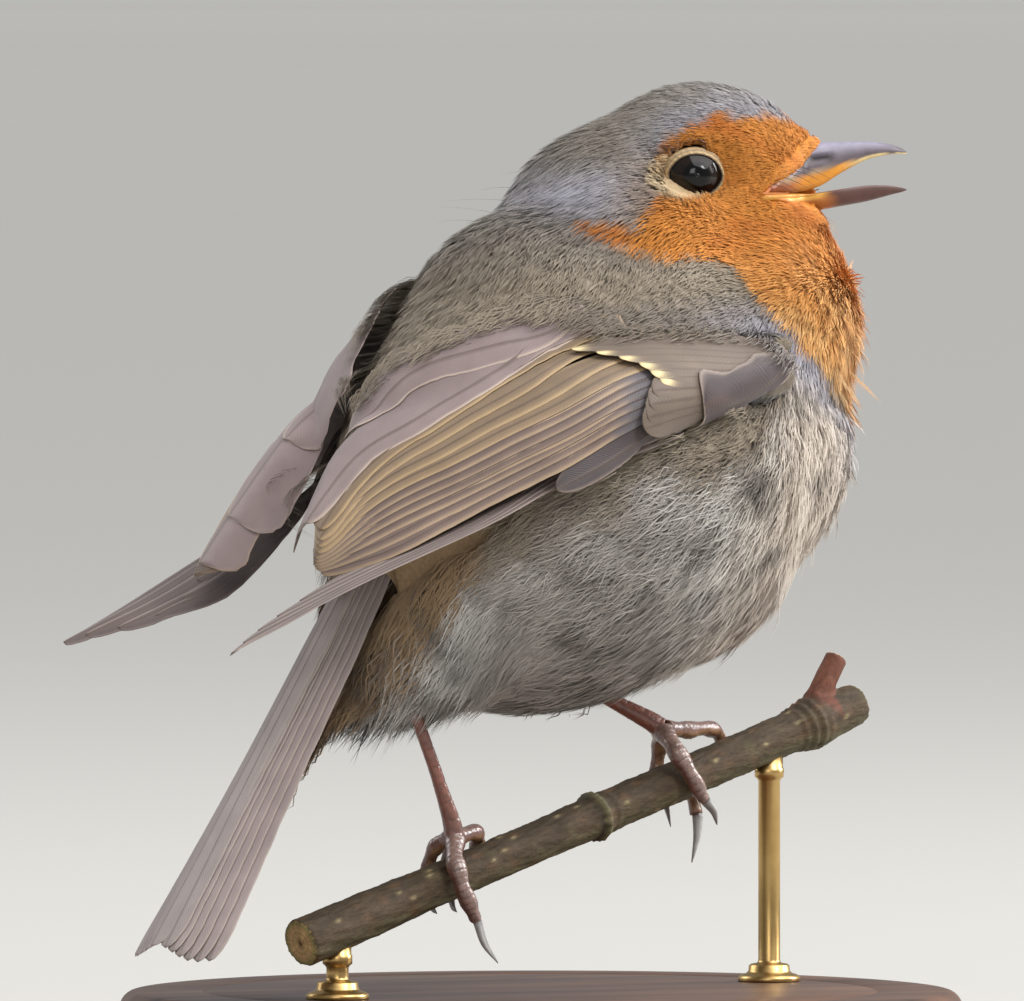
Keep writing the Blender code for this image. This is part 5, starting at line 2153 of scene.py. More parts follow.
    def primaries(self, side: Side) -> Shell:
        """Builds the nine primaries, the outermost lowest.

        Args:
            side: which wing it is for; the left wing shows them spread a little.

        Returns:
            The feathers, laid out on the right.
        """
        made = []
        for k, line in enumerate(self.primary_shafts):
            if side is Side.LEFT:
                line = (line[0], self.spread_tips[k])
            made.append(Feather(line[0], line[-1], 0.8, 2.6 - 0.1 * k, (0.95 - 0.06 * k, 0.62 - 0.05 * k),
                                PRIMARY, PRIMARY_EDGE, 0.34, 0.75, path=line[1:-1], rounding=0.2, dusk=0.8))
        made.reverse()
        return fan(self.hand_panel, made, 500)

    @staticmethod
    def turned_in(line: tuple, side: Side) -> tuple:
        """Draws the tips of the left wing's feathers up to the back, where that wing is held higher.

        Args:
            line: a shaft on the arm's surface.
            side: which wing it is for.

        Returns:
            The shaft for that wing.
        """
        if side is Side.RIGHT:
            return line
        made = []
        for s, w in line:
            share = float(smooth(0.55, 1.0, s))
            made.append((s + 0.07 * share, w + (0.58 - w) * 0.85 * share))
        return tuple(made)

    def arm_feathers(self, side: Side) -> Shell:
        """Builds the secondaries, tertials, greater and primary coverts and the alula.

        Args:
            side: which wing it is for.

        Returns:
            The feathers, laid out on the right.
        """
        made = [
            Feather((-0.02, 0.02), (0.43, -0.13), 1.25, 1.6, (0.1, 0.05), DUSKY, "#87776c", 0.3, 0.8,
                    path=((0.12, -0.05), (0.28, -0.12)), rounding=0.2, dusk=0.9),
        ]
        for k, line in enumerate(self.secondaries):
            line = self.turned_in(line, side)
            outer = k < 6
            inner = 2.2 if side is Side.RIGHT else 6.6 - 0.4 * k
            made.append(Feather(line[0], line[-1], 0.95 if outer else 1.1, inner,
                                (0.22 + 0.07 * k, 0.14 + 0.06 * k),
                                SECONDARY if outer else INNER, SECONDARY_EDGE if outer else INNER_EDGE, 0.5,
                                0.9, path=line[1:-1], rounding=0.08, dusk=0.8, base=BASE if outer else None,
                                base_mm=10.8 - 0.3 * k))
        tertials = self.tertials if side is Side.RIGHT else self.left_tertials
        inners = (3.0, 5.6, 3.0) if side is Side.RIGHT else (6.0, 7.6, 7.4)
        measures = zip(tertials, (1.2, 2.0, 2.2), inners, (0.1, 0.2, 0.26))
        for k, (line, outer, inner, blunt) in enumerate(measures):
            rise = 0.09 * k if side is Side.RIGHT else 0.22 * k
            made.append(Feather(line[0], line[-1], outer, inner, (0.86 + rise, 0.74 + rise),
                                TERTIAL if k or side is Side.LEFT else INNER,
                                TERTIAL_EDGE if k else INNER_EDGE,
                                0.36, 0.95, path=line[1:-1], rounding=blunt, dusk=0.88))
        for k, (s, w) in enumerate(((0.20, 0.09), (0.205, 0.21), (0.21, 0.33), (0.21, 0.45), (0.20, 0.56),
                                    (0.225, 0.64), (0.25, 0.72), (0.29, 0.80), (0.33, 0.88), (0.37, 0.96))):
            made.append(Feather((-0.06, w * 0.75 + 0.16), (s, w), 1.5, 1.9,
                                (1.2 + 0.03 * k, 1.12 + 0.02 * k), COVERT,
                                COVERT_EDGE, 0.4, 0.35, rounding=0.28, tip_spot=SPOT if k >= 4 else None,
                                spot_mm=0.9, dusk=0.95))
        made.append(Feather((-0.045, 0.9), (0.035, 0.24), 1.6, 1.6, (1.75, 1.6), "#4e4041", "#b7a697", 0.3,
                            1.0, path=((-0.045, 0.66), (-0.03, 0.44)), rounding=0.22))
        return fan(self.arm_panels[side], made, 540)

    def covert_roots(self, seed: int) -> Roots:
        """Spreads the roots of the small coverts over the wing's front.

        Args:
            seed: picks the draw.

        Returns:
            The roots, on the right, laid flat by their place on the wing.
        """
        rng = np.random.default_rng(seed)
        count = self.covert_draws
        s, w = rng.uniform(-0.16, 0.13, count), rng.uniform(-0.06, 1.12, count)
        s = s + 0.13 * smooth(0.55, 1.1, w)
        thumb = outline_distance(np.stack([s, w], axis=1), np.array(
            [(-0.05, 0.0), (0.12, 0.5), (0.05, 0.66), (-0.02, 0.84), (-0.09, 0.70), (-0.13, 0.25)]))
        keep = ((thumb > 0.0) | (w > 0.78)) & ((w > 0.1) | (s < -0.04))
        s, w = s[keep], w[keep]
        panel = self.arm_panels[Side.RIGHT]
        points = panel.at(s, w)
        down, over, normals = panel.slopes(s, w)
        under = np.array([self.body.find_nearest(Vector(point))[1] for point in points])
        normals = np.where(dot(normals, under)[:, None] > 0.3, normals, under)
        lie = unit(unit(down) - 0.35 * unit(over) * smooth(0.8, 0.2, w)[:, None])
        flat = np.stack([0.02 + 0.96 * (s + 0.16) / 0.42, 0.02 + 0.96 * (w + 0.06) / 1.18], axis=1)
        return Roots(points + normals * 0.5, normals, lie, flat)

    def coverts(self) -> Shell:
        """Grows the small smooth coverts that hide the large feathers' roots.

        Returns:
            The coverts, laid out on the right.
        """
        roots = self.covert_roots(71)
        rng = np.random.default_rng(72)
        count = len(roots.points)
        length = rng.uniform(3.2, 4.2, count)
        tone = 0.5 + 0.5 * ripple(roots.points, 3.0, 73)
        colour = mixed(plain("#776a58", count), "#857868", np.clip(tone, 0, 1))
        high = np.interp(roots.flat[:, 0], (0.02, 0.3, 0.4), (0.4, 1.1, 1.6))
        high = high + rng.uniform(0.0, 0.25, count)
        growth = Growth(length, np.full(count, 0.06), 0.8 * high, high, colour, np.full(count, 0.6))
        return grow(roots, growth, Lock(11, breadth=0.62, ragged=0.08, roll=0.12, sway=0.03, tip_spread=0.6),
                    self.arm_panels[Side.RIGHT].tree(), 74)

    def build(self, coat: bpy.types.Material) -> BVHTree:
        """Builds both wings.

        Args:
            coat: the finish of the small coverts.

        Returns:
            A search tree of their large feathers, in millimetres.
        """
        finish = VaneFinish().material()
        cover = []
        for side in Side:
            own = "wing_" + side.value
            for kind, nodes, shell in (("arm_feathers", (own, own + "_alula"), self.arm_feathers(side)),
                                       ("primary_feathers", (own + "_primaries",), self.primaries(side))):
                turned = side.turned(shell)
                cover.append(turned)
                piece(f"{kind}_{side.value}", turned, finish, nodes)
            piece(f"small_coverts_{side.value}", side.turned(self.coverts()), coat,
                  (own,))
        return merged(cover).tree()


@dataclass
class Tail:
    """The closed tail: six feathers a side, the middle pair on top."""

    length: float = 54.5
    shape: tuple = ((0.0, 4.2, 1.0), (0.3, 5.2, 1.2), (0.6, 6.4, 1.4), (0.85, 8.4, 1.5), (1.0, 9.4, 1.4))

    def stations(self) -> Array:
        """Sets out the upper face.

        Returns:
            Rows of points from the right edge to the left, one row per station.
        """
        rows = []
        for share, half, drop in self.shape:
            across = np.linspace(-1, 1, 7)
            middle = TAIL_ROOT + TAIL_AXIS * share * self.length
            rows.append([middle + np.array([0.0, a * half, 0.0]) - TAIL_DORSAL * drop * a * a
                         for a in across])
        return np.array(rows)

    def build(self) -> Shell:
        """Builds the feathers as one piece.

        Returns:
            The shell.
        """
        even = [spline(row, np.linspace(0, 1, 7)) for row in spline(self.stations(), np.linspace(0, 1, 9))]
        panel = Panel(np.array(even), None, 0.0, outward=tuple(TAIL_DORSAL))
        made = []
        for k in range(5, -1, -1):
            for sign in (-1, 1):
                width = 2.75 - 0.12 * k
                end = 0.5 + sign * (0.075 + 0.069 * k)
                start = 0.5 + sign * (0.05 + 0.07 * k)
                tip = (0.975, 0.985, 0.995, 1.0, 0.995, 0.98)[k]
                height = (0.75 - 0.17 * k - (0.06 if sign < 0 else 0.0))
                outer, inner = (1.5 + 0.1 * (k < 2), width) if sign < 0 else (width, 1.5 + 0.1 * (k < 2))
                made.append(Feather((0.02, start), (tip, end), outer + 0.5 * (k == 0), inner,
                                    (height * 0.7, height),
                                    "#9c8c89" if k else "#9c8e8a", "#c0b1a5", 0.3, 0.6, rounding=0.07,
                                    dusk=0.85))
        shell = fan(panel, made, 620)
        piece("tail_feathers", shell, VaneFinish("tail_feather_keratin").material(),
              ("tail",))
        return shell


# ---------------------------------------------------------------- bill, mouth and eyes


@dataclass(frozen=True)
class HornFinish:
    """Keratin horn: smooth and hard, with a soft satin gloss and fine lines along it."""

    name: str = "bill_keratin"
    roughness: float = 0.34
    line_mm: float = 0.35
    relief_mm: float = 0.02

    def material(self) -> bpy.types.Material:
        """Makes the finish from the piece's own colours, a little clouded and scratched.

        Returns:
            The material.
        """
        # Horn is dense keratin, so it shines more than feathers; wear leaves its gloss uneven.
        made = Finish(self.name, {"IOR": HORN_IOR, "Specular IOR Level": 0.45, "Subsurface Weight": 0.06,
                                  "Subsurface Radius": (0.0012, 0.0006, 0.0004)})
        shade = made.ramp(made.noise(made.place(), 1.1 * MM, 5.0), (0.3, 0.84), (0.7, 1.12))
        scratch = made.noise(made.place(), self.line_mm * MM, 3.0)
        return made.done([made.carried("tint"), shade],
                         (scratch, self.roughness - 0.08, self.roughness + 0.14),
                         (scratch, self.relief_mm, 0.5))


@dataclass
class Bill:
    """The two open mandibles with their soft yellow edge at the corners of the mouth."""

    skin: BVHTree
    upper: tuple = (
        (6.2, 0.9, -2.3, 2.1), (7.2, 1.3, -2.42, 2.4), (9.6, 2.3, -2.35, 2.7), (12.6, 2.65, -1.72, 2.3),
        (15.0, 2.68, -0.30, 1.72), (17.5, 2.72, 0.96, 1.16), (19.6, 2.50, 1.44, 0.74),
        (20.8, 2.10, 1.52, 0.4), (21.4, 1.72, 1.50, 0.1),
    )
    lower: tuple = (
        (6.2, -2.72, -4.3, 2.0), (7.2, -2.66, -4.5, 2.3), (9.4, -2.55, -4.5, 2.42),
        (12.0, -2.42, -4.15, 2.08), (15.0, -1.96, -3.62, 1.52), (17.6, -1.60, -3.12, 1.05),
        (19.8, -1.60, -2.52, 0.64), (20.9, -1.78, -2.24, 0.34), (21.4, -1.94, -2.06, 0.08),
    )
    rows: int = 90
    columns: int = 56
    nostril: tuple[float, float, float, float] = (12.9, 1.15, 1.15, 0.3)
    lip_start: float = 6.5
    lip_rings: int = 26
    lip_sides: int = 14

    def face_half(self, forward: Array, up: Array) -> Array:
        """Measures the face's half width.

        Args:
            forward: along the head.
            up: over the head's middle.

        Returns:
            Millimetres, 0 in front of the face.
        """
        _, aside = head_axes()
        starts = head_point(np.ravel(forward), np.full(np.size(forward), 12.0), np.ravel(up))
        way = Vector(-aside)
        made = []
        for start in starts:
            hit, _, _, far = self.skin.ray_cast(Vector(start), way, 12.0)
            made.append(0.0 if hit is None else 12.0 - far)
        return np.array(made).reshape(np.shape(forward))

    def conformed(self, forward: Array, up: Array, own: Array) -> Array:
        """Widens the bill's base so that it comes out of the face without a step.

        Args:
            forward: along the head.
            up: over the head's middle.
            own: the bill's own half width at each point.

        Returns:
            The half width to use.
        """
        flat = np.stack([np.ravel(forward), np.ravel(up)], axis=1)
        depth = -outline_distance(flat, BARE_MOUTH).reshape(np.shape(forward))
        reach = self.face_half(forward, up)
        want = reach + 0.1 - 0.9 * smooth(0.25, -0.35, depth)
        share = smooth(2.6, 0.2, depth) * smooth(12.0, 9.6, forward)
        return own + np.maximum(want - own, 0.0) * share

    def mandible(self, stations: tuple, top_side: bool) -> Shell:
        """Builds one mandible as a closed shell.

        Args:
            stations: along the head: forward, top, bottom, half width.
            top_side: whether it is the upper one.

        Returns:
            The shell, with its colours.
        """
        share = 1 - (1 - np.linspace(0, 1, self.rows)) ** 1.25
        forward, top, bottom, half = spline(np.array(stations), share).T
        edge = bottom if top_side else top
        crown = top if top_side else bottom
        turn = np.linspace(0, 2 * math.pi, self.columns, endpoint=False)
        across = np.cos(turn)
        dome = np.sin(turn)
        outer = dome >= 0
        keel = np.interp(forward, (8.0, 14.0, 19.0), (0.92, 1.12, 1.0))[:, None]
        height = np.where(outer, np.maximum(dome, 0.0)[None] ** (0.86 * keel), 0.0)
        deep = np.minimum(0.42 * half, 0.5 * np.abs(crown - edge))[:, None]
        hollow = np.where(outer, 0.0, 1 - across**2) * deep
        up = edge[:, None] + (crown - edge)[:, None] * height + (1 if top_side else -1) * hollow
        rise = np.abs(up - edge[:, None])
        ahead = np.broadcast_to(forward[:, None], up.shape)
        own = np.abs(across)[None] * half[:, None] * np.where(outer, 1.0, 0.985)
        wide = self.conformed(ahead, up, own)
        side_share = smooth(0.05, 0.5, np.abs(across))[None]
        left = np.sign(across)[None] * (own + (wide - own) * side_share)
        pit = np.zeros_like(left)
        if top_side:
            f0, u0, long, high = self.nostril
            pit = np.exp(-(((ahead - f0) / long) ** 4
                           + ((up - u0 - 0.12 * (ahead - f0)) / high) ** 4)) * outer
            left = left * (1 - 0.22 * pit)
            hood = np.exp(-(((ahead - f0) / long) ** 2 + ((up - u0 - 0.45) / 0.3) ** 2)) * outer
            left = left + np.sign(left) * 0.1 * hood
        points = head_point(ahead.reshape(-1), left.reshape(-1), up.reshape(-1))
        quads = grid_faces(self.rows, self.columns, wrap=True)
        tris = end_caps(self.columns, (self.rows - 1) * self.columns, len(points))
        ends = np.stack([points[:self.columns].mean(axis=0), points[-self.columns:].mean(axis=0)])
        colour = self.colours(ahead, up, rise, pit, outer, top_side)
        tint = np.concatenate([colour.reshape(-1, 3), colour[0, :1], colour[-1, :1]])
        shell = Shell(np.concatenate([points, ends]), quads, tris, colours={"tint": tint})
        centre = head_point(14.0, 0.0, float(np.interp(14.0, forward, (edge + crown) / 2)))
        return shell.outward(shell.points - centre)

    @staticmethod
    def colours(ahead: Array, up: Array, rise: Array, pit: Array, outer: Array, top_side: bool) -> Array:
        """Colours a mandible: slate or brown horn with a painted highlight along its top edge, yellow and
        orange flesh at the mouth's edge, and painted shade in the nostril.

        Args:
            ahead: how far forward each point is.
            up: its height.
            rise: its distance over the cutting edge.
            pit: how deep it is in the nostril.
            outer: whether it is outside the mouth.
            top_side: whether it is the upper one.

        Returns:
            Linear colours.
        """
        if top_side:
            tint = plain("#5d5258", *ahead.shape)
            # The top is painted paler: slate horn with a painted highlight along the culmen.
            tint = mixed(tint, "#a39eb2", 0.8 * smooth(0.9, 2.4, up - 0.12 * (ahead - 13)))
            band = np.interp(ahead, (7, 10, 12.4, 13.9, 15.3, 17.3, 20),
                             (1.5, 1.25, 1.45, 1.15, 0.75, 0.36, 0.12))
            flesh = plain("#8c4417", *ahead.shape)
            flesh = mixed(flesh, "#d98f2c", smooth(9.3, 12.2, ahead))
            flesh = mixed(flesh, "#dcc38c", smooth(14.5, 17.5, ahead))
            share = smooth(1.12, 0.88, rise / band)
            tint = tint + (flesh - tint) * share[..., None]
            tint = mixed(tint, "#d9b98a",
                         0.55 * np.exp(-((rise / band - 1.08) / 0.12) ** 2) * smooth(15.5, 12, ahead))
            # The nostril is painted near black as painted shade inside its opening.
            tint = mixed(tint, "#1d1414", 0.92 * np.clip(1.4 * pit, 0, 1))
            inside = plain("#c06a24", *ahead.shape)
            inside = mixed(inside, "#8e6a5c", smooth(13.0, 17.0, ahead))
        else:
            tint = plain("#5c3d36", *ahead.shape)
            # A painted highlight along the lower mandible's top edge, toward the tip.
            tint = mixed(tint, "#7f6a66", 0.7 * smooth(0.5, 0.0, rise) * smooth(14.0, 16.0, ahead))
            tint = mixed(tint, "#b9702c", smooth(15.2, 13.2, ahead + 0.8 * smooth(0.8, 0.0, rise)) * 0.95)
            tint = mixed(tint, "#e2ab4a", smooth(0.75, 0.35, rise) * smooth(14.2, 12.4, ahead))
            inside = plain("#c9762c", *ahead.shape)
            inside = mixed(inside, "#94604a", smooth(13.0, 17.0, ahead))
        return np.where(outer[None, :, None], tint, inside)

    def flange(self, stations: tuple, top_side: bool, side: float) -> Shell:
        """Builds the soft swollen edge from the corner of the mouth along one mandible.

        Args:
            stations: the mandible's stations.
            top_side: whether it is the upper one.
            side: 1 for left, -1 for right.

        Returns:
            A closed tube.
        """
        reach = 9.8 if top_side else 12.9
        ahead = np.linspace(self.lip_start, reach, self.lip_rings)
        rows = np.array(stations)
        edge = np.interp(ahead, rows[:, 0], rows[:, 2 if top_side else 1])
        half = self.conformed(ahead, edge, np.interp(ahead, rows[:, 0], rows[:, 3]))
        up = edge + (0.05 if top_side else -0.08)
        share = (ahead - self.lip_start) / (reach - self.lip_start)
        radii = np.interp(share, (0, 0.15, 0.6, 1), (0.16, 0.3, 0.24, 0.05)) * (0.6 if top_side else 1.0)
        line = head_point(ahead, side * (half - 0.04), up)
        made = tube(line, radii, self.lip_sides)
        colour = mixed(plain("#e8b653", len(made.points)), "#c98730", 0.5 + 0.5 * np.sin(
            made.values["turn"]))
        if top_side:
            colour = mixed(colour, "#a85a1e", 0.8)
        return Shell(made.points, made.quads, made.tris, colours={"tint": colour})

    def build(self) -> None:
        """Builds both mandibles."""
        horn = HornFinish().material()
        for name, stations, top_side in (("bill_upper_horn", self.upper, True),
                                         ("bill_lower_horn", self.lower, False)):
            body = self.mandible(stations, top_side)
            edges = [self.flange(stations, top_side, side) for side in (-1.0, 1.0)]
            node_name = "bill_upper" if top_side else "bill_lower"
            piece(name, merged([body, *edges]), horn, (node_name,))


@dataclass(frozen=True)
class EyeFinish:
    """Eye: a wet clear cornea over a very dark brown iris, which reads as a glossy black bead."""

    name: str = "wet_dark_eye"

    def material(self) -> bpy.types.Material:
        """Makes the finish, with a faint brown iris round the pupil.

        Returns:
            The material.
        """
        # The tear film makes a mirror-smooth clear coat over the cornea.
        made = Finish(self.name, {"IOR": CORNEA_IOR, "Roughness": 0.18, "Specular IOR Level": 0.15,
                                  "Coat Weight": 0.8, "Coat Roughness": 0.02, "Coat IOR": CORNEA_IOR})
        fibre = made.noise(made.place(), 0.3 * MM, 3.0)
        return made.done([made.carried("tint"), made.ramp(fibre, (0.3, 0.7), (0.7, 1.3))])


@dataclass(frozen=True)
class LidFinish:
    """Eyelid: bare wrinkled skin with tiny pale feathers, matt."""

    name: str = "eyelid_skin"

    def material(self) -> bpy.types.Material:
        """Makes the finish: finely beaded, soft and slightly translucent.

        Returns:
            The material.
        """
        # Thin living skin lets a little light through, reddest first.
        made = Finish(self.name, {"IOR": 1.42, "Subsurface Weight": 0.08,
                                  "Subsurface Radius": (0.001, 0.0005, 0.0003)})
        bead = made.cells(0.22)
        return made.done([made.carried("tint"), made.ramp(bead, (0.0, 1.1), (0.7, 0.78))], (bead, 0.5, 0.75),
                         (bead, 0.05, 0.7), sunk=True)


@dataclass
class Eyes:
    """The eyeballs, each with a low cornea, and the lids that close round them."""

    cornea_rise: float = 0.22
    cornea_deg: float = 38.0
    rings: int = 72
    spokes: int = 96
    lid_steps: int = 180

    def ball(self, side: Side) -> Shell:
        """Builds one eyeball.

        Args:
            side: which eye.

        Returns:
            A closed shell with a pupil and an iris.
        """
        middle, radius, look, front = eye_axes(side.value)
        tilt = np.linspace(0, math.pi, self.rings + 1)[1:-1]
        turn = np.linspace(0, 2 * math.pi, self.spokes, endpoint=False)
        swell = self.cornea_rise * smooth(math.radians(self.cornea_deg),
                                          math.radians(self.cornea_deg) * 0.35, tilt)
        reach = radius - 0.05 + swell
        way = (np.cos(tilt)[:, None, None] * look + np.sin(tilt)[:, None, None]
               * (np.cos(turn)[None, :, None] * front + np.sin(turn)[None, :, None] * UP))
        points = (middle + way * reach[:, None, None]).reshape(-1, 3)
        points = np.concatenate([points, [middle + look * (radius - 0.05 + self.cornea_rise)],
                                 [middle - look * (radius - 0.05)]])
        quads = grid_faces(len(tilt), self.spokes, wrap=True)
        tris = end_caps(self.spokes, (len(tilt) - 1) * self.spokes, len(points) - 2)[:, [1, 0, 2]]
        from_axis = np.concatenate([np.repeat(tilt, self.spokes), [0.0, math.pi]])
        tint = plain("#060505", len(points))
        tint = mixed(tint, "#1c120d", smooth(0.42, 0.5, from_axis))
        tint = mixed(tint, "#0b0908", smooth(0.78, 0.86, from_axis))
        return Shell(points, quads, tris, colours={"tint": tint}).outward(points - middle)

    def lids(self, side: Side) -> Shell:
        """Builds the ring of both lids: a rounded edge on the ball and a slope under the coat.

        Args:
            side: which eye.

        Returns:
            A closed ring with folds and its own colours.
        """
        middle, radius, look, front = eye_axes(side.value)
        turn = np.linspace(0, 2 * math.pi, self.lid_steps, endpoint=False)
        # Around the opening: out from its edge, and height over the ball.
        profile = np.array([
            (0.0, -0.12), (-0.02, 0.04), (0.03, 0.11), (0.11, 0.15), (0.2, 0.15), (0.28, 0.11),
            (0.36, 0.13), (0.46, 0.15), (0.6, 0.11), (0.75, 0.02), (0.85, -0.25), (0.4, -0.4),
        ])
        corner = 1 + 0.05 * np.exp(-((np.abs(np.angle(np.exp(1j * (turn - math.radians(-8))))) / 0.3) ** 2))
        corner += 0.03 * np.exp(-((np.abs(np.angle(np.exp(1j * (turn - math.radians(172))))) / 0.3) ** 2))
        flat = np.where(np.sin(turn) < 0, 0.97, 1.0)
        across = EYE_OPENING[0] * np.cos(turn) * corner
        high = EYE_OPENING[1] * np.sin(turn) * flat
        edge = np.hypot(across, high)
        crinkle = 0.02 * np.sin(turn * 26 + 1.3 * np.sin(3 * turn))
        rows = []
        for k, (out, over) in enumerate(profile):
            tilt = np.arcsin(np.clip((edge + out) / (radius + 0.1), 0, 0.999))
            way = (np.cos(tilt)[:, None] * look + np.sin(tilt)[:, None]
                   * ((across / edge)[:, None] * front + (high / edge)[:, None] * UP))
            lift = radius + over + crinkle * (1 if 2 <= k <= 8 else 0)
            rows.append(middle + way * lift[:, None])
        points = np.concatenate(rows)
        count = len(turn)
        here, after = np.arange(count), np.roll(np.arange(count), -1)
        starts = np.arange(len(profile)) * count
        quads = np.concatenate([np.stack([a + here, a + after, b + after, b + here], axis=1)
                                for a, b in zip(starts, np.roll(starts, -1))])
        tint = plain("#c9ab80", len(points))
        row = np.repeat(np.arange(len(profile)), count)
        tint = mixed(tint, "#2a201d", np.isin(row, (0, 1)) * 0.95 + np.isin(row, (2,)) * 0.55)
        tint = mixed(tint, "#8d7a66", np.isin(row, (5, 6)) * 0.6)
        outer_row = (row == 4)[:, None]
        return Shell(points, quads, colours={"tint": tint}).outward(look * outer_row)

    def build(self) -> None:
        """Builds both eyes and their lids."""
        wet, soft = EyeFinish().material(), LidFinish().material()
        for side in Side:
            piece(f"eyeball_{side.value}", self.ball(side), wet, (f"eye_{side.value}",))
            piece(f"eyelids_{side.value}", self.lids(side), soft)


@dataclass(frozen=True)
class FilamentFinish:
    """Bristle or loose filament: a single smooth keratin hair."""

    name: str = "bristle_keratin"

    def material(self) -> bpy.types.Material:
        """Makes the finish from the piece's own colours.

        Returns:
            The material.
        """
        # A bristle is a bare shaft, hard and smooth like horn.
        made = Finish(self.name, {"Roughness": 0.45, "IOR": HORN_IOR})
        cloud = made.noise(made.place(), 0.6 * MM)
        return made.done([made.carried("tint"), made.ramp(cloud, (0.3, 0.85), (0.7, 1.1))])


@dataclass
class Filaments:
    """The bristles round the gape and the loose long filaments behind the nape."""

    skin: BVHTree

    def on_skin(self, start: Array, way: Array, reach: float, otherwise: Array) -> Array:
        """Finds where a hair's root sits.

        Args:
            start: a point outside the skin.
            way: the way from there to the skin.
            reach: how far to look.
            otherwise: the root if the skin is missed.

        Returns:
            The root.
        """
        hit = self.skin.ray_cast(Vector(start), Vector(way), reach)[0]
        return otherwise if hit is None else np.array(hit)

    @staticmethod
    def strand(start: Array, way: Array, droop: Array, length: float, radius: float, colour: str) -> Shell:
        """Builds one tapering curved hair.

        Args:
            start: its root.
            way: the way it sets out.
            droop: how it bends, as an offset at its tip.
            length: in millimetres.
            radius: at its root.
            colour: sRGB hex.

        Returns:
            A closed thin tube.
        """
        t = np.linspace(0, 1, HAIR_RINGS)
        line = start + unit(way) * (t * length)[:, None] + droop * (t**2)[:, None]
        made = tube(line, radius * np.interp(t, (0, 0.7, 1), (1.0, 0.6, 0.12)), HAIR_SIDES)
        tint = plain(colour, len(made.points))
        return Shell(made.points, made.quads, made.tris, colours={"tint": tint})

    def bristles(self) -> Shell:
        """Builds the gape's bristles on both sides.

        Returns:
            One shell.
        """
        rng = np.random.default_rng(71)
        ahead, aside = head_axes()
        made = []
        for side in (-1.0, 1.0):
            for k in range(7):
                share = k / 6
                forward, up = 7.9 + 3.3 * share, -1.35 + 2.0 * share
                start = head_point(forward, side * 9.0, up)
                root = self.on_skin(start, -side * aside, 9.0, head_point(forward, side * 2.4, up))
                way = ahead + aside * side * (0.55 - 0.25 * share) - UP * (0.12 + 0.2 * rng.random())
                droop = -UP * (0.5 + 0.4 * rng.random()) + aside * side * 0.2
                made.append(self.strand(root, way, droop, 2.6 + 0.9 * rng.random(), 0.035, "#4a3a33"))
            for _ in range(6):
                forward, up = 13.2 + 1.2 * rng.random(), -4.2 - 0.9 * rng.random()
                root = head_point(forward - 1.0, side * 1.2 * rng.random(), up)
                way = ahead * 0.8 - UP * (0.45 + 0.4 * rng.random()) + aside * side * 0.3
                made.append(self.strand(root, way, -UP * 0.2, 1.9 + 0.7 * rng.random(), 0.024, "#cfa678"))
        return merged(made)

    def nape(self) -> Shell:
        """Builds the loose filaments that stand off the nape and the crown's back.

        Returns:
            One shell.
        """
        rng = np.random.default_rng(72)
        ahead, aside = head_axes()
        made = []
        for forward, up, length in ((-12.2, -3.2, 6.8), (-12.6, -4.6, 7.4), (-11.6, -2.0, 4.6),
                                    (-13.4, -5.6, 6.2), (-13.0, -6.6, 4.8), (-10.6, -0.4, 3.6)):
            lateral = rng.uniform(-3.0, 1.0)
            start = head_point(forward - 14.0, lateral, up)
            root = self.on_skin(start, ahead, 30.0, head_point(forward + 2.0, lateral, up))
            way = -ahead + UP * (0.15 + 0.25 * rng.random()) + aside * rng.uniform(-0.25, 0.25)
            droop = -UP * (0.8 + rng.random()) + aside * rng.uniform(-0.5, 0.5)
            made.append(self.strand(root, way, droop, length, 0.03, "#a79e98"))
        return merged(made)

    def build(self) -> None:
        """Builds both sets."""
        finish = FilamentFinish().material()
        piece("gape_bristles", self.bristles(), finish)
        piece("nape_filaments", self.nape(), finish)


# ---------------------------------------------------------------- twig, legs and claws


@dataclass(frozen=True)
class BarkFinish:
    """Young twig bark: thin, olive brown, matt, green where it is shaded, with pale lenticels."""

    name: str = "young_bark"

    def material(self) -> bpy.types.Material:
        """Makes the finish from the piece's own colours, streaked along the twig.

        Returns:
            The material.
        """
        # Live bark has a thin waxy cork: nearly matt, with a dull gloss where it is rubbed.
        made = Finish(self.name, {"IOR": 1.5, "Specular IOR Level": 0.3})
        along = made.carried("grain", "Vector")
        streak = made.noise(along, 1.0, 5.0, Roughness=0.6)
        fine = made.noise(along, 1 / 3.6, 4.0)
        shade = made.ramp(streak, (0.28, 0.66), (0.5, 1.0), (0.72, 1.28))
        speck = made.ramp(fine, (0.32, 0.78), (0.5, 1.0), (0.75, 1.12))
        return made.done([made.carried("tint"), shade, speck], (streak, 0.85, 0.6),
                         (made.math("ADD", streak, fine), 0.12, 0.8))


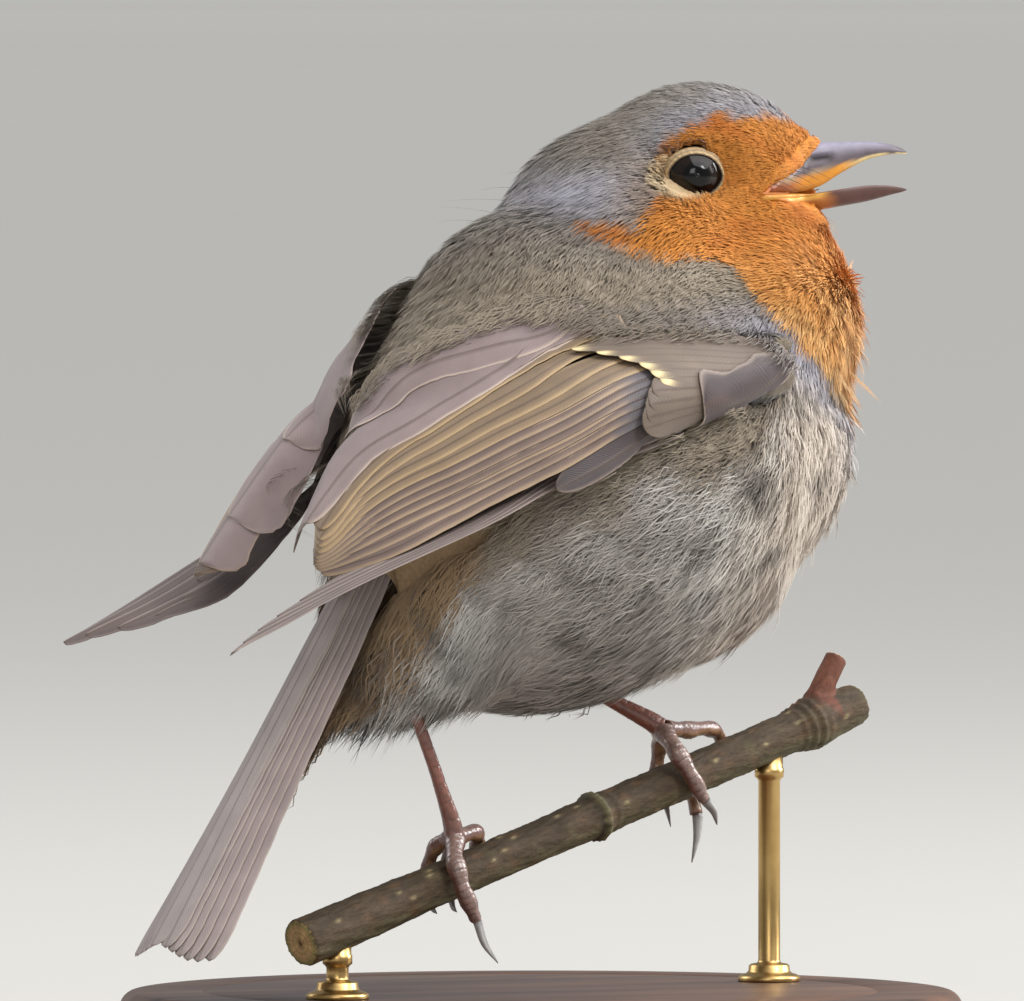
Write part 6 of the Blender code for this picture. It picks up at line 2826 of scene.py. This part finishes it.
@dataclass
class Twig:
    """The cut length of twig that the bird stands on."""

    start: tuple[float, float, float] = (-17.0, -2.85, -36.5)
    through: tuple[float, float, float] = (12.2, 3.14, -27.4)
    profile: tuple = (
        (-20.5, 2.50), (-12.0, 2.40), (-2.0, 2.15), (12.0, 2.10), (17.4, 2.20), (18.4, 2.50), (19.4, 2.18),
        (32.0, 2.12), (44.5, 2.15), (47.5, 2.75), (50.0, 2.45), (54.0, 2.10),
    )
    stub_at: float = 47.8
    stub_length: float = 6.2
    scar_at: float = 18.4
    bark_mm: float = 0.12
    voxel: float = 0.24
    smooth_steps: int = 4
    stem_rings: int = 160
    stem_sides: int = 40
    stub_rings: int = 30
    stub_sides: int = 32
    lenticels: int = 60

    def way(self) -> Array:
        """Gives its direction."""
        return unit(np.array(self.through) - np.array(self.start))

    def place_of(self, points: Array) -> tuple[Array, Array, Array]:
        """Measures points from the twig's middle line.

        Args:
            points: rows of points.

        Returns:
            Distance along, the vector away from the middle line, and the twig's own radius there.
        """
        way = self.way()
        at = (points - np.array(self.start)) @ way
        away = points - (np.array(self.start) + way * at[..., None])
        rows = np.array(self.profile)
        return at, away, np.interp(at, rows[:, 0], rows[:, 1])

    def brought_out(self, points: Array, radii: Array, gap: float = 0.05) -> Array:
        """Moves the middle line of a toe out until the toe rests on the bark.

        Args:
            points: the toe's middle line.
            radii: its radius at each point.
            gap: what stays free between them.

        Returns:
            The moved points.
        """
        _, away, radius = self.place_of(points)
        reach = np.linalg.norm(away, axis=1)
        return points + away * np.maximum(0.0, (radius + radii + gap) / reach - 1)[:, None]

    def build(self) -> None:
        """Builds the twig with its ring scar, the stub's collar, bark ridges and cut ends."""
        way = self.way()
        rows = np.array(self.profile)
        at = np.linspace(rows[0, 0] + 0.15, rows[-1, 0] - 0.15, self.stem_rings)
        line = np.array(self.start) + way * at[:, None]
        stem = tube(line, np.interp(at, rows[:, 0], rows[:, 1]) - self.bark_mm, self.stem_sides)
        root = np.array(self.start) + way * (self.stub_at - 1.0)
        lean = way * 0.62 + np.array([0.0, 0.0, 0.78])
        t = np.linspace(0, 1, self.stub_rings)
        stub = tube(root + lean * (t * (self.stub_length + 0.85))[:, None],
                    np.interp(t, (0, 0.25, 0.5, 1), (1.9, 1.6, 1.3, 1.2)) - 0.08, self.stub_sides)
        shell = remeshed(merged([stem.bare(), stub.bare()]), self.voxel, self.smooth_steps)
        points, normals = shell.points, shell.normals
        along, away, _ = self.place_of(points)
        other = unit(np.cross(way, UP))
        turn = np.arctan2(away @ other, away @ np.cross(other, way))
        ends = (np.abs(normals @ way) > 0.8) & ((along < rows[0, 0] + 0.8) | (along > rows[-1, 0] - 0.8))
        stub_along = (points - root) @ unit(lean)
        stub_end = (normals @ unit(lean) > 0.85) & (stub_along > self.stub_length * 0.9)
        wall = ~(ends | stub_end)
        stretched = np.stack([np.cos(turn) * 2.2, np.sin(turn) * 2.2, along * 0.33], axis=1)
        ridge = ripple(stretched, 0.9, 81) * 0.06 + ripple(stretched, 0.42, 82) * 0.035
        ring = 0.22 * np.exp(-((along - self.scar_at - 0.25 * np.sin(turn + 0.6)) / 0.28) ** 2)
        ring -= 0.18 * np.exp(-((along - self.scar_at + 0.62 - 0.25 * np.sin(turn + 0.6)) / 0.3) ** 2)
        ring += 0.09 * np.exp(-((along - self.scar_at - 1.5 - 0.3 * np.sin(turn + 0.6)) / 0.22) ** 2)
        collar = 0.12 * np.sin(along * 6.0) * np.exp(-((along - self.stub_at + 1.2) / 1.6) ** 2)
        scar_middle = np.array(self.start) + way * (self.stub_at - 1.6) + UP * 1.5 - other * 1.7
        scar = np.exp(-((np.linalg.norm(points - scar_middle, axis=1) / 1.3) ** 4))
        points = points + normals * ((ridge + ring + collar) * wall - 0.18 * scar)[:, None]
        rng = np.random.default_rng(83)
        lenticel = np.zeros(len(points))
        for _ in range(self.lenticels):
            spot_at, spot_turn = rng.uniform(rows[0, 0], rows[-1, 0]), rng.uniform(-math.pi, math.pi)
            step = np.angle(np.exp(1j * (turn - spot_turn))) * 2.2
            lenticel = np.maximum(lenticel, np.exp(-((step / 0.16) ** 2 + ((along - spot_at) / 0.34) ** 2)))
        lenticel *= wall
        points = points + normals * (0.07 * lenticel)[:, None]
        tint = self.colours(points, normals, along, away, lenticel, scar, ends | stub_end, stub_along)
        grain = np.stack([np.cos(turn) * 2.6, np.sin(turn) * 2.6, along * 0.42], axis=1)
        made = Shell(points, shell.quads, shell.tris, colours={"tint": tint}, vectors={"grain": grain})
        piece("twig", made, BarkFinish().material(), ("perch",))

    def colours(self, points: Array, normals: Array, along: Array, away: Array, lenticel: Array, scar: Array,
                cut: Array, stub_along: Array) -> Array:
        """Colours the bark and the cut wood.

        Args:
            points: the surface.
            normals: its normals.
            along: distance along the twig.
            away: vector from its middle line.
            lenticel: how much of a pale pore each point has.
            scar: how much of the leaf scar.
            cut: whether it is on a cut end.
            stub_along: distance along the side twig.

        Returns:
            Linear colours.
        """
        tint = plain("#4a3c2c", len(points))
        tint = mixed(tint, "#625c43", 0.75 * smooth(0.1, -0.8, normals[:, 2]))
        tint = mixed(tint, "#3d3325", 0.6 * smooth(0.2, 0.9, normals[:, 2]))
        tint = mixed(tint, "#5d5539", 0.5 * smooth(0.5, 1.4, ripple(points, 3.5, 84)))
        tint = mixed(tint, "#5f4630", 0.55 * smooth(0.3, 1.3, ripple(points, 2.0, 85)))
        tint = mixed(tint, "#2f2a20", 0.7 * np.exp(-((along - self.scar_at + 0.6) / 0.35) ** 2))
        tint = mixed(tint, "#8b8a66", 0.45 * np.exp(-((along - self.scar_at - 0.1) / 0.3) ** 2))
        tint = mixed(tint, "#6a3b2c",
                     0.75 * smooth(1.9, 3.2, stub_along) * (np.linalg.norm(away, axis=1) > 2.3))
        tint = mixed(tint, "#a6966f", 0.75 * lenticel)
        tint = mixed(tint, "#b4653a", 0.9 * np.clip(1.6 * scar, 0, 1))
        tint = mixed(tint, "#4a2c1e", 0.8 * np.exp(-(((scar - 0.35) / 0.16) ** 2)))
        distance = np.linalg.norm(away, axis=1)
        ring = 0.5 + 0.5 * np.cos(distance * 2 * math.pi / 0.55)
        wood = mixed(plain("#b99a6b", len(points)), "#8a6a44", 0.6 * ring)
        wood = mixed(wood, "#5f4227", smooth(0.45, 0.2, distance))
        wood = mixed(wood, "#5a6a3a", 0.7 * smooth(1.75, 1.95, distance) * smooth(2.25, 2.05, distance))
        return np.where(cut[:, None], wood, tint)


@dataclass(frozen=True)
class ScuteFinish:
    """Leg scale: hard reddish-brown keratin plates, glossy as if waxed."""

    name: str = "leg_scale_keratin"

    def material(self) -> bpy.types.Material:
        """Makes the finish: shiny plates, duller and darker between them.

        Returns:
            The material.
        """
        # The plates are beta-keratin like horn, so they shine more than the soft skin between them.
        made = Finish(self.name, {"IOR": HORN_IOR, "Specular IOR Level": 0.6, "Coat Weight": 0.2,
                                  "Coat Roughness": 0.25, "Subsurface Weight": 0.08,
                                  "Subsurface Radius": (0.0012, 0.0005, 0.0003)})
        plate = made.carried("plate", "Fac")
        groove = made.ramp(plate, (0.0, 0.45), (0.5, 1.0), (1.0, 1.1))
        shade = made.ramp(made.noise(made.place(), 0.7 * MM, 4.0), (0.3, 0.75), (0.7, 1.25))
        return made.done([made.carried("tint"), groove, shade], (plate, 0.6, 0.3),
                         (made.cells(0.16), 0.02, 0.5))


@dataclass(frozen=True)
class Limb:
    """One leg's strings of points, each with its radius as a fourth number: shank, toes and claws."""

    shank: tuple
    toes: tuple
    claws: tuple


RIGHT_LEG = Limb(
    ((-18.5, -6.5, -7.0, 1.6), (-22.6, -5.6, -12.0, 1.2), (-22.9, -4.6, -18.0, 0.68),
     (-19.6, -3.9, -26.5, 0.64), (-17.8, -3.4, -30.8, 0.88), (-17.3, -3.2, -32.6, 1.02)),
    (((-17.3, -3.4, -32.9, 0.98), (-18.4, -5.3, -34.9, 0.9), (-18.1, -6.3, -37.2, 0.84),
      (-17.0, -6.1, -39.4, 0.78), (-16.2, -5.6, -40.6, 0.56)),
     ((-17.0, -2.9, -32.7, 0.9), (-14.0, -1.4, -32.3, 0.78), (-12.5, 1.2, -33.8, 0.72),
      (-12.6, 1.9, -36.0, 0.6)),
     ((-17.2, -2.6, -32.7, 0.9), (-16.3, -0.6, -33.2, 0.78), (-15.8, 1.0, -35.6, 0.72),
      (-15.9, 0.4, -37.9, 0.6)),
     ((-17.5, -2.7, -32.7, 0.85), (-18.2, -1.0, -33.6, 0.73), (-18.3, 0.5, -35.9, 0.68),
      (-18.4, 0.1, -38.0, 0.55))),
    (((-16.3, -5.65, -40.3, 0.5), (-15.9, -5.5, -41.0, 0.52), (-14.7, -4.6, -43.0, 0.40),
      (-12.6, -3.4, -45.0, 0.06)),
     ((-12.6, 2.0, -35.9, 0.42), (-12.6, 2.0, -36.5, 0.45), (-12.9, 1.6, -38.0, 0.32),
      (-13.2, 0.7, -39.0, 0.06)),
     ((-15.9, 0.4, -37.8, 0.42), (-15.9, 0.2, -38.4, 0.45), (-16.1, -0.6, -39.5, 0.32),
      (-16.3, -1.8, -40.0, 0.06)),
     ((-18.4, 0.1, -37.9, 0.4), (-18.4, -0.1, -38.5, 0.42), (-18.5, -0.9, -39.6, 0.3),
      (-18.6, -2.0, -40.1, 0.06))),
)
LEFT_LEG = Limb(
    ((-10.5, 7.0, -8.0, 2.1), (-7.8, 7.0, -11.6, 1.3), (-1.5, 6.2, -16.2, 0.8), (4.0, 5.0, -19.6, 0.74),
     (8.0, 4.0, -21.8, 0.96), (9.2, 3.6, -22.6, 1.05)),
    (((9.4, 3.2, -23.0, 1.0), (9.4, 0.8, -24.7, 0.92), (10.5, -0.1, -27.0, 0.84),
      (11.8, 0.3, -28.9, 0.74), (12.5, 0.6, -29.6, 0.55)),
     ((9.8, 3.5, -22.8, 0.9), (12.8, 4.4, -22.9, 0.8), (16.4, 6.1, -23.0, 0.74), (18.2, 6.8, -24.6, 0.6)),
     ((9.6, 3.9, -22.8, 0.9), (11.6, 6.0, -24.0, 0.8), (13.2, 6.7, -26.6, 0.74), (14.0, 6.0, -29.2, 0.7),
      (14.2, 5.3, -31.3, 0.6)),
     ((9.3, 3.8, -23.0, 0.85), (10.2, 5.6, -24.5, 0.75), (10.3, 6.3, -27.2, 0.7),
      (10.4, 5.4, -29.4, 0.55))),
    (((12.5, 0.6, -29.5, 0.46), (12.8, 0.7, -29.9, 0.48), (13.9, 1.2, -30.9, 0.34),
      (14.6, 1.8, -32.2, 0.06)),
     ((18.3, 6.8, -24.5, 0.42), (18.4, 6.9, -25.0, 0.45), (18.9, 6.7, -26.3, 0.32),
      (18.9, 6.0, -27.6, 0.06)),
     ((14.2, 5.3, -31.2, 0.44), (14.2, 5.1, -31.8, 0.46), (13.9, 4.7, -33.6, 0.32),
      (13.2, 4.4, -36.0, 0.06)),
     ((10.5, 5.3, -29.3, 0.4), (10.5, 5.1, -29.9, 0.42), (10.6, 4.6, -31.0, 0.3),
      (10.5, 3.8, -32.4, 0.06))),
)


@dataclass
class Leg:
    """One leg: a tarsus with long smooth plates, four ringed toes with pads, and their claws."""

    side: Side
    limb: Limb
    twig: Twig
    scute_mm: float = 0.62
    groove_mm: float = 0.07
    pad_mm: float = 0.16
    shank_scute_mm: float = 1.9
    shank_rings: int = 70
    toe_rings: int = 46
    sides: int = 22
    pads: int = 3
    voxel: float = 0.13
    claw_rings: int = 40
    claw_sides: int = 24

    @staticmethod
    def string(rows: tuple, count: int) -> tuple[Array, Array]:
        """Turns a string of points with radii into a smooth curve.

        Args:
            rows: the string.
            count: how many points the curve has.

        Returns:
            Points and radii.
        """
        made = spline(np.array(rows), np.linspace(0, 1, count))
        return made[:, :3], made[:, 3]

    def toe_lines(self) -> list[tuple[Array, Array]]:
        """Lays the toes' middle lines on the bark.

        Returns:
            Points and radii of each toe, the hind toe first.
        """
        made = []
        for toe in self.limb.toes:
            points, radii = self.string(toe, self.toe_rings)
            knuckle = 1 + 0.10 * np.cos(np.linspace(0, self.pads * 2 * math.pi, self.toe_rings))
            made.append((self.twig.brought_out(points, radii * 1.04), radii * knuckle))
        return made

    def flesh(self) -> Shell:
        """Builds tarsus and toes as one skin with plates.

        Returns:
            The shell.
        """
        shank, radii = self.string(self.limb.shank, self.shank_rings)
        lines = [(shank, radii), *self.toe_lines()]
        shell = remeshed(merged([tube(points, r, self.sides).bare() for points, r in lines]), self.voxel, 3)
        points, normals = shell.points, shell.normals
        best = np.full(len(points), 1e9)
        run_at = np.zeros(len(points))
        over = np.zeros(len(points))
        kind = np.zeros(len(points))
        length_at = np.ones(len(points))
        middle_of_twig = self.twig.place_of(points)[1]
        for number, (line, radius) in enumerate(lines):
            run = run_of(line)
            gap = np.linalg.norm(points[:, None] - line[None], axis=2)
            nearest = gap.argmin(axis=1)
            distance = gap[np.arange(len(points)), nearest] / radius[nearest]
            closer = distance < best
            best = np.where(closer, distance, best)
            ways = unit(np.gradient(line, axis=0))
            offset = dot(points - line[nearest], ways[nearest])
            run_at = np.where(closer, run[nearest] + offset, run_at)
            kind = np.where(closer, number, kind)
            length_at = np.where(closer, run[-1], length_at)
            if number:
                facing = dot(normals, unit(middle_of_twig))
            else:
                facing = normals @ unit(np.array([1.0, 0.3 if self.side is Side.LEFT else -0.8, 0.6]))
            over = np.where(closer, facing, over)
        toe = kind > 0
        spacing = np.where(toe, self.scute_mm, self.shank_scute_mm)
        phase = run_at / spacing + 0.13 * kind
        saw = np.abs((phase % 1.0) - 0.5) * 2
        groove = smooth(0.78, 1.0, saw) * smooth(-0.15, 0.25, over)
        groove = groove * np.where(toe, 1.0, 0.75 * smooth(6.0, 12.0, run_at))
        edge = np.exp(-((over - 0.02) / 0.12) ** 2) * 0.5
        lap = 0.03 * ((phase % 1.0) - 0.5) * toe * smooth(0.0, 0.5, over)
        step = -self.groove_mm * groove - 0.03 * edge + lap
        pad = np.maximum(0.0, np.cos(run_at / length_at * self.pads * 2 * math.pi))
        pad = pad * toe * smooth(-0.2, -0.8, over)
        step = step + self.pad_mm * 0.5 * pad
        under = smooth(0.0, -0.6, over) * toe
        step = step + 0.03 * ripple(points, 0.28, 91) * under + 0.012 * ripple(points, 0.5, 92)
        plate = np.clip(1 - groove - 0.6 * edge - 0.3 * under, 0, 1)
        tint = plain("#7a4a3c", len(points))
        tint = mixed(tint, "#5b4038", 0.7 * smooth(22.0, 30.0, np.where(toe, 30.0, run_at)))
        tint = mixed(tint, "#8f7b72", 0.55 * smooth(0.2, 0.9, over) * toe)
        tint = mixed(tint, "#a07a52", 0.5 * under)
        tint = mixed(tint, "#4a322b", 0.45 * smooth(0.4, 1.5, ripple(points, 1.1, 93)))
        return Shell(points + normals * step[:, None], shell.quads, shell.tris, colours={"tint": tint},
                     values={"plate": plate})

    def claw(self, rows: tuple, hind: bool) -> Shell:
        """Builds one claw: deep, narrow, curved, with a groove under it.

        Args:
            rows: its string.
            hind: whether it is the long claw of the hind toe.

        Returns:
            A closed shell.
        """
        points, radii = self.string(rows, self.claw_rings)
        radii = np.maximum(radii, 0.03)
        points = self.twig.brought_out(points, radii * 1.25)
        made = tube(points, radii, self.claw_sides)
        ways = unit(np.gradient(points, axis=0))
        bend = np.gradient(ways, axis=0).sum(axis=0)
        under = unit(bend - ways.mean(axis=0) * bend.dot(ways.mean(axis=0)))
        middle = np.concatenate([np.repeat(points, self.claw_sides, axis=0), points[:1], points[-1:]])
        way = np.concatenate([np.repeat(ways, self.claw_sides, axis=0), ways[:1], ways[-1:]])
        offset = made.points - middle
        deep = offset @ under
        wide = unit(np.cross(way, under))
        aside = dot(offset, wide)
        shaped = made.points + under * (0.18 * deep)[:, None] - wide * (0.22 * aside)[:, None]
        reach = np.maximum(np.linalg.norm(offset, axis=1), 1e-6)
        groove = np.exp(-((aside / reach / 0.35) ** 2)) * (deep > 0)
        shaped = shaped - under * (0.18 * groove * np.abs(deep))[:, None]
        share = np.concatenate([np.repeat(np.linspace(0, 1, len(points)), self.claw_sides), [0.0, 1.0]])
        tint = plain("#8f8d8c" if hind else "#7d7672", len(made.points))
        tint = mixed(tint, "#54423c", smooth(0.38, 0.08, share))
        tint = mixed(tint, "#c4c3c0", 0.6 * smooth(0.0, -0.8, deep / reach) * smooth(0.1, 0.4, share))
        tint = mixed(tint, "#5a5350", 0.5 * smooth(0.75, 1.0, share))
        return Shell(shaped, made.quads, made.tris, colours={"tint": tint})

    def build(self) -> None:
        """Builds the leg and its four claws."""
        name = self.side.value
        piece(f"scaled_leg_{name}", self.flesh(), ScuteFinish(f"leg_scale_keratin_{name}").material(),
              (f"leg_{name}",))
        horn = HornFinish(f"claw_keratin_{name}", 0.26, 0.2, 0.01).material()
        for number, rows in enumerate(self.limb.claws, 1):
            piece(f"horn_claw_{name}_{number}", self.claw(rows, number == 1), horn,
                  (f"claw_{name}_{number}",))


# ---------------------------------------------------------------- display stand


@dataclass(frozen=True)
class TurnedWoodFinish:
    """Walnut: dark brown hardwood, turned, oiled and rubbed to a soft shine."""

    name: str = "oiled_walnut"

    def material(self) -> bpy.types.Material:
        """Makes the finish: long grain with darker growth lines and open pores.

        Returns:
            The material.
        """
        # Oil fills the pores, so the wood keeps a low even gloss under a thin coat.
        made = Finish(self.name, {"IOR": 1.5, "Coat Weight": 0.25, "Coat Roughness": 0.3})
        grain = made.noise(made.place((14.0, 130.0, 130.0)), 1.0, 6.0, Distortion=0.6)
        colour = made.ramp(grain, (0.30, linear("#2f1f17")), (0.48, linear("#54392a")),
                           (0.66, linear("#6b4a35")))
        pore = made.noise(made.place((120.0, 1600.0, 1600.0)), 1.0, 3.0)
        fleck = made.ramp(pore, (0.34, 0.62), (0.44, 1.0), (1.0, 1.05))
        return made.done([colour, fleck], (grain, 0.52, 0.38), (pore, 0.05, 0.35))


@dataclass(frozen=True)
class BrassFinish:
    """Brass rod: drawn, brushed along its length and slightly toned."""

    name: str = "brushed_brass"

    def material(self) -> bpy.types.Material:
        """Makes the finish: a warm metal with fine brushing.

        Returns:
            The material.
        """
        # Drawn brass reflects a warm yellow; brushing spreads the reflection along the rod.
        made = Finish(self.name, {"Metallic": 1.0})
        line = made.noise(made.place((4200.0, 4200.0, 260.0)), 1.0, 3.0)
        tone = made.noise(made.place(), 1 / 260.0, 3.0)
        colour = made.ramp(tone, (0.3, linear("#b3915a")), (0.7, linear("#c9a96f")))
        return made.done([colour], (line, 0.24, 0.42), (line, 0.008, 0.3))


def turned(profile: Array, middle: Array, sides: int) -> Shell:
    """Turns a profile about a vertical line.

    Args:
        profile: (radius, height) rows from the middle underneath to the middle on top.
        middle: the line's foot.
        sides: how many faces go round.

    Returns:
        A closed shell.
    """
    turn = np.linspace(0, 2 * math.pi, sides, endpoint=False)
    ring = np.stack([np.cos(turn), np.sin(turn), np.zeros(sides)], axis=1)
    inner = profile[1:-1]
    points = middle + ring[None] * inner[:, :1, None] + UP * inner[:, 1:, None]
    ends = middle + UP * profile[[0, -1], 1:]
    points = np.concatenate([points.reshape(-1, 3), ends])
    tris = end_caps(sides, (len(inner) - 1) * sides, len(points) - 2)[:, [1, 0, 2]]
    return Shell(points, grid_faces(len(inner), sides, wrap=True)[:, ::-1], tris)


@dataclass
class Stand:
    """The display stand: a turned wooden base and two brass rods with ferrules."""

    twig: Twig
    base_radius: float = 42.0
    base_height: float = 8.0
    rod_radius: float = 1.5
    rods: tuple = (("rear", -15.5), ("front", 42.0))
    base_sides: int = 180
    rod_sides: int = 64

    def base(self) -> Shell:
        """Turns the base with a rounded foot, a cove and a rounded top edge.

        Returns:
            A closed shell.
        """
        r, h = self.base_radius, self.base_height
        cove = [(r - 1.5 - 0.5 * math.sin(a), 3.6 + 0.9 * math.cos(a)) for a in np.linspace(math.pi, 0, 9)]
        foot = [(r - 1.4 + 1.4 * math.sin(a), 1.4 - 1.4 * math.cos(a)) for a in np.linspace(0, math.pi, 12)]
        top = [(r - 2.2 + 1.6 * math.cos(a), h - 2.0 + 2.0 * math.sin(a))
               for a in np.linspace(-0.7, math.pi / 2, 14)]
        flat = [(x, h) for x in (r - 4.0, r - 9.0, r * 0.6, r * 0.3, 1.0)]
        bead = [(r - 9.0 + x, h - d) for x, d in ((0.25, 0.0), (0.1, 0.12), (-0.1, 0.12), (-0.25, 0.0))]
        rows = [(0.0, 0.0), (r * 0.5, 0.0), (r - 3.0, 0.0), *foot, *cove, *top, flat[0], *bead, *flat[2:],
                (0.0, h)]
        return turned(np.array(rows), -TRUNK_OVER_BASE, self.base_sides)

    def rod(self, at: float) -> Shell:
        """Turns one rod with a ferrule on the base and a small collar under the twig.

        Args:
            at: its distance along the twig from the right foot.

        Returns:
            A closed shell.
        """
        top = np.array(self.twig.start) + self.twig.way() * at
        low = self.base_height - TRUNK_OVER_BASE[2]
        length = top[2] - low - 1.3
        r = self.rod_radius
        rows = np.array([
            (0.0, -3.9), (r - 0.1, -3.9), (r - 0.1, 0.02), (r + 1.5, 0.02), (r + 1.6, 0.15),
            (r + 1.55, 0.5), (r + 1.2, 0.72), (r + 0.75, 0.85), (r + 0.55, 1.1), (r + 0.5, 1.6),
            (r + 0.3, 1.75), (r - 0.3, 1.85), (r - 0.42, 2.1), (r - 0.42, length - 2.6),
            (r - 0.3, length - 2.4), (r - 0.05, length - 2.2), (r - 0.05, length - 1.4),
            (r - 0.15, length - 1.3), (r - 0.15, length), (0.0, length),
        ])
        return turned(rows, np.array([top[0], top[1], low]), self.rod_sides)

    def build(self) -> None:
        """Builds base and rods."""
        piece("stand_turned_base", self.base(), TurnedWoodFinish().material(), ("stand_base",))
        metal = BrassFinish().material()
        for name, at in self.rods:
            piece(f"stand_brass_rod_{name}", self.rod(at), metal, (f"stand_rod_{name}",))


def main() -> None:
    """Builds the pieces in order."""
    logging.basicConfig(level=logging.INFO, format="%(message)s")
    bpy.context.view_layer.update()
    skin = Skin()
    shown = Shell(skin.shell.points, skin.shell.quads, skin.shell.tris,
                  {"plumage": MARKINGS.colour(skin.shell.points)})
    piece("skin", shown, SkinFinish().material(), ("head", "neck", "trunk"))
    small_feathers = BarbFinish().material()
    cover = Wing(skin.outline).build(small_feathers)
    Tail().build()
    Bill(skin.face).build()
    Eyes().build()
    Filaments(skin.face).build()
    Coat(skin, cover).build(small_feathers)
    twig = Twig()
    twig.build()
    Leg(Side.RIGHT, RIGHT_LEG, twig).build()
    Leg(Side.LEFT, LEFT_LEG, twig).build()
    Stand(twig).build()
    Studio().build()


if __name__ == "__main__":
    main()
